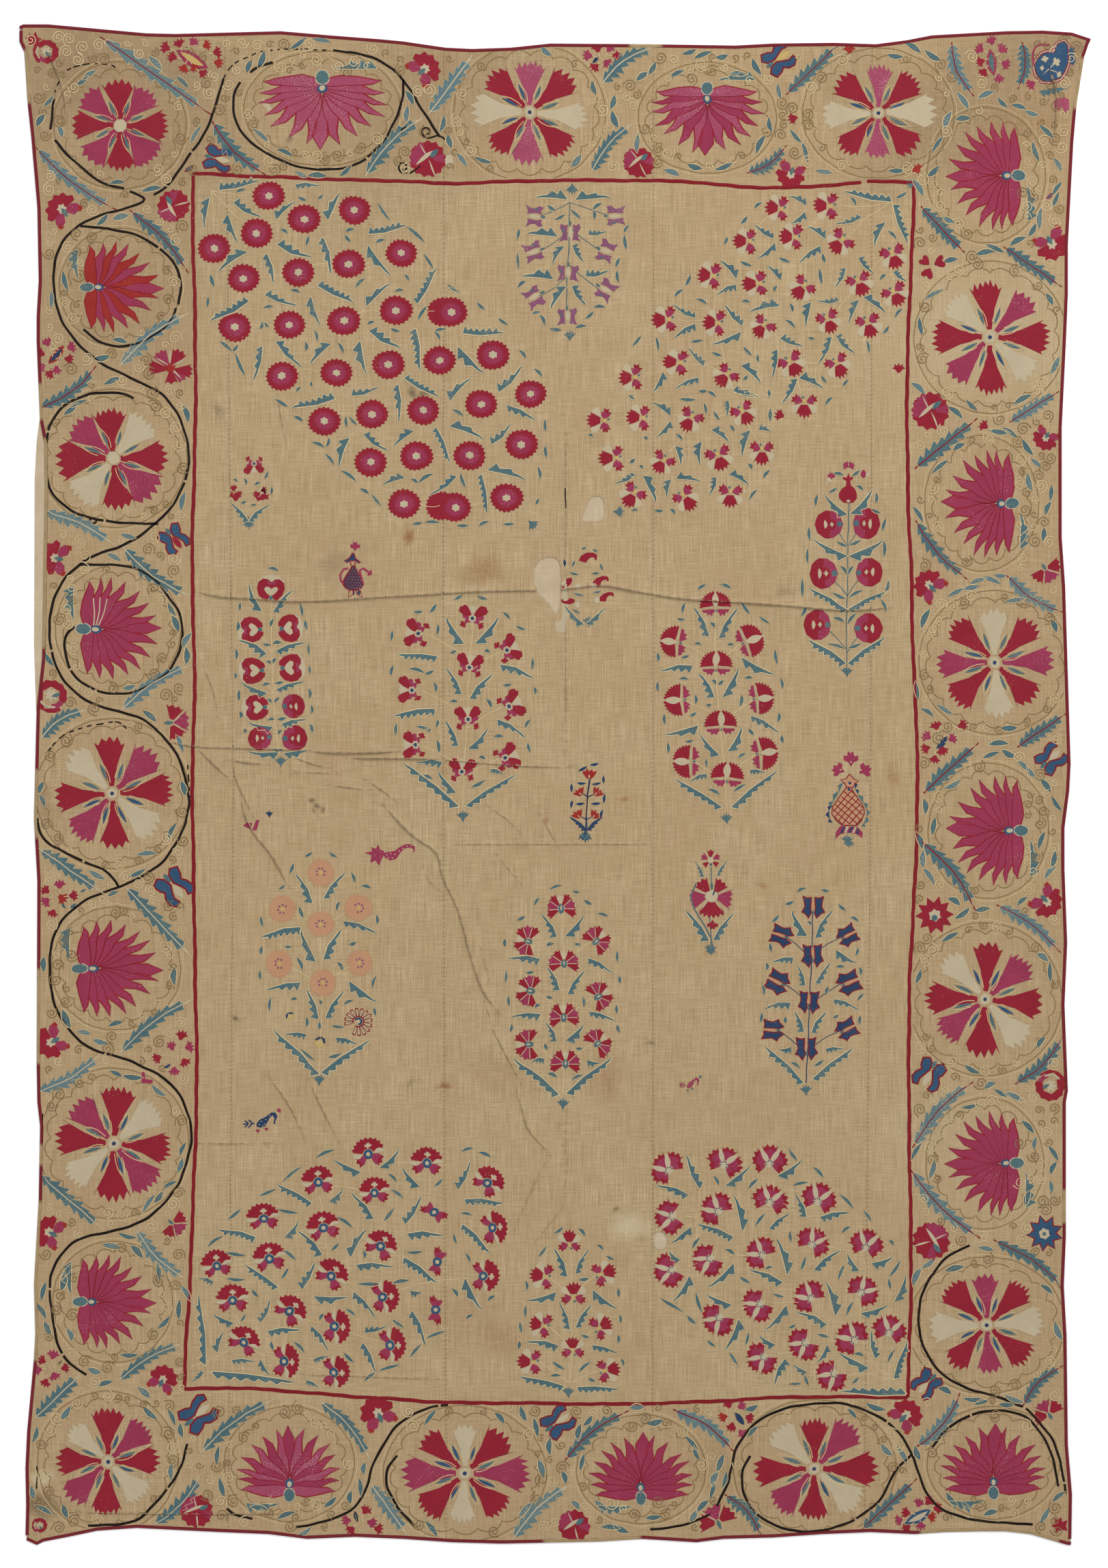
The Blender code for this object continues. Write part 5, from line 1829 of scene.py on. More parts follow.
# fan spray
BLADES += table(BLADE, """
    805 1302 823 1296, 838 1304 849 1307, 782 1326 790 1314, 757 1348 770 1342, 856 1318 868 1324,
    875 1337 891 1343, 740 1374 740 1386, 800 1385 811 1382, 842 1381 851 1382, 904 1392 906 1408,
    741 1421 740 1439, 770 1424 782 1423, 908 1429 910 1440, 745 1458 746 1473, 853 1460 855 1475,
    800 1458 810 1461, 783 1476 791 1472, 903 1471 903 1485, 749 1499 746 1511, 904 1500 907 1512,
    799 1528 802 1537, 844 1534 854 1535, 802 1572 816 1578, 836 1581 854 1574
""")
# blue spray
BLADES += table(BLADE, """
    1167 1307 1181 1300, 1202 1303 1214 1305, 1149 1324 1162 1320, 1228 1323 1239 1334, 1246 1343 1258 1349,
    1130 1350 1142 1340, 1183 1349 1188 1355, 1127 1381 1130 1394, 1253 1399 1257 1387, 1122 1409 1123 1421,
    1258 1416 1260 1429, 1225 1416 1237 1416, 1116 1442 1119 1457, 1209 1457 1214 1445, 1256 1466 1265 1455,
    1114 1497 1115 1483, 1260 1486 1260 1499, 1219 1490 1228 1486, 1151 1488 1152 1498, 1158 1556 1173 1565,
    1192 1561 1206 1552
""")
# bottom tulip spray
BLADES += table(BLADE, """
    811 1806 825 1797, 847 1798 857 1809, 788 1841 801 1824, 874 1823 883 1830, 888 1838 900 1844,
    770 1875 772 1889, 847 1874 863 1872, 905 1885 907 1900, 770 1912 770 1928, 907 1924 909 1937,
    761 1935 764 1951, 852 1954 863 1958, 905 1954 906 1967, 759 1976 761 1964, 910 1989 914 2000,
    809 1993 828 2005, 847 2009 866 1994, 805 2014 822 2014, 861 2018 872 2022
""")
# tall disc spray
BLADES += table(BLADE, """
    1225 793 1242 800, 1244 798 1261 791, 1230 829 1240 841, 1242 842 1250 828, 1219 868 1239 877,
    1242 876 1264 864, 1220 904 1237 912, 1242 915 1254 898, 1212 942 1238 951, 1242 949 1262 943,
    1185 771 1187 793, 1183 803 1183 825, 1175 847 1176 875, 1174 903 1181 888, 1283 721 1282 738,
    1276 746 1290 751, 1294 792 1295 816, 1297 758 1293 779, 1289 877 1298 897, 1220 693 1236 696,
    1248 697 1260 688, 1214 722 1226 714, 1254 712 1265 718, 1301 849 1295 868, 1194 742 1198 724
""")
# top left corner, inner end
BLADES += table(BLADE, """
    656 420 672 428, 699 442 710 454, 730 466 745 476, 760 512 771 525, 782 540 794 552, 612 470 626 448,
    636 486 645 499, 636 486 655 482, 662 599 679 610, 799 614 800 632, 788 684 791 702, 799 652 800 671,
    784 739 789 730, 601 702 612 708, 612 708 635 694, 675 692 682 715, 604 767 618 765, 621 764 645 766,
    668 770 686 770, 701 771 716 764, 736 767 754 767
""")
# top right corner, inner end
BLADES += table(BLADE, """
    920 579 929 585, 1023 573 1036 573, 1030 590 1034 607, 1045 602 1054 616, 1126 570 1127 584,
    1128 598 1129 618, 989 636 999 645, 942 640 947 645, 1069 622 1076 632, 1096 680 1102 688,
    1117 700 1128 688, 1097 733 1110 718, 862 637 869 640, 959 748 972 748, 981 745 989 753,
    925 749 934 748, 922 678 930 672, 937 681 942 686, 922 693 932 697
""")

# Flowers of the field. The way each faces is anticlockwise from the right.
DISCS = drawn("""
    394 287, 446 321, 519 308, 376 342, 314 364, 357 408, 437 399, 511 387, 588 371, 344 479, 424 476,
    504 470, 580 455, 661 457, 413 551, 493 546, 569 534, 644 528, 722 520, 475 617, 545 607, 620 601,
    705 592, 777 577, 543 677, 610 668, 688 667, 764 651, 592 738, 667 743, 742 729
""")
TULIPS = table("x y way", """
    1139 305 175, 1211 302 180, 1092 354 180, 1160 347 175, 1231 355 230, 1308 375 285, 1040 404 178,
    1107 415 180, 1175 422 230, 1259 415 295, 1311 431 300, 974 468 185, 1047 473 175, 1117 479 230,
    1213 470 290, 1272 476 285, 925 553 185, 991 531 175, 1063 551 230, 1159 533 300, 1227 535 300,
    879 616 180, 936 612 180, 1011 614 235, 1089 605 300, 1178 593 270, 897 671 180, 970 677 235,
    1053 670 290, 1116 662 270, 927 725 235, 1004 730 305, 1070 725 270
""")
CARNATIONS = table("x y way", """
    540 1690 92, 466 1731 95, 549 1746 92, 625 1703 85, 714 1732 42, 386 1784 95, 474 1798 95, 557 1825 55,
    721 1798 10, 318 1853 98, 395 1843 98, 485 1868 50, 561 1899 5, 708 1868 0, 341 1904 92, 424 1920 40,
    490 1942 0, 571 1969 -4, 357 1965 55, 416 1993 0, 489 2009 -5
""")
HALF_CARNATIONS = ((636, 1775, 82), (641, 1847, 12), (638, 1918, 22))
PINKS = table("x y way", """
    980 1713 137, 1060 1706 70, 1127 1704 90, 985 1781 195, 1052 1773 143, 1127 1761 75, 1198 1759 75,
    984 1859 200, 1040 1843 207, 1117 1837 143, 1189 1822 58, 1268 1826 78, 1054 1929 220, 1113 1909 210,
    1188 1901 140, 1261 1893 50, 1180 1966 215, 1251 1962 135, 1302 1951 75, 1119 1986 222, 1221 2011 220
""")
WAYS = "x y way"
SPRAYS = {
    "winged": table(
        WAYS,
        "692 906 90, 613 928 175, 742 952 30, 688 977 90, 603 1010 180, 746 1034 25, 685 1054 90, "
        "609 1091 180, 740 1110 25, 677 1130 92",
    ),
    "pomegranate": table(
        WAYS,
        "1048 887 90, 989 940 172, 1096 939 25, 1049 974 90, 995 1025 178, 1112 1023 8, 1056 1061 90, "
        "1008 1115 180, 1117 1103 12, 1065 1137 90",
    ),
    "fanned": table(
        WAYS,
        "822 1331 90, 774 1378 165, 873 1378 40, 826 1411 90, 777 1451 165, 876 1459 30, 826 1490 90, "
        "775 1529 180, 875 1528 40, 828 1558 90",
    ),
    "booted": table(
        WAYS,
        "1191 1328 90, 1145 1370 158, 1241 1370 30, 1190 1399 88, 1139 1438 157, 1243 1439 22, "
        "1185 1467 88, 1132 1508 176, 1240 1507 28, 1181 1535 92",
    ),
    "iris": table(
        WAYS,
        "783 317 180, 902 316 0, 835 341 270, 781 369 200, 888 368 335, 832 400 270, 782 436 210, "
        "888 425 330, 831 464 270",
    ),
    "pompon": table(
        WAYS, "470 1278 90, 414 1331 170, 525 1329 20, 470 1353 90, 409 1411 180, 527 1410 10, 473 1439 90"
    ),
    "tulip": table(
        WAYS,
        "834 1822 90, 799 1869 172, 880 1866 20, 840 1899 90, 797 1941 170, 877 1944 28, 839 1978 90, "
        "781 1994 178, 886 2007 10",
    ),
    "kidney": table(WAYS, "397 866 90, 372 922 183, 421 920 3, 374 982 185, 423 978 0, 379 1036 180"),
    "ball": table(WAYS, "430 1034 0, 381 1081 180, 432 1081 0"),
    "big_ball": table(WAYS, "1214 768 180, 1269 767 0, 1206 840 180, 1273 838 0, 1197 915 180, 1272 920 0"),
}
# Straw and blue stems of the sprays: the foot, then the way up the middle.
STEMS = (
    ("straw", *drawn("677 1180, 680 1130, 684 1054, 688 977, 692 912")),
    ("straw", *drawn("1065 1183, 1062 1130, 1054 1060, 1048 975, 1047 890")),
    ("straw", *drawn("825 1602, 826 1540, 826 1450, 824 1335")),
    ("navy", *drawn("1181 1585, 1183 1530, 1187 1440, 1191 1335")),
    ("teal", *drawn("835 296, 834 340, 831 402, 830 460")),
    ("straw", *drawn("467 1572, 470 1520, 472 1440, 469 1350, 468 1290")),
    ("straw", *drawn("834 2025, 838 1978, 838 1900, 835 1830")),
    ("straw", *drawn("410 1105, 402 1050, 399 980, 397 880")),
    ("teal", *drawn("1240 975, 1240 892, 1242 814, 1243 734")),
    ("navy", *drawn("857 1215, 860 1180, 864 1140")), ("teal", *drawn("1042 1380, 1040 1345, 1041 1325")),
    ("teal", *drawn("1042 1290, 1041 1270")),
)
# Corner roots from which the branches of each corner grow.
ROOTS = drawn("310 279, 1307 296, 281 2000, 1311 2022")
ARROWS = table("x y turn", """
    779 768 45, 412 1116 180, 678 1196 180, 1064 1199 180, 825 1617 180, 1181 1597 180, 467 1582 180,
    833 2039 180, 1240 984 180, 838 276 0, 834 492 180, 906 749 90, 1335 268 -45, 857 1226 180,
    1041 1390 180, 364 766 180, 863 911 180, 1241 1231 180
""")


def facing(rows, size=1.0, back=0.0):
    """Rows to set flowers out from rows of x, y and way, each a little different, as hand work is."""
    for x, y, way in rows:
        a, wide, tall = math.radians(way), draw.uniform(0.94, 1.05), draw.uniform(0.94, 1.05)
        yield x - back * math.cos(a), y + back * math.sin(a), way - 90 + draw.uniform(
            -4, 4
        ), size * wide, size * tall


def branch_out(root, flowers):
    """Joins each flower to the nearest branch that lies nearer the root."""
    root, made = np.array(root, float), []
    for x, y in sorted((f[:2] for f in flowers), key=lambda p: math.dist(p, root)):
        here = np.array((x, y), float)
        near = [n for n in made if math.dist(n, root) < math.dist(here, root) - 25]
        start = min([root, *near], key=lambda n: math.dist(n, here))
        along = (here - start) / math.dist(here, start)
        side = np.array((-along[1], along[0])) * draw.uniform(-0.10, 0.10) * math.dist(here, start)
        yield [tuple(start), tuple((start + here) / 2 + side), tuple(here - along * 20)]
        made.append(here - along * 6)


# A round flower keeps its longer side level, so it isn't turned by more than a little.
set_out(under_disc, [(648, 457, 0, 0.95, 0.9), (646, 741, 0, 0.95, 0.9)])
set_out(
    disc_flower,
    [(x, y, draw.uniform(-7, 7), draw.uniform(1.0, 1.06), draw.uniform(0.88, 0.94)) for x, y in DISCS],
)
set_out(tulip, list(facing(TULIPS, 1.12, 4.5)))
set_out(carnation, list(facing(CARNATIONS, 1.1)))
set_out(half_carnation, list(facing(HALF_CARNATIONS, 1.05)))
set_out(pink, list(facing(PINKS, 1.12)))
# Each kind of tall spray: its flower, its stem in STEMS, and its flowers' width and height.
KINDS = {
    "winged": (winged, 0, 1.0, 1.0), "pomegranate": (pomegranate, 1, 1.0, 1.0),
    "fanned": (fanned, 2, 1.0, 1.0), "booted": (booted, 3, 0.86, 1.0), "iris": (iris, 4, 0.95, 0.97),
    "pompon": (pompon, 5, 1.0, 1.0), "tulip": (tulip, 6, 1.05, 1.05), "kidney": (kidney, 7, 1.0, 1.0),
    "ball": (ball, None, 1.0, 1.0), "big_ball": (ball, 8, 1.2, 1.13),
}
for kind, rows in SPRAYS.items():
    flower, _, wide, tall = KINDS[kind]
    set_out(flower, [(*row[:3], row[3] * wide, row[4] * tall) for row in facing(rows)])
set_out(daisy, [(525, 1496, -50, 1.08, 1.08)])
set_out(arrow, [(x, y, turn, 0.95, 0.95) for x, y, turn in ARROWS])
leaf_rows = [[] for _ in halves]
for x0, y0, x1, y1, side in LEAVES:
    x, y, turn, length = tip_to_tip(x0, y0, x1, y1)
    kind = draw.choice((0, 2) if side > 0 else (1, 3)) if length < 58 else 4 + (side < 0)
    leaf_rows[kind].append(
        (x, y, turn, min(1.25, 0.72 + length / 120) * draw.uniform(0.92, 1.1), length / 50)
    )
for kind, rows in enumerate(leaf_rows):
    set_out(halves[kind], rows)
blade_rows = [[], []]
for row in BLADES:
    x, y, turn, length = tip_to_tip(*row)
    blade_rows[draw.randrange(2)].append((x, y, turn, draw.uniform(0.85, 1.1), length / 20))
for kind, rows in enumerate(blade_rows):
    set_out(plain[kind], rows)
for corner, flowers in zip(ROOTS, (DISCS, TULIPS, CARNATIONS, PINKS)):
    couch(list(branch_out(corner, flowers)), "straw", 1.3, step=6)
for thread, *line in STEMS:
    couch([line], thread, 1.8 if thread != "straw" else 1.4, step=6)
for kind, rows in SPRAYS.items():
    trunk = KINDS[kind][1]
    if trunk is None:
        continue
    path = rounded(STEMS[trunk][1:], 6)
    down = 1 if kind == "iris" else -1
    twigs = []
    for x, y, way in rows:
        if abs(math.cos(math.radians(way))) > 0.5:
            start = path[np.argmin(np.hypot(path[:, 0] - x, path[:, 1] - (y - down * 34)))]
            twigs.append(
                [
                    tuple(start), ((start[0] * 0.6 + x * 0.4), start[1] * 0.45 + y * 0.55),
                    (x * 0.82 + start[0] * 0.18, y * 0.95 + start[1] * 0.05),
                ]
            )
    couch(twigs, STEMS[trunk][0], 1.4, step=6)


# ---------------------------------------------------------------- small flowers of the border

SMALL = table("kind x y way size", """
    bloom 93 309 130 1.0, slit_bloom 254 302 315 0.95, five_wedges 250 541 92 1.0, bloom 84 818 165 1.0,
    ring_bloom 75 1018 60 1.0, three_wedges 250 1058 5 1.0, bloom 78 1524 210 1.0, bloom 75 1805 150 1.0,
    three_wedges 252 1790 320 0.85, bloom 238 2022 60 0.9, bloom 555 2072 115 1.1,
    slit_bloom 288 2212 215 0.95, slit_bloom 841 2234 225 0.9, three_wedges 1052 2230 110 1.05,
    three_wedges 1537 2072 120 0.85, bloom 1325 2074 40 0.95, slit_bloom 1364 1817 132 1.1,
    ring_bloom 1538 1590 250 0.95, star_bloom 1369 1340 40 1.0, bloom 1531 1318 320 1.0,
    bloom 1363 859 135 1.0, three_wedges 1530 832 300 0.85, slit_bloom 1363 602 228 1.05,
    bloom 1532 640 240 0.75, bloom 1539 355 300 1.0, bloom 1159 253 255 0.9, slit_bloom 936 238 235 0.9,
    bloom 620 103 40 1.0, slit_bloom 627 233 232 1.05, ring_bloom 68 76 0 0.8, ring_bloom 59 2233 0 0.46,
    navy_star 1530 1806 100 0.9, butterfly 318 232 345 0.85, butterfly 254 788 310 0.88,
    butterfly 254 1297 312 1.05, butterfly 289 2072 38 1.1, butterfly 816 2083 35 0.95,
    butterfly 1358 2025 230 0.85, butterfly 1362 1571 238 0.95, butterfly 1538 1112 40 0.9,
    butterfly 1139 88 35 0.95
""")
# Little three-pointed flowers in clusters: the middle of each, then its flowers by their offset from it.
OFFSET = "dx dy thread"
CLUSTERS = (
    (84, 520, "-14 -18 m, 20 -12 m, -24 -2 r, 16 6 r, -1 21 m, -23 17 m, -11 28 r"),
    (86, 1311, "-18 -7 r, 1 -15 m, 21 0 r, -18 9 m, -8 25 r, 5 4 o"),
    (255, 1540, "11 -23 r, -3 -8 m, 22 -7 m, 16 15 r, -24 9 r, 0 28 m"),
    (75, 2003, "-12 -11 r, 3 -19 m, 20 0 r, -19 2 m, 5 11 m, -8 21 r"),
    (1070, 2071, "-3 -15 r, 16 -12 m, -10 4 o, 27 5 r, 2 17 r, 16 26 m"),
    (527, 2229, "9 -17 r, -19 -3 m, 17 0 m, -13 10 r, 27 9 r"),
    (1374, 1087, "-3 -24 r, -16 -9 m, 20 -5 m, -17 9 r, 6 11 r, -5 24 r"),
    (881, 84, "-6 -13 r, 12 -13 m, -19 -2 m, 7 8 m, 21 -2 r, -9 14 r"),
    (
        275, 86,
        "-12 -22 r, 8 -24 m, 27 -19 o, 43 -9 r, -22 -2 r, -32 -16 r, -5 14 o, 22 21 r, 44 6 o, 10 12 o",
    ),
    (1455, 84, "-3 -23 m, -19 -12 m, 12 -12 m, -18 6 r, 17 10 m, -14 22 r, 8 30 m"),
    (1344, 2217, "1 -16 m, 16 -19 r, -16 -2 r, 20 4 o, -27 8 m, 4 16 m, -15 20 r, 29 -9 r"),
)
# Such flowers on their own, and the way each faces.
SINGLES = table("x y way thread", """
    1344 249 120 o, 1162 174 200 r, 1511 124 210 m, 1442 624 150 r, 1409 1062 20 r, 1244 73 90 o,
    1142 608 160 r, 1316 541 90 r, 345 728 90 r, 385 727 60 r
""")
CROWN_THREADS = {"r": "red", "m": "magenta", "o": "orange"}
# Three red hearts by the right edge of the field's upper corner: x, y, turn, width and height.
HEARTS = ((1355, 383, 50, 0.9, 0.9), (1376, 384, -70, 1.0, 1.0), (1359, 400, 160, 1.0, 0.9))
set_out(heart, HEARTS)
crown = motif(
    (
        "red",
        [
            drawn(
                "-1.2 -6, 1.2 -6, 4.5 -1, 9 1, 5.6 3, 5.2 7.5, 2.2 4, 0 8.5, -2.2 4, -5.2 7.5, -5.6 3, "
                "-9 1, -4.5 -1"
            )
        ],
    ),
    ("straw", couched_shape([[(0, -12), (0.5, -5)]], 1.2, 3)),
)
crowns = {thread: [] for thread in CROWN_THREADS}
for x, y, flowers in CLUSTERS:
    for dx, dy, thread in table(OFFSET, flowers):
        turn = -math.degrees(math.atan2(dx, -dy)) + draw.uniform(-15, 15)
        crowns[thread].append((x + dx, y + dy, turn, draw.uniform(0.95, 1.15), draw.uniform(0.95, 1.15)))
for x, y, way, thread in SINGLES:
    crowns[thread].append((x, y, way - 90, 1.1, 1.1))
MORE = {
    "bloom": bloom, "slit_bloom": slit_bloom, "five_wedges": five_wedges, "ring_bloom": ring_bloom,
    "three_wedges": three_wedges, "star_bloom": star_bloom, "navy_star": navy_star, "butterfly": butterfly,
}
slits = {"butterfly": ["cream", "red", "cream", "cream", "cream", "cream", "cream", "cream", "yellow"]}
for kind, shape in MORE.items():
    rows = facing([row[1:4] for row in SMALL if row[0] == kind])
    sizes = [1.22 * row[4] for row in SMALL if row[0] == kind]
    rows = [(x, y, turn, a * size, b * size) for (x, y, turn, a, b), size in zip(rows, sizes)]
    if kind == "butterfly":
        for row, slit in zip(rows, slits[kind]):
            set_out(shape, [row], slit=slit)
    else:
        set_out(shape, rows)
for thread, rows in crowns.items():
    set_out(crown, rows, red=CROWN_THREADS[thread])

# Narrow leaves among the little flowers: ends, outer thread, inner thread.
bud = motif(("outer", [lens(100, 36, 2)], 70), ("inner", [moved(lens(76, 17, 2), 0, 12)], 70, 1))
BUDS = table("x0 y0 x1 y1 outer inner", """
    71 533 94 506 orange navy, 258 73 305 100 magenta yellow, 1450 72 1456 112 magenta teal,
    1325 2231 1364 2209 blue cream, 1076 2068 1090 2086 navy navy, 1372 1097 1387 1078 navy navy,
    868 93 876 82 navy navy, 240 1564 250 1558 navy navy, 1532 292 1544 281 magenta teal,
    270 252 284 242 wine teal, 520 2212 524 2228 black teal, 90 1322 96 1330 teal teal,
    102 1330 112 1322 teal teal, 84 1998 92 1990 yellow navy, 118 1306 126 1302 teal teal
""")
for x0, y0, x1, y1, outer, inner in BUDS:
    x, y, turn, length = tip_to_tip(x0, y0, x1, y1)
    set_out(bud, [(x, y, turn, length / 100, length / 100)], outer=outer, inner=inner)

# The blue leaf in the top right corner, ringed twice, with a pale sprig.
drop = drawn("""
    -24 -2, -20 8, -13 15, -3 18, 6 18, 7 24, 11 30, 19 33, 24 28, 25 18, 25 5, 21 -10, 14 -20, 0 -25,
    -13 -24, -21 -15
""")
blue_leaf = motif(
    ("magenta", [shrunk(drop, -4.4)], 90, -1.2), ("cream", [shrunk(drop, -2.9)], 90, -0.4),
    ("wine", [shrunk(drop, -1.5)], 90, 0.2), ("blue", [drop], 90, 0.9),
    (
        "cream",
        [
            moved(TREFOIL, 8, 4, 60, 1.0), moved(TREFOIL, -9, 8, -15, 0.8),
            moved(TREFOIL, -13, -5, -80, 0.6), moved(TREFOIL, 12, -15, 120, 0.7),
            moved(lens(36, 2.4), -14, -16, 48), moved(lens(20, 2.2), -6, -6, 110),
        ],
        90, 1.8,
    ),
    ("magenta", couched_shape([curve((-25, 0), (-34, 34), (-2, 28), 9)], 2.6)),
    ("blue", [drawn("26 22, 30 27, 35 24, 33 15, 36 6, 32 -1, 27 2")], 90, 0.6),
    ("teal", [moved(thorny_leaf(46, 4, 1, 2), -16, -38, 80)]),
    ("rose", [drawn("6 -66, 12 -68, 16 -62, 22 -71, 27 -66, 27 -52, 20 -47, 8 -49, 4 -56")]),
)
set_out(blue_leaf, [(1539, 95, 0, 1.0, 1.0)])
# A red flower in the lower right corner, and one beside the ring in the upper left.
corner = motif(
    ("orange", [drawn("-9 12, -3 7, 2 13, 4 5, 12 8, 9 -2, 12 -10, 3 -8, -6 -13, -6 -5, -13 -3, -7 3")])
)
set_out(corner, [(1552, 2232, 0, 0.95, 0.95), (49, 58, 40, 0.85, 0.85)], orange="red")

# ---------------------------------------------------------------- straw work of the border


def ringed(x, y, rx, ry, grow=0.0):
    """An oval ring, larger by grow."""
    a = np.linspace(0, 2 * math.pi, 110)
    return np.column_stack([x + (rx + grow) * np.sin(a), y - (ry + grow) * np.cos(a)])


def scalloped(x, y, rx, ry, lobes, depth):
    """An oval ring with rounded lobes."""
    a = np.linspace(0, 2 * math.pi, 8 * lobes + 1)
    grow = depth * np.abs(np.sin(a * lobes / 2)) ** 0.7
    return np.column_stack([x + (rx + grow) * np.sin(a), y - (ry + grow) * np.cos(a)])


def coil(x, y, radius, way, turns=1.6):
    """A small spiral whose tail runs off towards its way."""
    t = np.linspace(0, 1, int(7 * abs(turns)) + 3)
    r = radius * (0.14 + 0.86 * t)
    a = way + 2 * math.pi * turns * (t - 1)
    points = np.column_stack([x + r * np.sin(a), y - r * np.cos(a)])
    side = math.copysign(1.0, turns)
    tail = np.array(
        (x + 1.2 * radius * math.sin(way + side * 0.9), y - 1.2 * radius * math.cos(way + side * 0.9))
    )
    return [*map(tuple, points), tuple(tail)]


# Double rings round the rosettes and the fans, and a cloud-edged line within each.
rings, clouds, roundels = [], [], []
for x, y, wide, tall, *_ in ROSETTES:
    rings += [ringed(x, y, wide, tall, grow) for grow in (24, 28)]
    clouds.append(scalloped(x, y, wide + 7, tall + 7, 17, 8))
    roundels.append((x, y, wide + 26, tall + 26))
for x, y, turn, tall, half, *_ in FANS:
    a = math.radians(turn)
    long, across = tall * 0.62 + 22, half + 24
    rx, ry = (long, across) if abs(math.sin(a)) > 0.5 else (across, long)
    cx, cy = x - math.sin(a) * tall * 0.43, y - math.cos(a) * tall * 0.43
    rings += [ringed(cx, cy, rx, ry, grow) for grow in (0, 4)]
    clouds.append(scalloped(cx, cy, rx - 18, ry - 18, 17, 8))
    roundels.append((cx, cy, rx + 2, ry + 2))


def on_border(x, y, clear=0):
    """Whether a chart place is on the border, this far from the field's frame and from the edges."""
    inside = 276 - clear < x < 1340 + clear and 258 - clear < y < 2052 + clear
    return (
        not inside and left_of(y) + 8 + clear < x < right_of(y) - 8 - clear
        and top_of(x) + 8 + clear < y < bottom_of(x) - 8 - clear
    )


def runs_within(lines):
    """The runs of the lines that lie on the border."""
    out = []
    for line in lines:
        there = [on_border(x, y, -3) for x, y in line]
        start = 0
        for i in range(1, len(line) + 1):
            if i == len(line) or there[i] != there[start]:
                if there[start] and i - start > 3:
                    out.append(line[start:i])
                start = i
    return out


# Painted shade: the inner ring of each pair and the cloud-edged lines are laid in the darker brown thread,
# standing for the shadow beside the pale threads; the outer ring is straw.
couch(runs_within(rings[::2]), "earth", 1.3, height=0.5, smooth=False, sides=4)
couch(runs_within(rings[1::2]), "straw", 1.0, height=0.5, smooth=False, sides=4)
couch(runs_within(clouds), "earth", 1.4, height=0.5, smooth=False, sides=4)

# What is worked already, as circles: x, y and radius.
taken = [(row[1], row[2], 24 * row[4]) for row in SMALL] + [(x, y, 9) for x, y, *_ in SINGLES]
taken += [(x + dx, y + dy, 10) for x, y, flowers in CLUSTERS for dx, dy, _ in table(OFFSET, flowers)]
taken += [(x, y, 11) for x, y, *_ in HEARTS]
for x0, y0, x1, y1, _ in LONG_LEAVES:
    taken += [(x0 + (x1 - x0) * t, y0 + (y1 - y0) * t, 12) for t in np.linspace(0.06, 0.94, 7)]
vines = [point for line in (*VINE, *VINE_DASHED) for point in rounded(line, 9)]
taken += [(x, y, 1.5) for x, y in vines]


def on_petals(x, y):
    """Whether a chart place is on a rosette's petals or a fan's, or too near them for a coil."""
    if any(
        math.hypot((x - cx) / (wide + 7), (y - cy) / (tall + 7)) < 1 for cx, cy, wide, tall, *_ in ROSETTES
    ):
        return True
    for cx, cy, turn, tall, half, *_ in FANS:
        a = math.radians(turn)
        across = ((x - cx) * math.cos(a) - (y - cy) * math.sin(a)) * FAN_HALF / half
        up = (-(x - cx) * math.sin(a) - (y - cy) * math.cos(a)) * FAN_TALL / tall
        b = abs(math.atan2(across, up))
        if math.hypot(across, up) < (14 + FAN_TALL - FAN_DROP * min(1, b / 1.52) ** 1.4 if b < 1.8 else 26):
            return True
    return False


def clear_of(x, y, r, circles):
    """Whether a circle keeps off all the others."""
    return all((x - cx) ** 2 + (y - cy) ** 2 > (r + cr) ** 2 for cx, cy, cr in circles)


# Plain blue leaves follow both sides of every ring.
ring_leaves = [[], []]
for x, y, rx, ry in roundels:
    for k in range(26):
        a = 2 * math.pi * (k + draw.uniform(-0.25, 0.25)) / 26
        grow = draw.choice((-10, 9, 13, 17))
        px, py = x + (rx + grow) * math.sin(a), y - (ry + grow) * math.cos(a)
        if on_border(px, py) and not on_petals(px, py) and clear_of(px, py, 4.5, taken):
            taken.append((px, py, 8))
            ring_leaves[k % 2].append(
                (
                    px, py, -math.degrees(a) + 90 + draw.uniform(-28, 28), draw.uniform(1.0, 1.5),
                    draw.uniform(0.95, 1.6),
                )
            )
centred = [
    motif(
        ("teal", [moved(lens(20, 6.0, b), 0, -10)], 70),
        ("straw", couched_shape([moved(lens(21.5, 7.4, b, 3), 0, -10.7)], 1.0, 3, closed=True)),
    )
    for b in (1.0, -1.6)
]
for kind, rows in enumerate(ring_leaves):
    set_out(centred[kind], rows[::3], teal="sky")
    set_out(centred[kind], rows[1::3] + rows[2::3])

# Coils of straw and of faded brown thread fill the ground of the border, about one to every 20 mm.
coil_kinds = []
for turns, radius in ((1.35, 6.5), (1.6, 8.5), (1.1, 5.5), (1.75, 9.5)):
    for side in (1, -1):
        coil_kinds.append(motif(("straw", couched_shape([coil(0, 0, radius, 0.4, side * turns)], 1.5, 3))))
coils = [[[], []] for _ in coil_kinds]
for row in range(230):
    for column in range(160):
        x, y = 25 + 10 * column + draw.uniform(-4, 4), 25 + 10 * row + draw.uniform(-4, 4)
        if not on_border(x, y, 7):
            continue
        near = min(
            abs(math.hypot((x - cx) / rx, (y - cy) / ry) - 1) * min(rx, ry) for cx, cy, rx, ry in roundels
        )
        near = min(
            near,
            *[
                abs(math.hypot((x - cx) / (rx - 15), (y - cy) / (ry - 15)) - 1) * min(rx, ry)
                for cx, cy, rx, ry in roundels[: len(ROSETTES)]
            ],
        )
        if near > 4.5 and not on_petals(x, y) and clear_of(x, y, 5.5, taken):
            taken.append((x, y, 8.5))
            kind = draw.randrange(len(coil_kinds))
            coils[kind][draw.random() < 0.55].append((x, y, draw.uniform(0, 360), 1, 1))
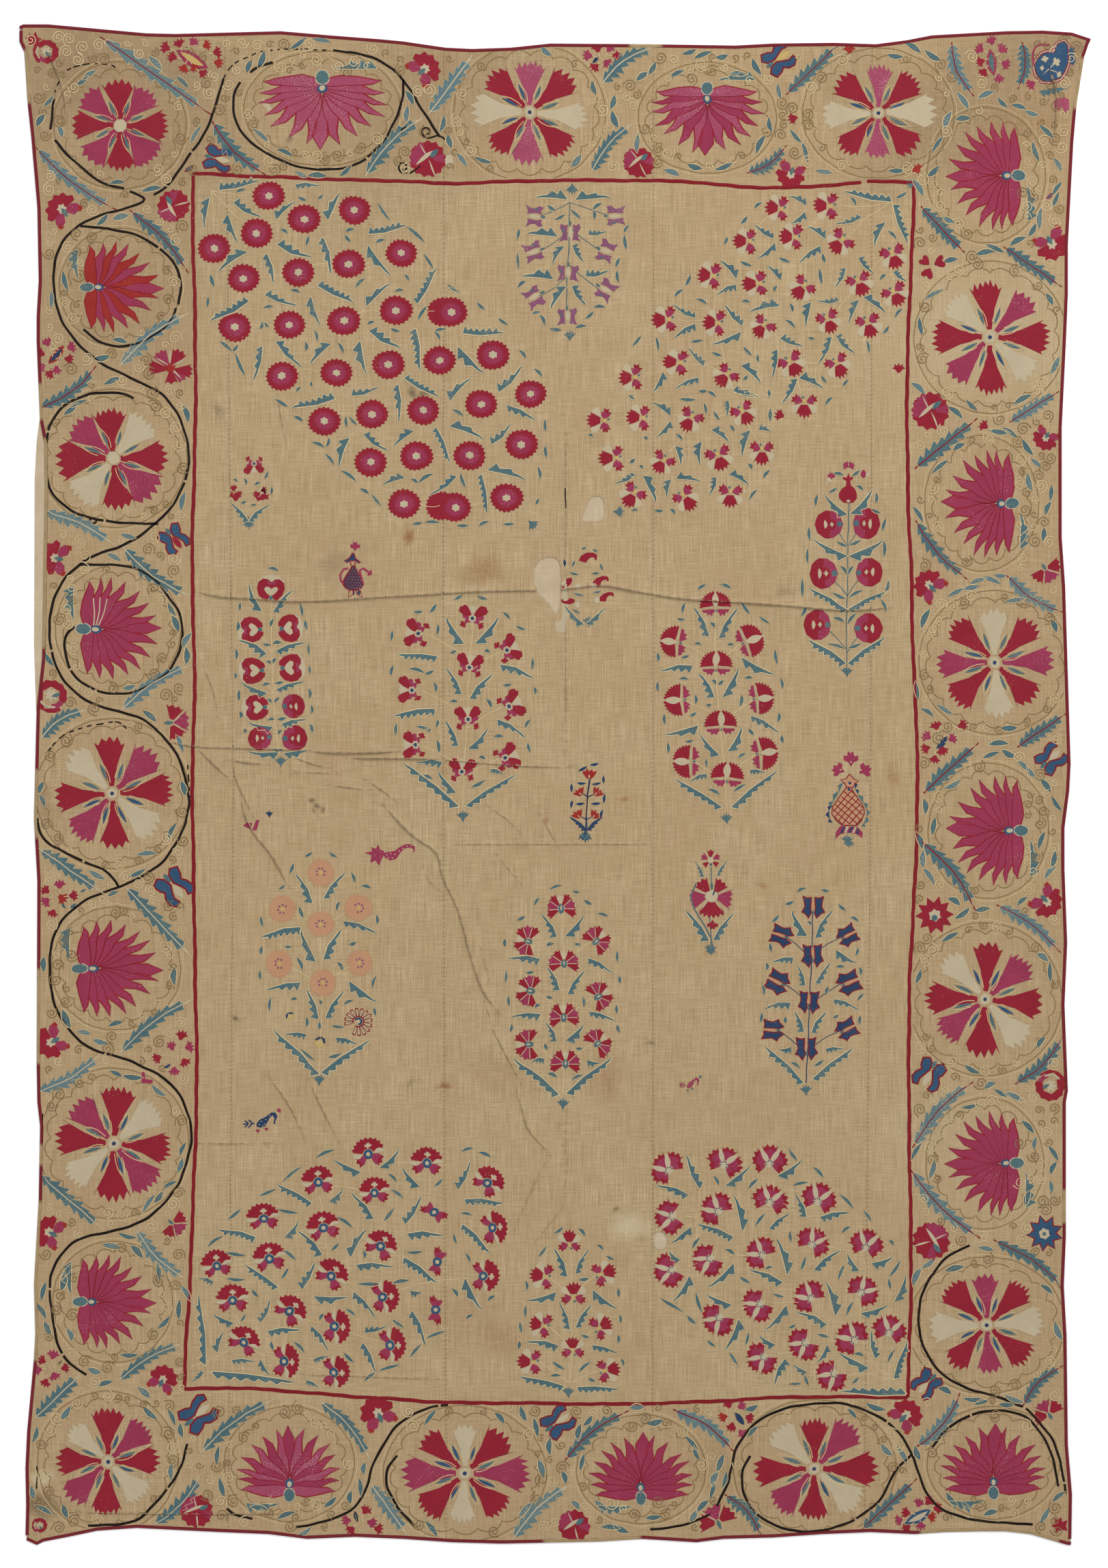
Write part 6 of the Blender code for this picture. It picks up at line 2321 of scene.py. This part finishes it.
for kind, pair in enumerate(coils):
    for thread, rows in zip(("straw", "earth"), pair):
        set_out(coil_kinds[kind], rows, straw=thread)


# ---------------------------------------------------------------- single motifs of the field


def saw(points, deep, side=1):
    """A saw-toothed strip along a line: one plain edge and one of teeth, on its left or its right."""
    points = np.array(points, float)
    along = np.gradient(points, axis=0)
    out = side * np.column_stack([along[:, 1], -along[:, 0]]) / np.linalg.norm(along, axis=1)[:, None]
    ring = [*points]
    for i in range(len(points) - 1, 0, -1):
        ring += [
            points[i] + out[i] * 0.8, (points[i] + points[i - 1]) / 2 + (out[i] + out[i - 1]) / 2 * deep
        ]
    return np.array([*ring, points[0] + out[0] * 0.8])


def dots(places, radius=1.5):
    """Small round stitches on top of the rest."""
    return sewn([disc(radius, n=6, x=x, y=y) for x, y in places], 0, 1)


def lattice(ring, step, ways=((1, 1.15), (1, -0.9))):
    """Two sets of slanting lines within an outline."""
    ring = np.array(ring, float)
    lines = []
    for dx, dy in ways:
        d = np.array((dx, dy)) / math.hypot(dx, dy)
        for far in np.arange(-60, 60, step):
            line = np.array(
                [(-d[1] * far + d[0] * t, d[0] * far + d[1] * t) for t in np.arange(-60, 60, 2.0)]
            )
            line = line[inside(shrunk(ring, 0.5), line)]
            if len(line) > 2:
                lines.append(line)
    return lines


# A ewer, dotted, with a peaked lid.
EWER = drawn("-1.5 18, 2 18, 7 8, 13 -2, 15 -8, 11 -14, 4 -17, -5 -17, -12 -14, -16 -8, -14 -1, -8 8")
LID = drawn("-1.3 38, 1.5 36, 3 30, 10.5 23.5, 8 22.5, 3 26, -3 26, -9 23, -13 26, -6 29.5, -3.5 34")
ewer = motif(
    ("plum", [EWER]),
    (
        "teal",
        dots(
            [
                (x + 2.2 * (k % 2), y)
                for k, y in enumerate(range(-14, 15, 4))
                for x in range(-11, 12, 4) if abs(x) < 12.5 - 0.55 * max(0, y + 2)
            ],
            1.2,
        ),
    ),
    ("navy", [LID, moved(lens(10, 3), 0, -26), moved(lens(10, 4), 8, -26)]),
    (
        "red",
        couched_shape(
            [
                [*EWER, EWER[0]], [*LID, LID[0]], [(-4, 24), (-3, 18)], [(3, 24), (2, 18)],
                drawn("-7 -17, -8 -28, -1 -24, -1 -18"), drawn("4 -18, 5 -23, 14 -29, 10 -18, 6 -17"),
            ],
            1.5,
        ),
    ),
    (
        "magenta",
        couched_shape(
            drawn_lines("-8 14, -15 13, -20 5, -19 -3, -14 -8; 14 -6, 11 4, 9 12, 14 14.5, 20 10"), 3.0
        ),
    ),
    ("magenta", [moved(TREFOIL, 23, 8, 120, 0.65), moved(TREFOIL, 2, 47, 0, 1.0)]),
)
set_out(ewer, [(518, 847, 0, 1, 1)])

# Two little tendrils end in coils where the vine meets the frame, and one more by the next rosette.
couch(
    drawn_lines(
        "652 205, 643 198, 633 201, 624 203, 617 196, 620 187, 629 187, 631 195, 625 196; 616 243, "
        "606 251, 592 256, 583 249, 586 239, 595 240, 597 248, 590 249; 146 770, 137 773, 130 767, "
        "133 759, 141 760, 141 766, 136 766"
    ),
    "black", 3.4, height=0.55, step=3,
)
# A dark thread runs on along the left edge in three places, and down the field in one.
couch(
    drawn_lines(
        "67 640, 66 720, 65 840, 64 957; 62 1631, 61 1700, 59 1774; 54 2146, 54 2180; 828 715, 828 745"
    ),
    "black", 2.4, height=0.5,
)

# A vase with a net of stitches, a starred neck and three flowers.
VASE = drawn("""
    -3 32, 3 32, 8 24, 17 10, 22 2, 22.5 -6, 18 -16, 12 -23, -10 -23, -19 -16, -25 -6, -24 4, -18 12, -8 25
""")
NECK = drawn("1 52, 7 44, 14 41, 8 37, 6 32, -4 32, -6 37, -12 43, -4 44")
CRESCENT = drawn("-13 -24, 13 -25, 21 -34, 20 -43, 12 -36, 0 -34, -12 -36, -20 -43, -19 -32")
vase = motif(
    ("peach", [VASE, NECK]),
    ("wine", couched_shape([[*VASE, VASE[0]], [*NECK, NECK[0]], *lattice(VASE, 7.5)], 1.5)),
    ("navy", dots([(1, 38), (0, 29)], 2.6)), ("magenta", [CRESCENT]),
    (
        "navy",
        drawn_lines(
            "-9 -25, -5 -25, -9 -35, -13 -35; 4 -25, 8 -25, 3 -34.5, -1 -34.5; 13 -27, 16 -30, 15 -37, "
            "11 -35"
        ),
        90, 1,
    ),
    ("cream", drawn_lines("-4 -25, 1 -25, -3 -34.5, -7 -34.5; 9 -25, 12 -26, 9 -34.5, 5 -34.5"), 90, 1),
    (
        "teal",
        [
            saw(drawn("12 22, 20 10, 26 0, 26 -10, 21 -20, 18 -24"), 6, -1),
            saw(drawn("-8 38, -13 26, -22 12, -28 3"), 6, 1), moved(ARROW, 0, -48, 0, 0.9),
        ],
    ),
    (
        "navy",
        [
            saw(drawn("-24 6, -29 -2, -28 -14, -24 -20"), 6, 1), saw([(7, 40), (9, 30), (13, 23)], 5, -1),
            lens(1, 1),
        ],
        90, 0.2,
    ),
    (
        "magenta",
        [moved(TREFOIL, 3, 74, 0, 1.6), moved(TREFOIL, -15, 58, -70, 1.4), moved(TREFOIL, 24, 57, 60, 1.5)],
    ),
    ("cream", dots([(3, 70), (-12, 58), (19, 57)], 1.6)),
)
set_out(vase, [(1243, 1185, 0, 1, 1)])

# A stem with a small and a large rosette.
two_rosettes = motif(
    ("red", [wedge(0, 5, 4, 16, 12, 3, 3)] + wedges((128, -128), 5, 3, 15, 9, 2, 2), 90),
    ("magenta", wedges((66, -66), 5, 3, 16, 12, 3, 3)), ("cream", [disc(5.5, 6, 1)], 0, 1),
    ("navy", [moved(lens(8, 3), 0, -10)]),
)
set_out(two_rosettes, [(1041, 1259, 0, 1, 1)])
big_rosette = motif(
    ("red", wedges((38, -38), 9, 7, 29, 23, 4, 4) + [sector(142, 218, 10, 33, 6, 5)]),
    ("magenta", wedges((100, -100), 9, 8, 32, 30, 5, 4)),
    (
        "cream",
        sewn([disc(10, 7, 1.5)], 0, 1) + [
            (moved(lens(27, 2.4), 0, 0, a), 90, 0.3) for a in (70, -70, 145, -145)
        ],
    ),
    ("navy", [moved(lens(11, 3), 1, 0, 20)], 0, 2), ("teal", [moved(lens(13, 4), 0, 9)], 0, 2),
    ("red", [moved(TREFOIL, 2, -42, 180, 1.1)]),
    ("teal", couched_shape(drawn_lines("-22 18, -30 0, -26 -18, -10 -42, 0 -62; 0 -62, 2 -75"), 1.8)),
)
set_out(big_rosette, [(1042, 1312, 0, 1, 1)])
# Pairs of half-toothed leaves on these stems, and at the feet of two small sprays.
PAIRS = table("x0 y0 x1 y1 kind", """
    1039 1377 1003 1332 0, 1045 1376 1075 1336 1, 1031 1284 1017 1260 0, 1050 1282 1066 1260 1,
    364 763 336 735 0, 364 763 396 738 1, 856 914 826 886 2, 858 914 884 888 3
""")
leafy = [[] for _ in halves]
for x0, y0, x1, y1, kind in PAIRS:
    x, y, turn, length = tip_to_tip(x0, y0, x1, y1)
    leafy[kind].append((x, y, turn, length / 44, length / 50))
for kind, rows in enumerate(leafy):
    set_out(halves[kind], rows)
set_out(arrow, table(PLACE, "1041 1390 0 0.8 0.8, 364 766 0 0.9 0.9, 857 1224 0 1.0 1.0"))

# Five red tulips on a blue stem.
red_tulip = motif(
    ("orange", [drawn("-3 -7, 3 -7, 8 -2, 12 5, 6 3.5, 4 7, 0 4, -3.5 9, -5 4, -11 5, -8 -1")]),
    ("cream", [moved(lens(7, 2.6), 0, -7)], 0, 1),
)
set_out(
    red_tulip,
    table(
        PLACE,
        "863 1133 0 1 1, 849 1160 35 0.85 0.85, 875 1160 -35 0.85 0.85, 846 1192 35 0.85 0.85, "
        "872 1193 -35 0.85 0.85",
    ),
)
couch(
    drawn_lines(
        "859 1218, 859 1195, 861 1165, 863 1141; 860 1200, 852 1196; 860 1200, 866 1197; 862 1168, "
        "855 1163; 862 1168, 869 1164"
    ),
    "navy", 2.0, step=5,
)
blades = table("x0 y0 x1 y1", """
    863 1120 877 1118, 847 1130 860 1122, 837 1146 838 1160, 838 1172 836 1184, 884 1135 884 1148,
    886 1162 884 1176, 883 1184 880 1200, 845 1146 859 1147, 866 1148 880 1146, 842 1177 857 1176,
    865 1177 880 1175
""")
rows = [tip_to_tip(*blade) for blade in blades]
set_out(plain[0], [(x, y, turn, 0.9, length / 20) for x, y, turn, length in rows], teal="navy")
set_out(halves[0], [(858, 1215, 50, 0.6, 0.6)], teal="navy", straw="navy")
set_out(halves[1], [(860, 1215, -50, 0.6, 0.6)], teal="navy", straw="navy")
set_out(arrow, [(857, 1223, 0, 1.0, 1.0)], teal="navy")

# Hooked red buds with pale balls, and scraps of a worn spray.
hook = motif(("red", [drawn("-7 -8, 4 -8, 5.5 -1, 9 3.5, 14 4, 15 0, 18 3, 16 9.5, 8 11, -1 7.5, -7 0")]))
set_out(
    hook,
    table(
        PLACE,
        "857 816 -20 1.0 1.0, 875 852 0 1.0 0.85, 884 875 0 0.9 0.7, 834 852 200 0.8 0.6, "
        "836 881 160 0.8 0.6",
    ),
)
ball_of_straw = motif(("cream", [disc(5.2, 6, 1)]))
set_out(ball_of_straw, table(PLACE, "847 858 0 1 1, 869 857 0 1 1, 846 886 0 1 1, 875 879 0 1.1 1"))
rows = [
    tip_to_tip(*b)
    for b in (
        (851, 804, 858, 801), (868, 803, 876, 808), (838, 830, 842, 820), (834, 838, 848, 842),
        (866, 840, 878, 838), (880, 826, 883, 835), (840, 868, 856, 872), (868, 868, 880, 866),
        (838, 892, 850, 898), (874, 898, 886, 890),
    )
]
set_out(plain[0], [(x, y, turn, 0.7, length / 20) for x, y, turn, length in rows])
set_out(plain[0], [(827, 830, 0, 0.9, 0.6)], teal="navy")
set_out(winged, [(372, 679, 0, 0.72, -0.72)])
set_out(
    crown,
    table(
        PLACE,
        "342 716 0 0.7 0.8, 342 725 130 0.7 0.6, 350 723 220 0.7 0.6, 377 724 100 0.7 0.8, "
        "386 718 -80 0.7 0.7, 380 730 160 0.6 0.6",
    ),
)
patches("cream", [(drawn("379 716, 388 714, 391 721, 383 724"), 0, 0)])
rows = [
    tip_to_tip(*b)
    for b in (
        (341, 702, 348, 706), (358, 700, 361, 710), (373, 711, 381, 708), (392, 690, 386, 702),
        (353, 738, 361, 734), (368, 741, 376, 740), (398, 712, 396, 724),
    )
]
set_out(plain[1], [(x, y, turn, 0.8, length / 20) for x, y, turn, length in rows])
patches(
    "magenta",
    [
        (drawn("356 1208, 361 1204, 369 1204, 368 1213, 361 1211"), 0, 0),
        (drawn("374 1201, 380 1200, 376 1216, 369 1217"), 0, 0),
    ],
)
set_out(arrow, [(395, 1192, 180, 0.6, 0.6)], teal="navy")

# A red flask of flowers over the tall spray of balls.
FLASK = drawn("""
    0 -14, 7 -13, 13 -7, 13.5 0, 10 7, 4 11, 3 18, 8 22, 8 25, 3 24, 1 31, -2 24, -8 25, -8 22, -3 18,
    -4 11, -10 7, -13.5 0, -13 -7, -7 -13
""")
flask = motif(
    ("red", [FLASK]), ("cream", [moved(TREFOIL, 0, -11, 0, 0.45)], 0, 1),
    (
        "magenta",
        [
            moved(TREFOIL, -3, 41, -60, 0.8), moved(TREFOIL, 5, 41, 60, 0.8), moved(lens(14, 8), 23, 22),
            moved(TREFOIL, -24, 26, 0, 0.8),
        ],
    ),
    ("cream", [disc(4, 5, 1, x=28, y=28), disc(4, 5, 1, x=-27, y=20)]),
)
set_out(flask, [(1242, 723, 0, 1, 1)])

patches("magenta", [(drawn("207 1569, 212 1569, 213 1580, 225 1582, 224 1587, 207 1586"), 0, 0)])

# A pink fish with a star tail; a blue bird and a pink one.
FISH = drawn("""
    -11 2, -4 4, 8 6, 15 12, 23 16, 31 16, 37 12, 37 6, 33 2, 35 8, 30 11, 22 10, 16 4, 10 -5, 1 -8, -7 -4
""")
STAR = drawn("""
    -9 -1, -8 6, -14 8, -17 16, -21 9, -28 12, -26 5, -37 3, -27 -1, -29 -12, -22 -8, -16 -15, -13 -7
""")
fish = motif(
    ("magenta", [FISH, STAR]),
    ("cream", dots(drawn("-4 0, 2 2, 8 1, 14 6, 19 10, 25 13, 31 14, 4 -4, -2 -4"), 1.3)),
)
set_out(fish, [(571, 1252, 0, 1, 1)])
BIRD = drawn("""
    -10 2, -6 8, 0 11, 6 15, 12 19, 18 18, 21 12, 18 5, 18 0, 15 2, 16 9, 14 14, 9 11, 6 4, 2 -3, -5 -5,
    -10 -3
""")
TWIG = [
    lens(8, 3), moved(lens(9, 2.6), -1, 4, -40), moved(lens(9, 2.6), 1, 4, 40),
    moved(lens(9, 2.6), 0, 9, -40), moved(lens(9, 2.6), 0, 9, 40), moved(lens(11, 2.4), 0, 8),
]
bird = motif(
    ("navy", sewn([BIRD]) + sewn([moved(t, -12, 2, -90) for t in TWIG])),
    ("cream", dots(drawn("-6 0, -3 5, 2 1, 3 8, 9 14, -1 -2"), 1.1)),
    (
        "magenta",
        [moved(TREFOIL, 23, 21, 60, 0.55), moved(ARROW, -8, -10, 180, 0.4), moved(ARROW, 4, -7, 180, 0.4)],
    ),
)
set_out(bird, [(386, 1647, 0, 1, 1)])
set_out(bird, [(1012, 1590, 0, 0.6, 0.62)], navy="magenta", magenta="teal")
pale_ball = motif(
    ("yellow", [disc(9, 9, 1.5)]), ("navy", [sector(-70, 110, 6, 9, 5, 1)], 0, 0.6),
    ("cream", [disc(3, n=6)], 0, 1),
)
set_out(pale_ball, [(425, 1488, 60, 0.75, 0.75), (469, 1526, 0, 0.95, 0.95)])

# Scraps of old patches.
patches(
    "cream",
    [
        (drawn("822 853, 830 848, 832 898, 829 926, 815 925, 813 912, 823 908"), 90, -1.2),
        (drawn("383 143, 391 148, 399 160, 394 168, 390 159, 384 152"), 30, -1.2),
        (drawn("651 228, 662 226, 664 240, 653 243"), 90, -1.2),
    ],
)


# ---------------------------------------------------------------- silk laid on the cloth

stitched_pieces = [lay_down(thread) for thread in threads if work[thread]]


# ---------------------------------------------------------------- soft goods

# Each strip's width is read, and nothing uses it.
for k, strip in enumerate(strips):
    wide = (strip.dimensions.x, 2.35)

# ---------------------------------------------------------------- stage

floor_mesh = bpy.data.meshes.new("floor")
floor_mesh.from_pydata([(-6, -6, 0), (6, -6, 0), (6, 6, 0), (-6, 6, 0)], [], [(0, 1, 2, 3)])
floor = bpy.data.objects.new("floor", floor_mesh)
bpy.context.scene.collection.objects.link(floor)
pale = bpy.data.materials.new("pale studio floor")
pale.use_nodes = True
shader = pale.node_tree.nodes["Principled BSDF"]
shader.inputs["Base Color"].default_value = (0.93, 0.93, 0.93, 1)
shader.inputs["Roughness"].default_value = 0.9
floor_mesh.materials.append(pale)

world = bpy.data.worlds.new("studio")
bpy.context.scene.world = world
world.use_nodes = True
sky = world.node_tree.nodes["Background"]
sky.inputs["Color"].default_value = (1, 1, 1, 1)
sky.inputs["Strength"].default_value = 0.75


def lamp(name, place, size, power):
    """A soft lamp that faces the cloth."""
    light = bpy.data.lights.new(name, "AREA")
    light.shape = "RECTANGLE"
    light.size, light.size_y = size
    light.energy = power
    lit = bpy.data.objects.new(name, light)
    lit.location = place
    lit.rotation_euler = (-lit.location).to_track_quat("-Z", "Y").to_euler()
    bpy.context.scene.collection.objects.link(lit)


lamp("soft_key", (2.2, 4.6, 4.6), (2.2, 2.2), 300)
lamp("soft_fill", (-3.4, -2.6, 4.4), (3.0, 3.0), 70)

LENS, SENSOR = 100.0, 36.0  # in millimetres
CHART_TALL = 2296  # the camera takes in the whole height of the chart
camera = bpy.data.objects.new("camera", bpy.data.cameras.new("camera"))
camera.data.lens = LENS
camera.data.sensor_width = SENSOR
camera.location = (-0.0014, 0.0011, CHART_TALL * UNIT * LENS / SENSOR)
bpy.context.scene.collection.objects.link(camera)
bpy.context.scene.camera = camera
bpy.context.scene.view_settings.view_transform = "Standard"
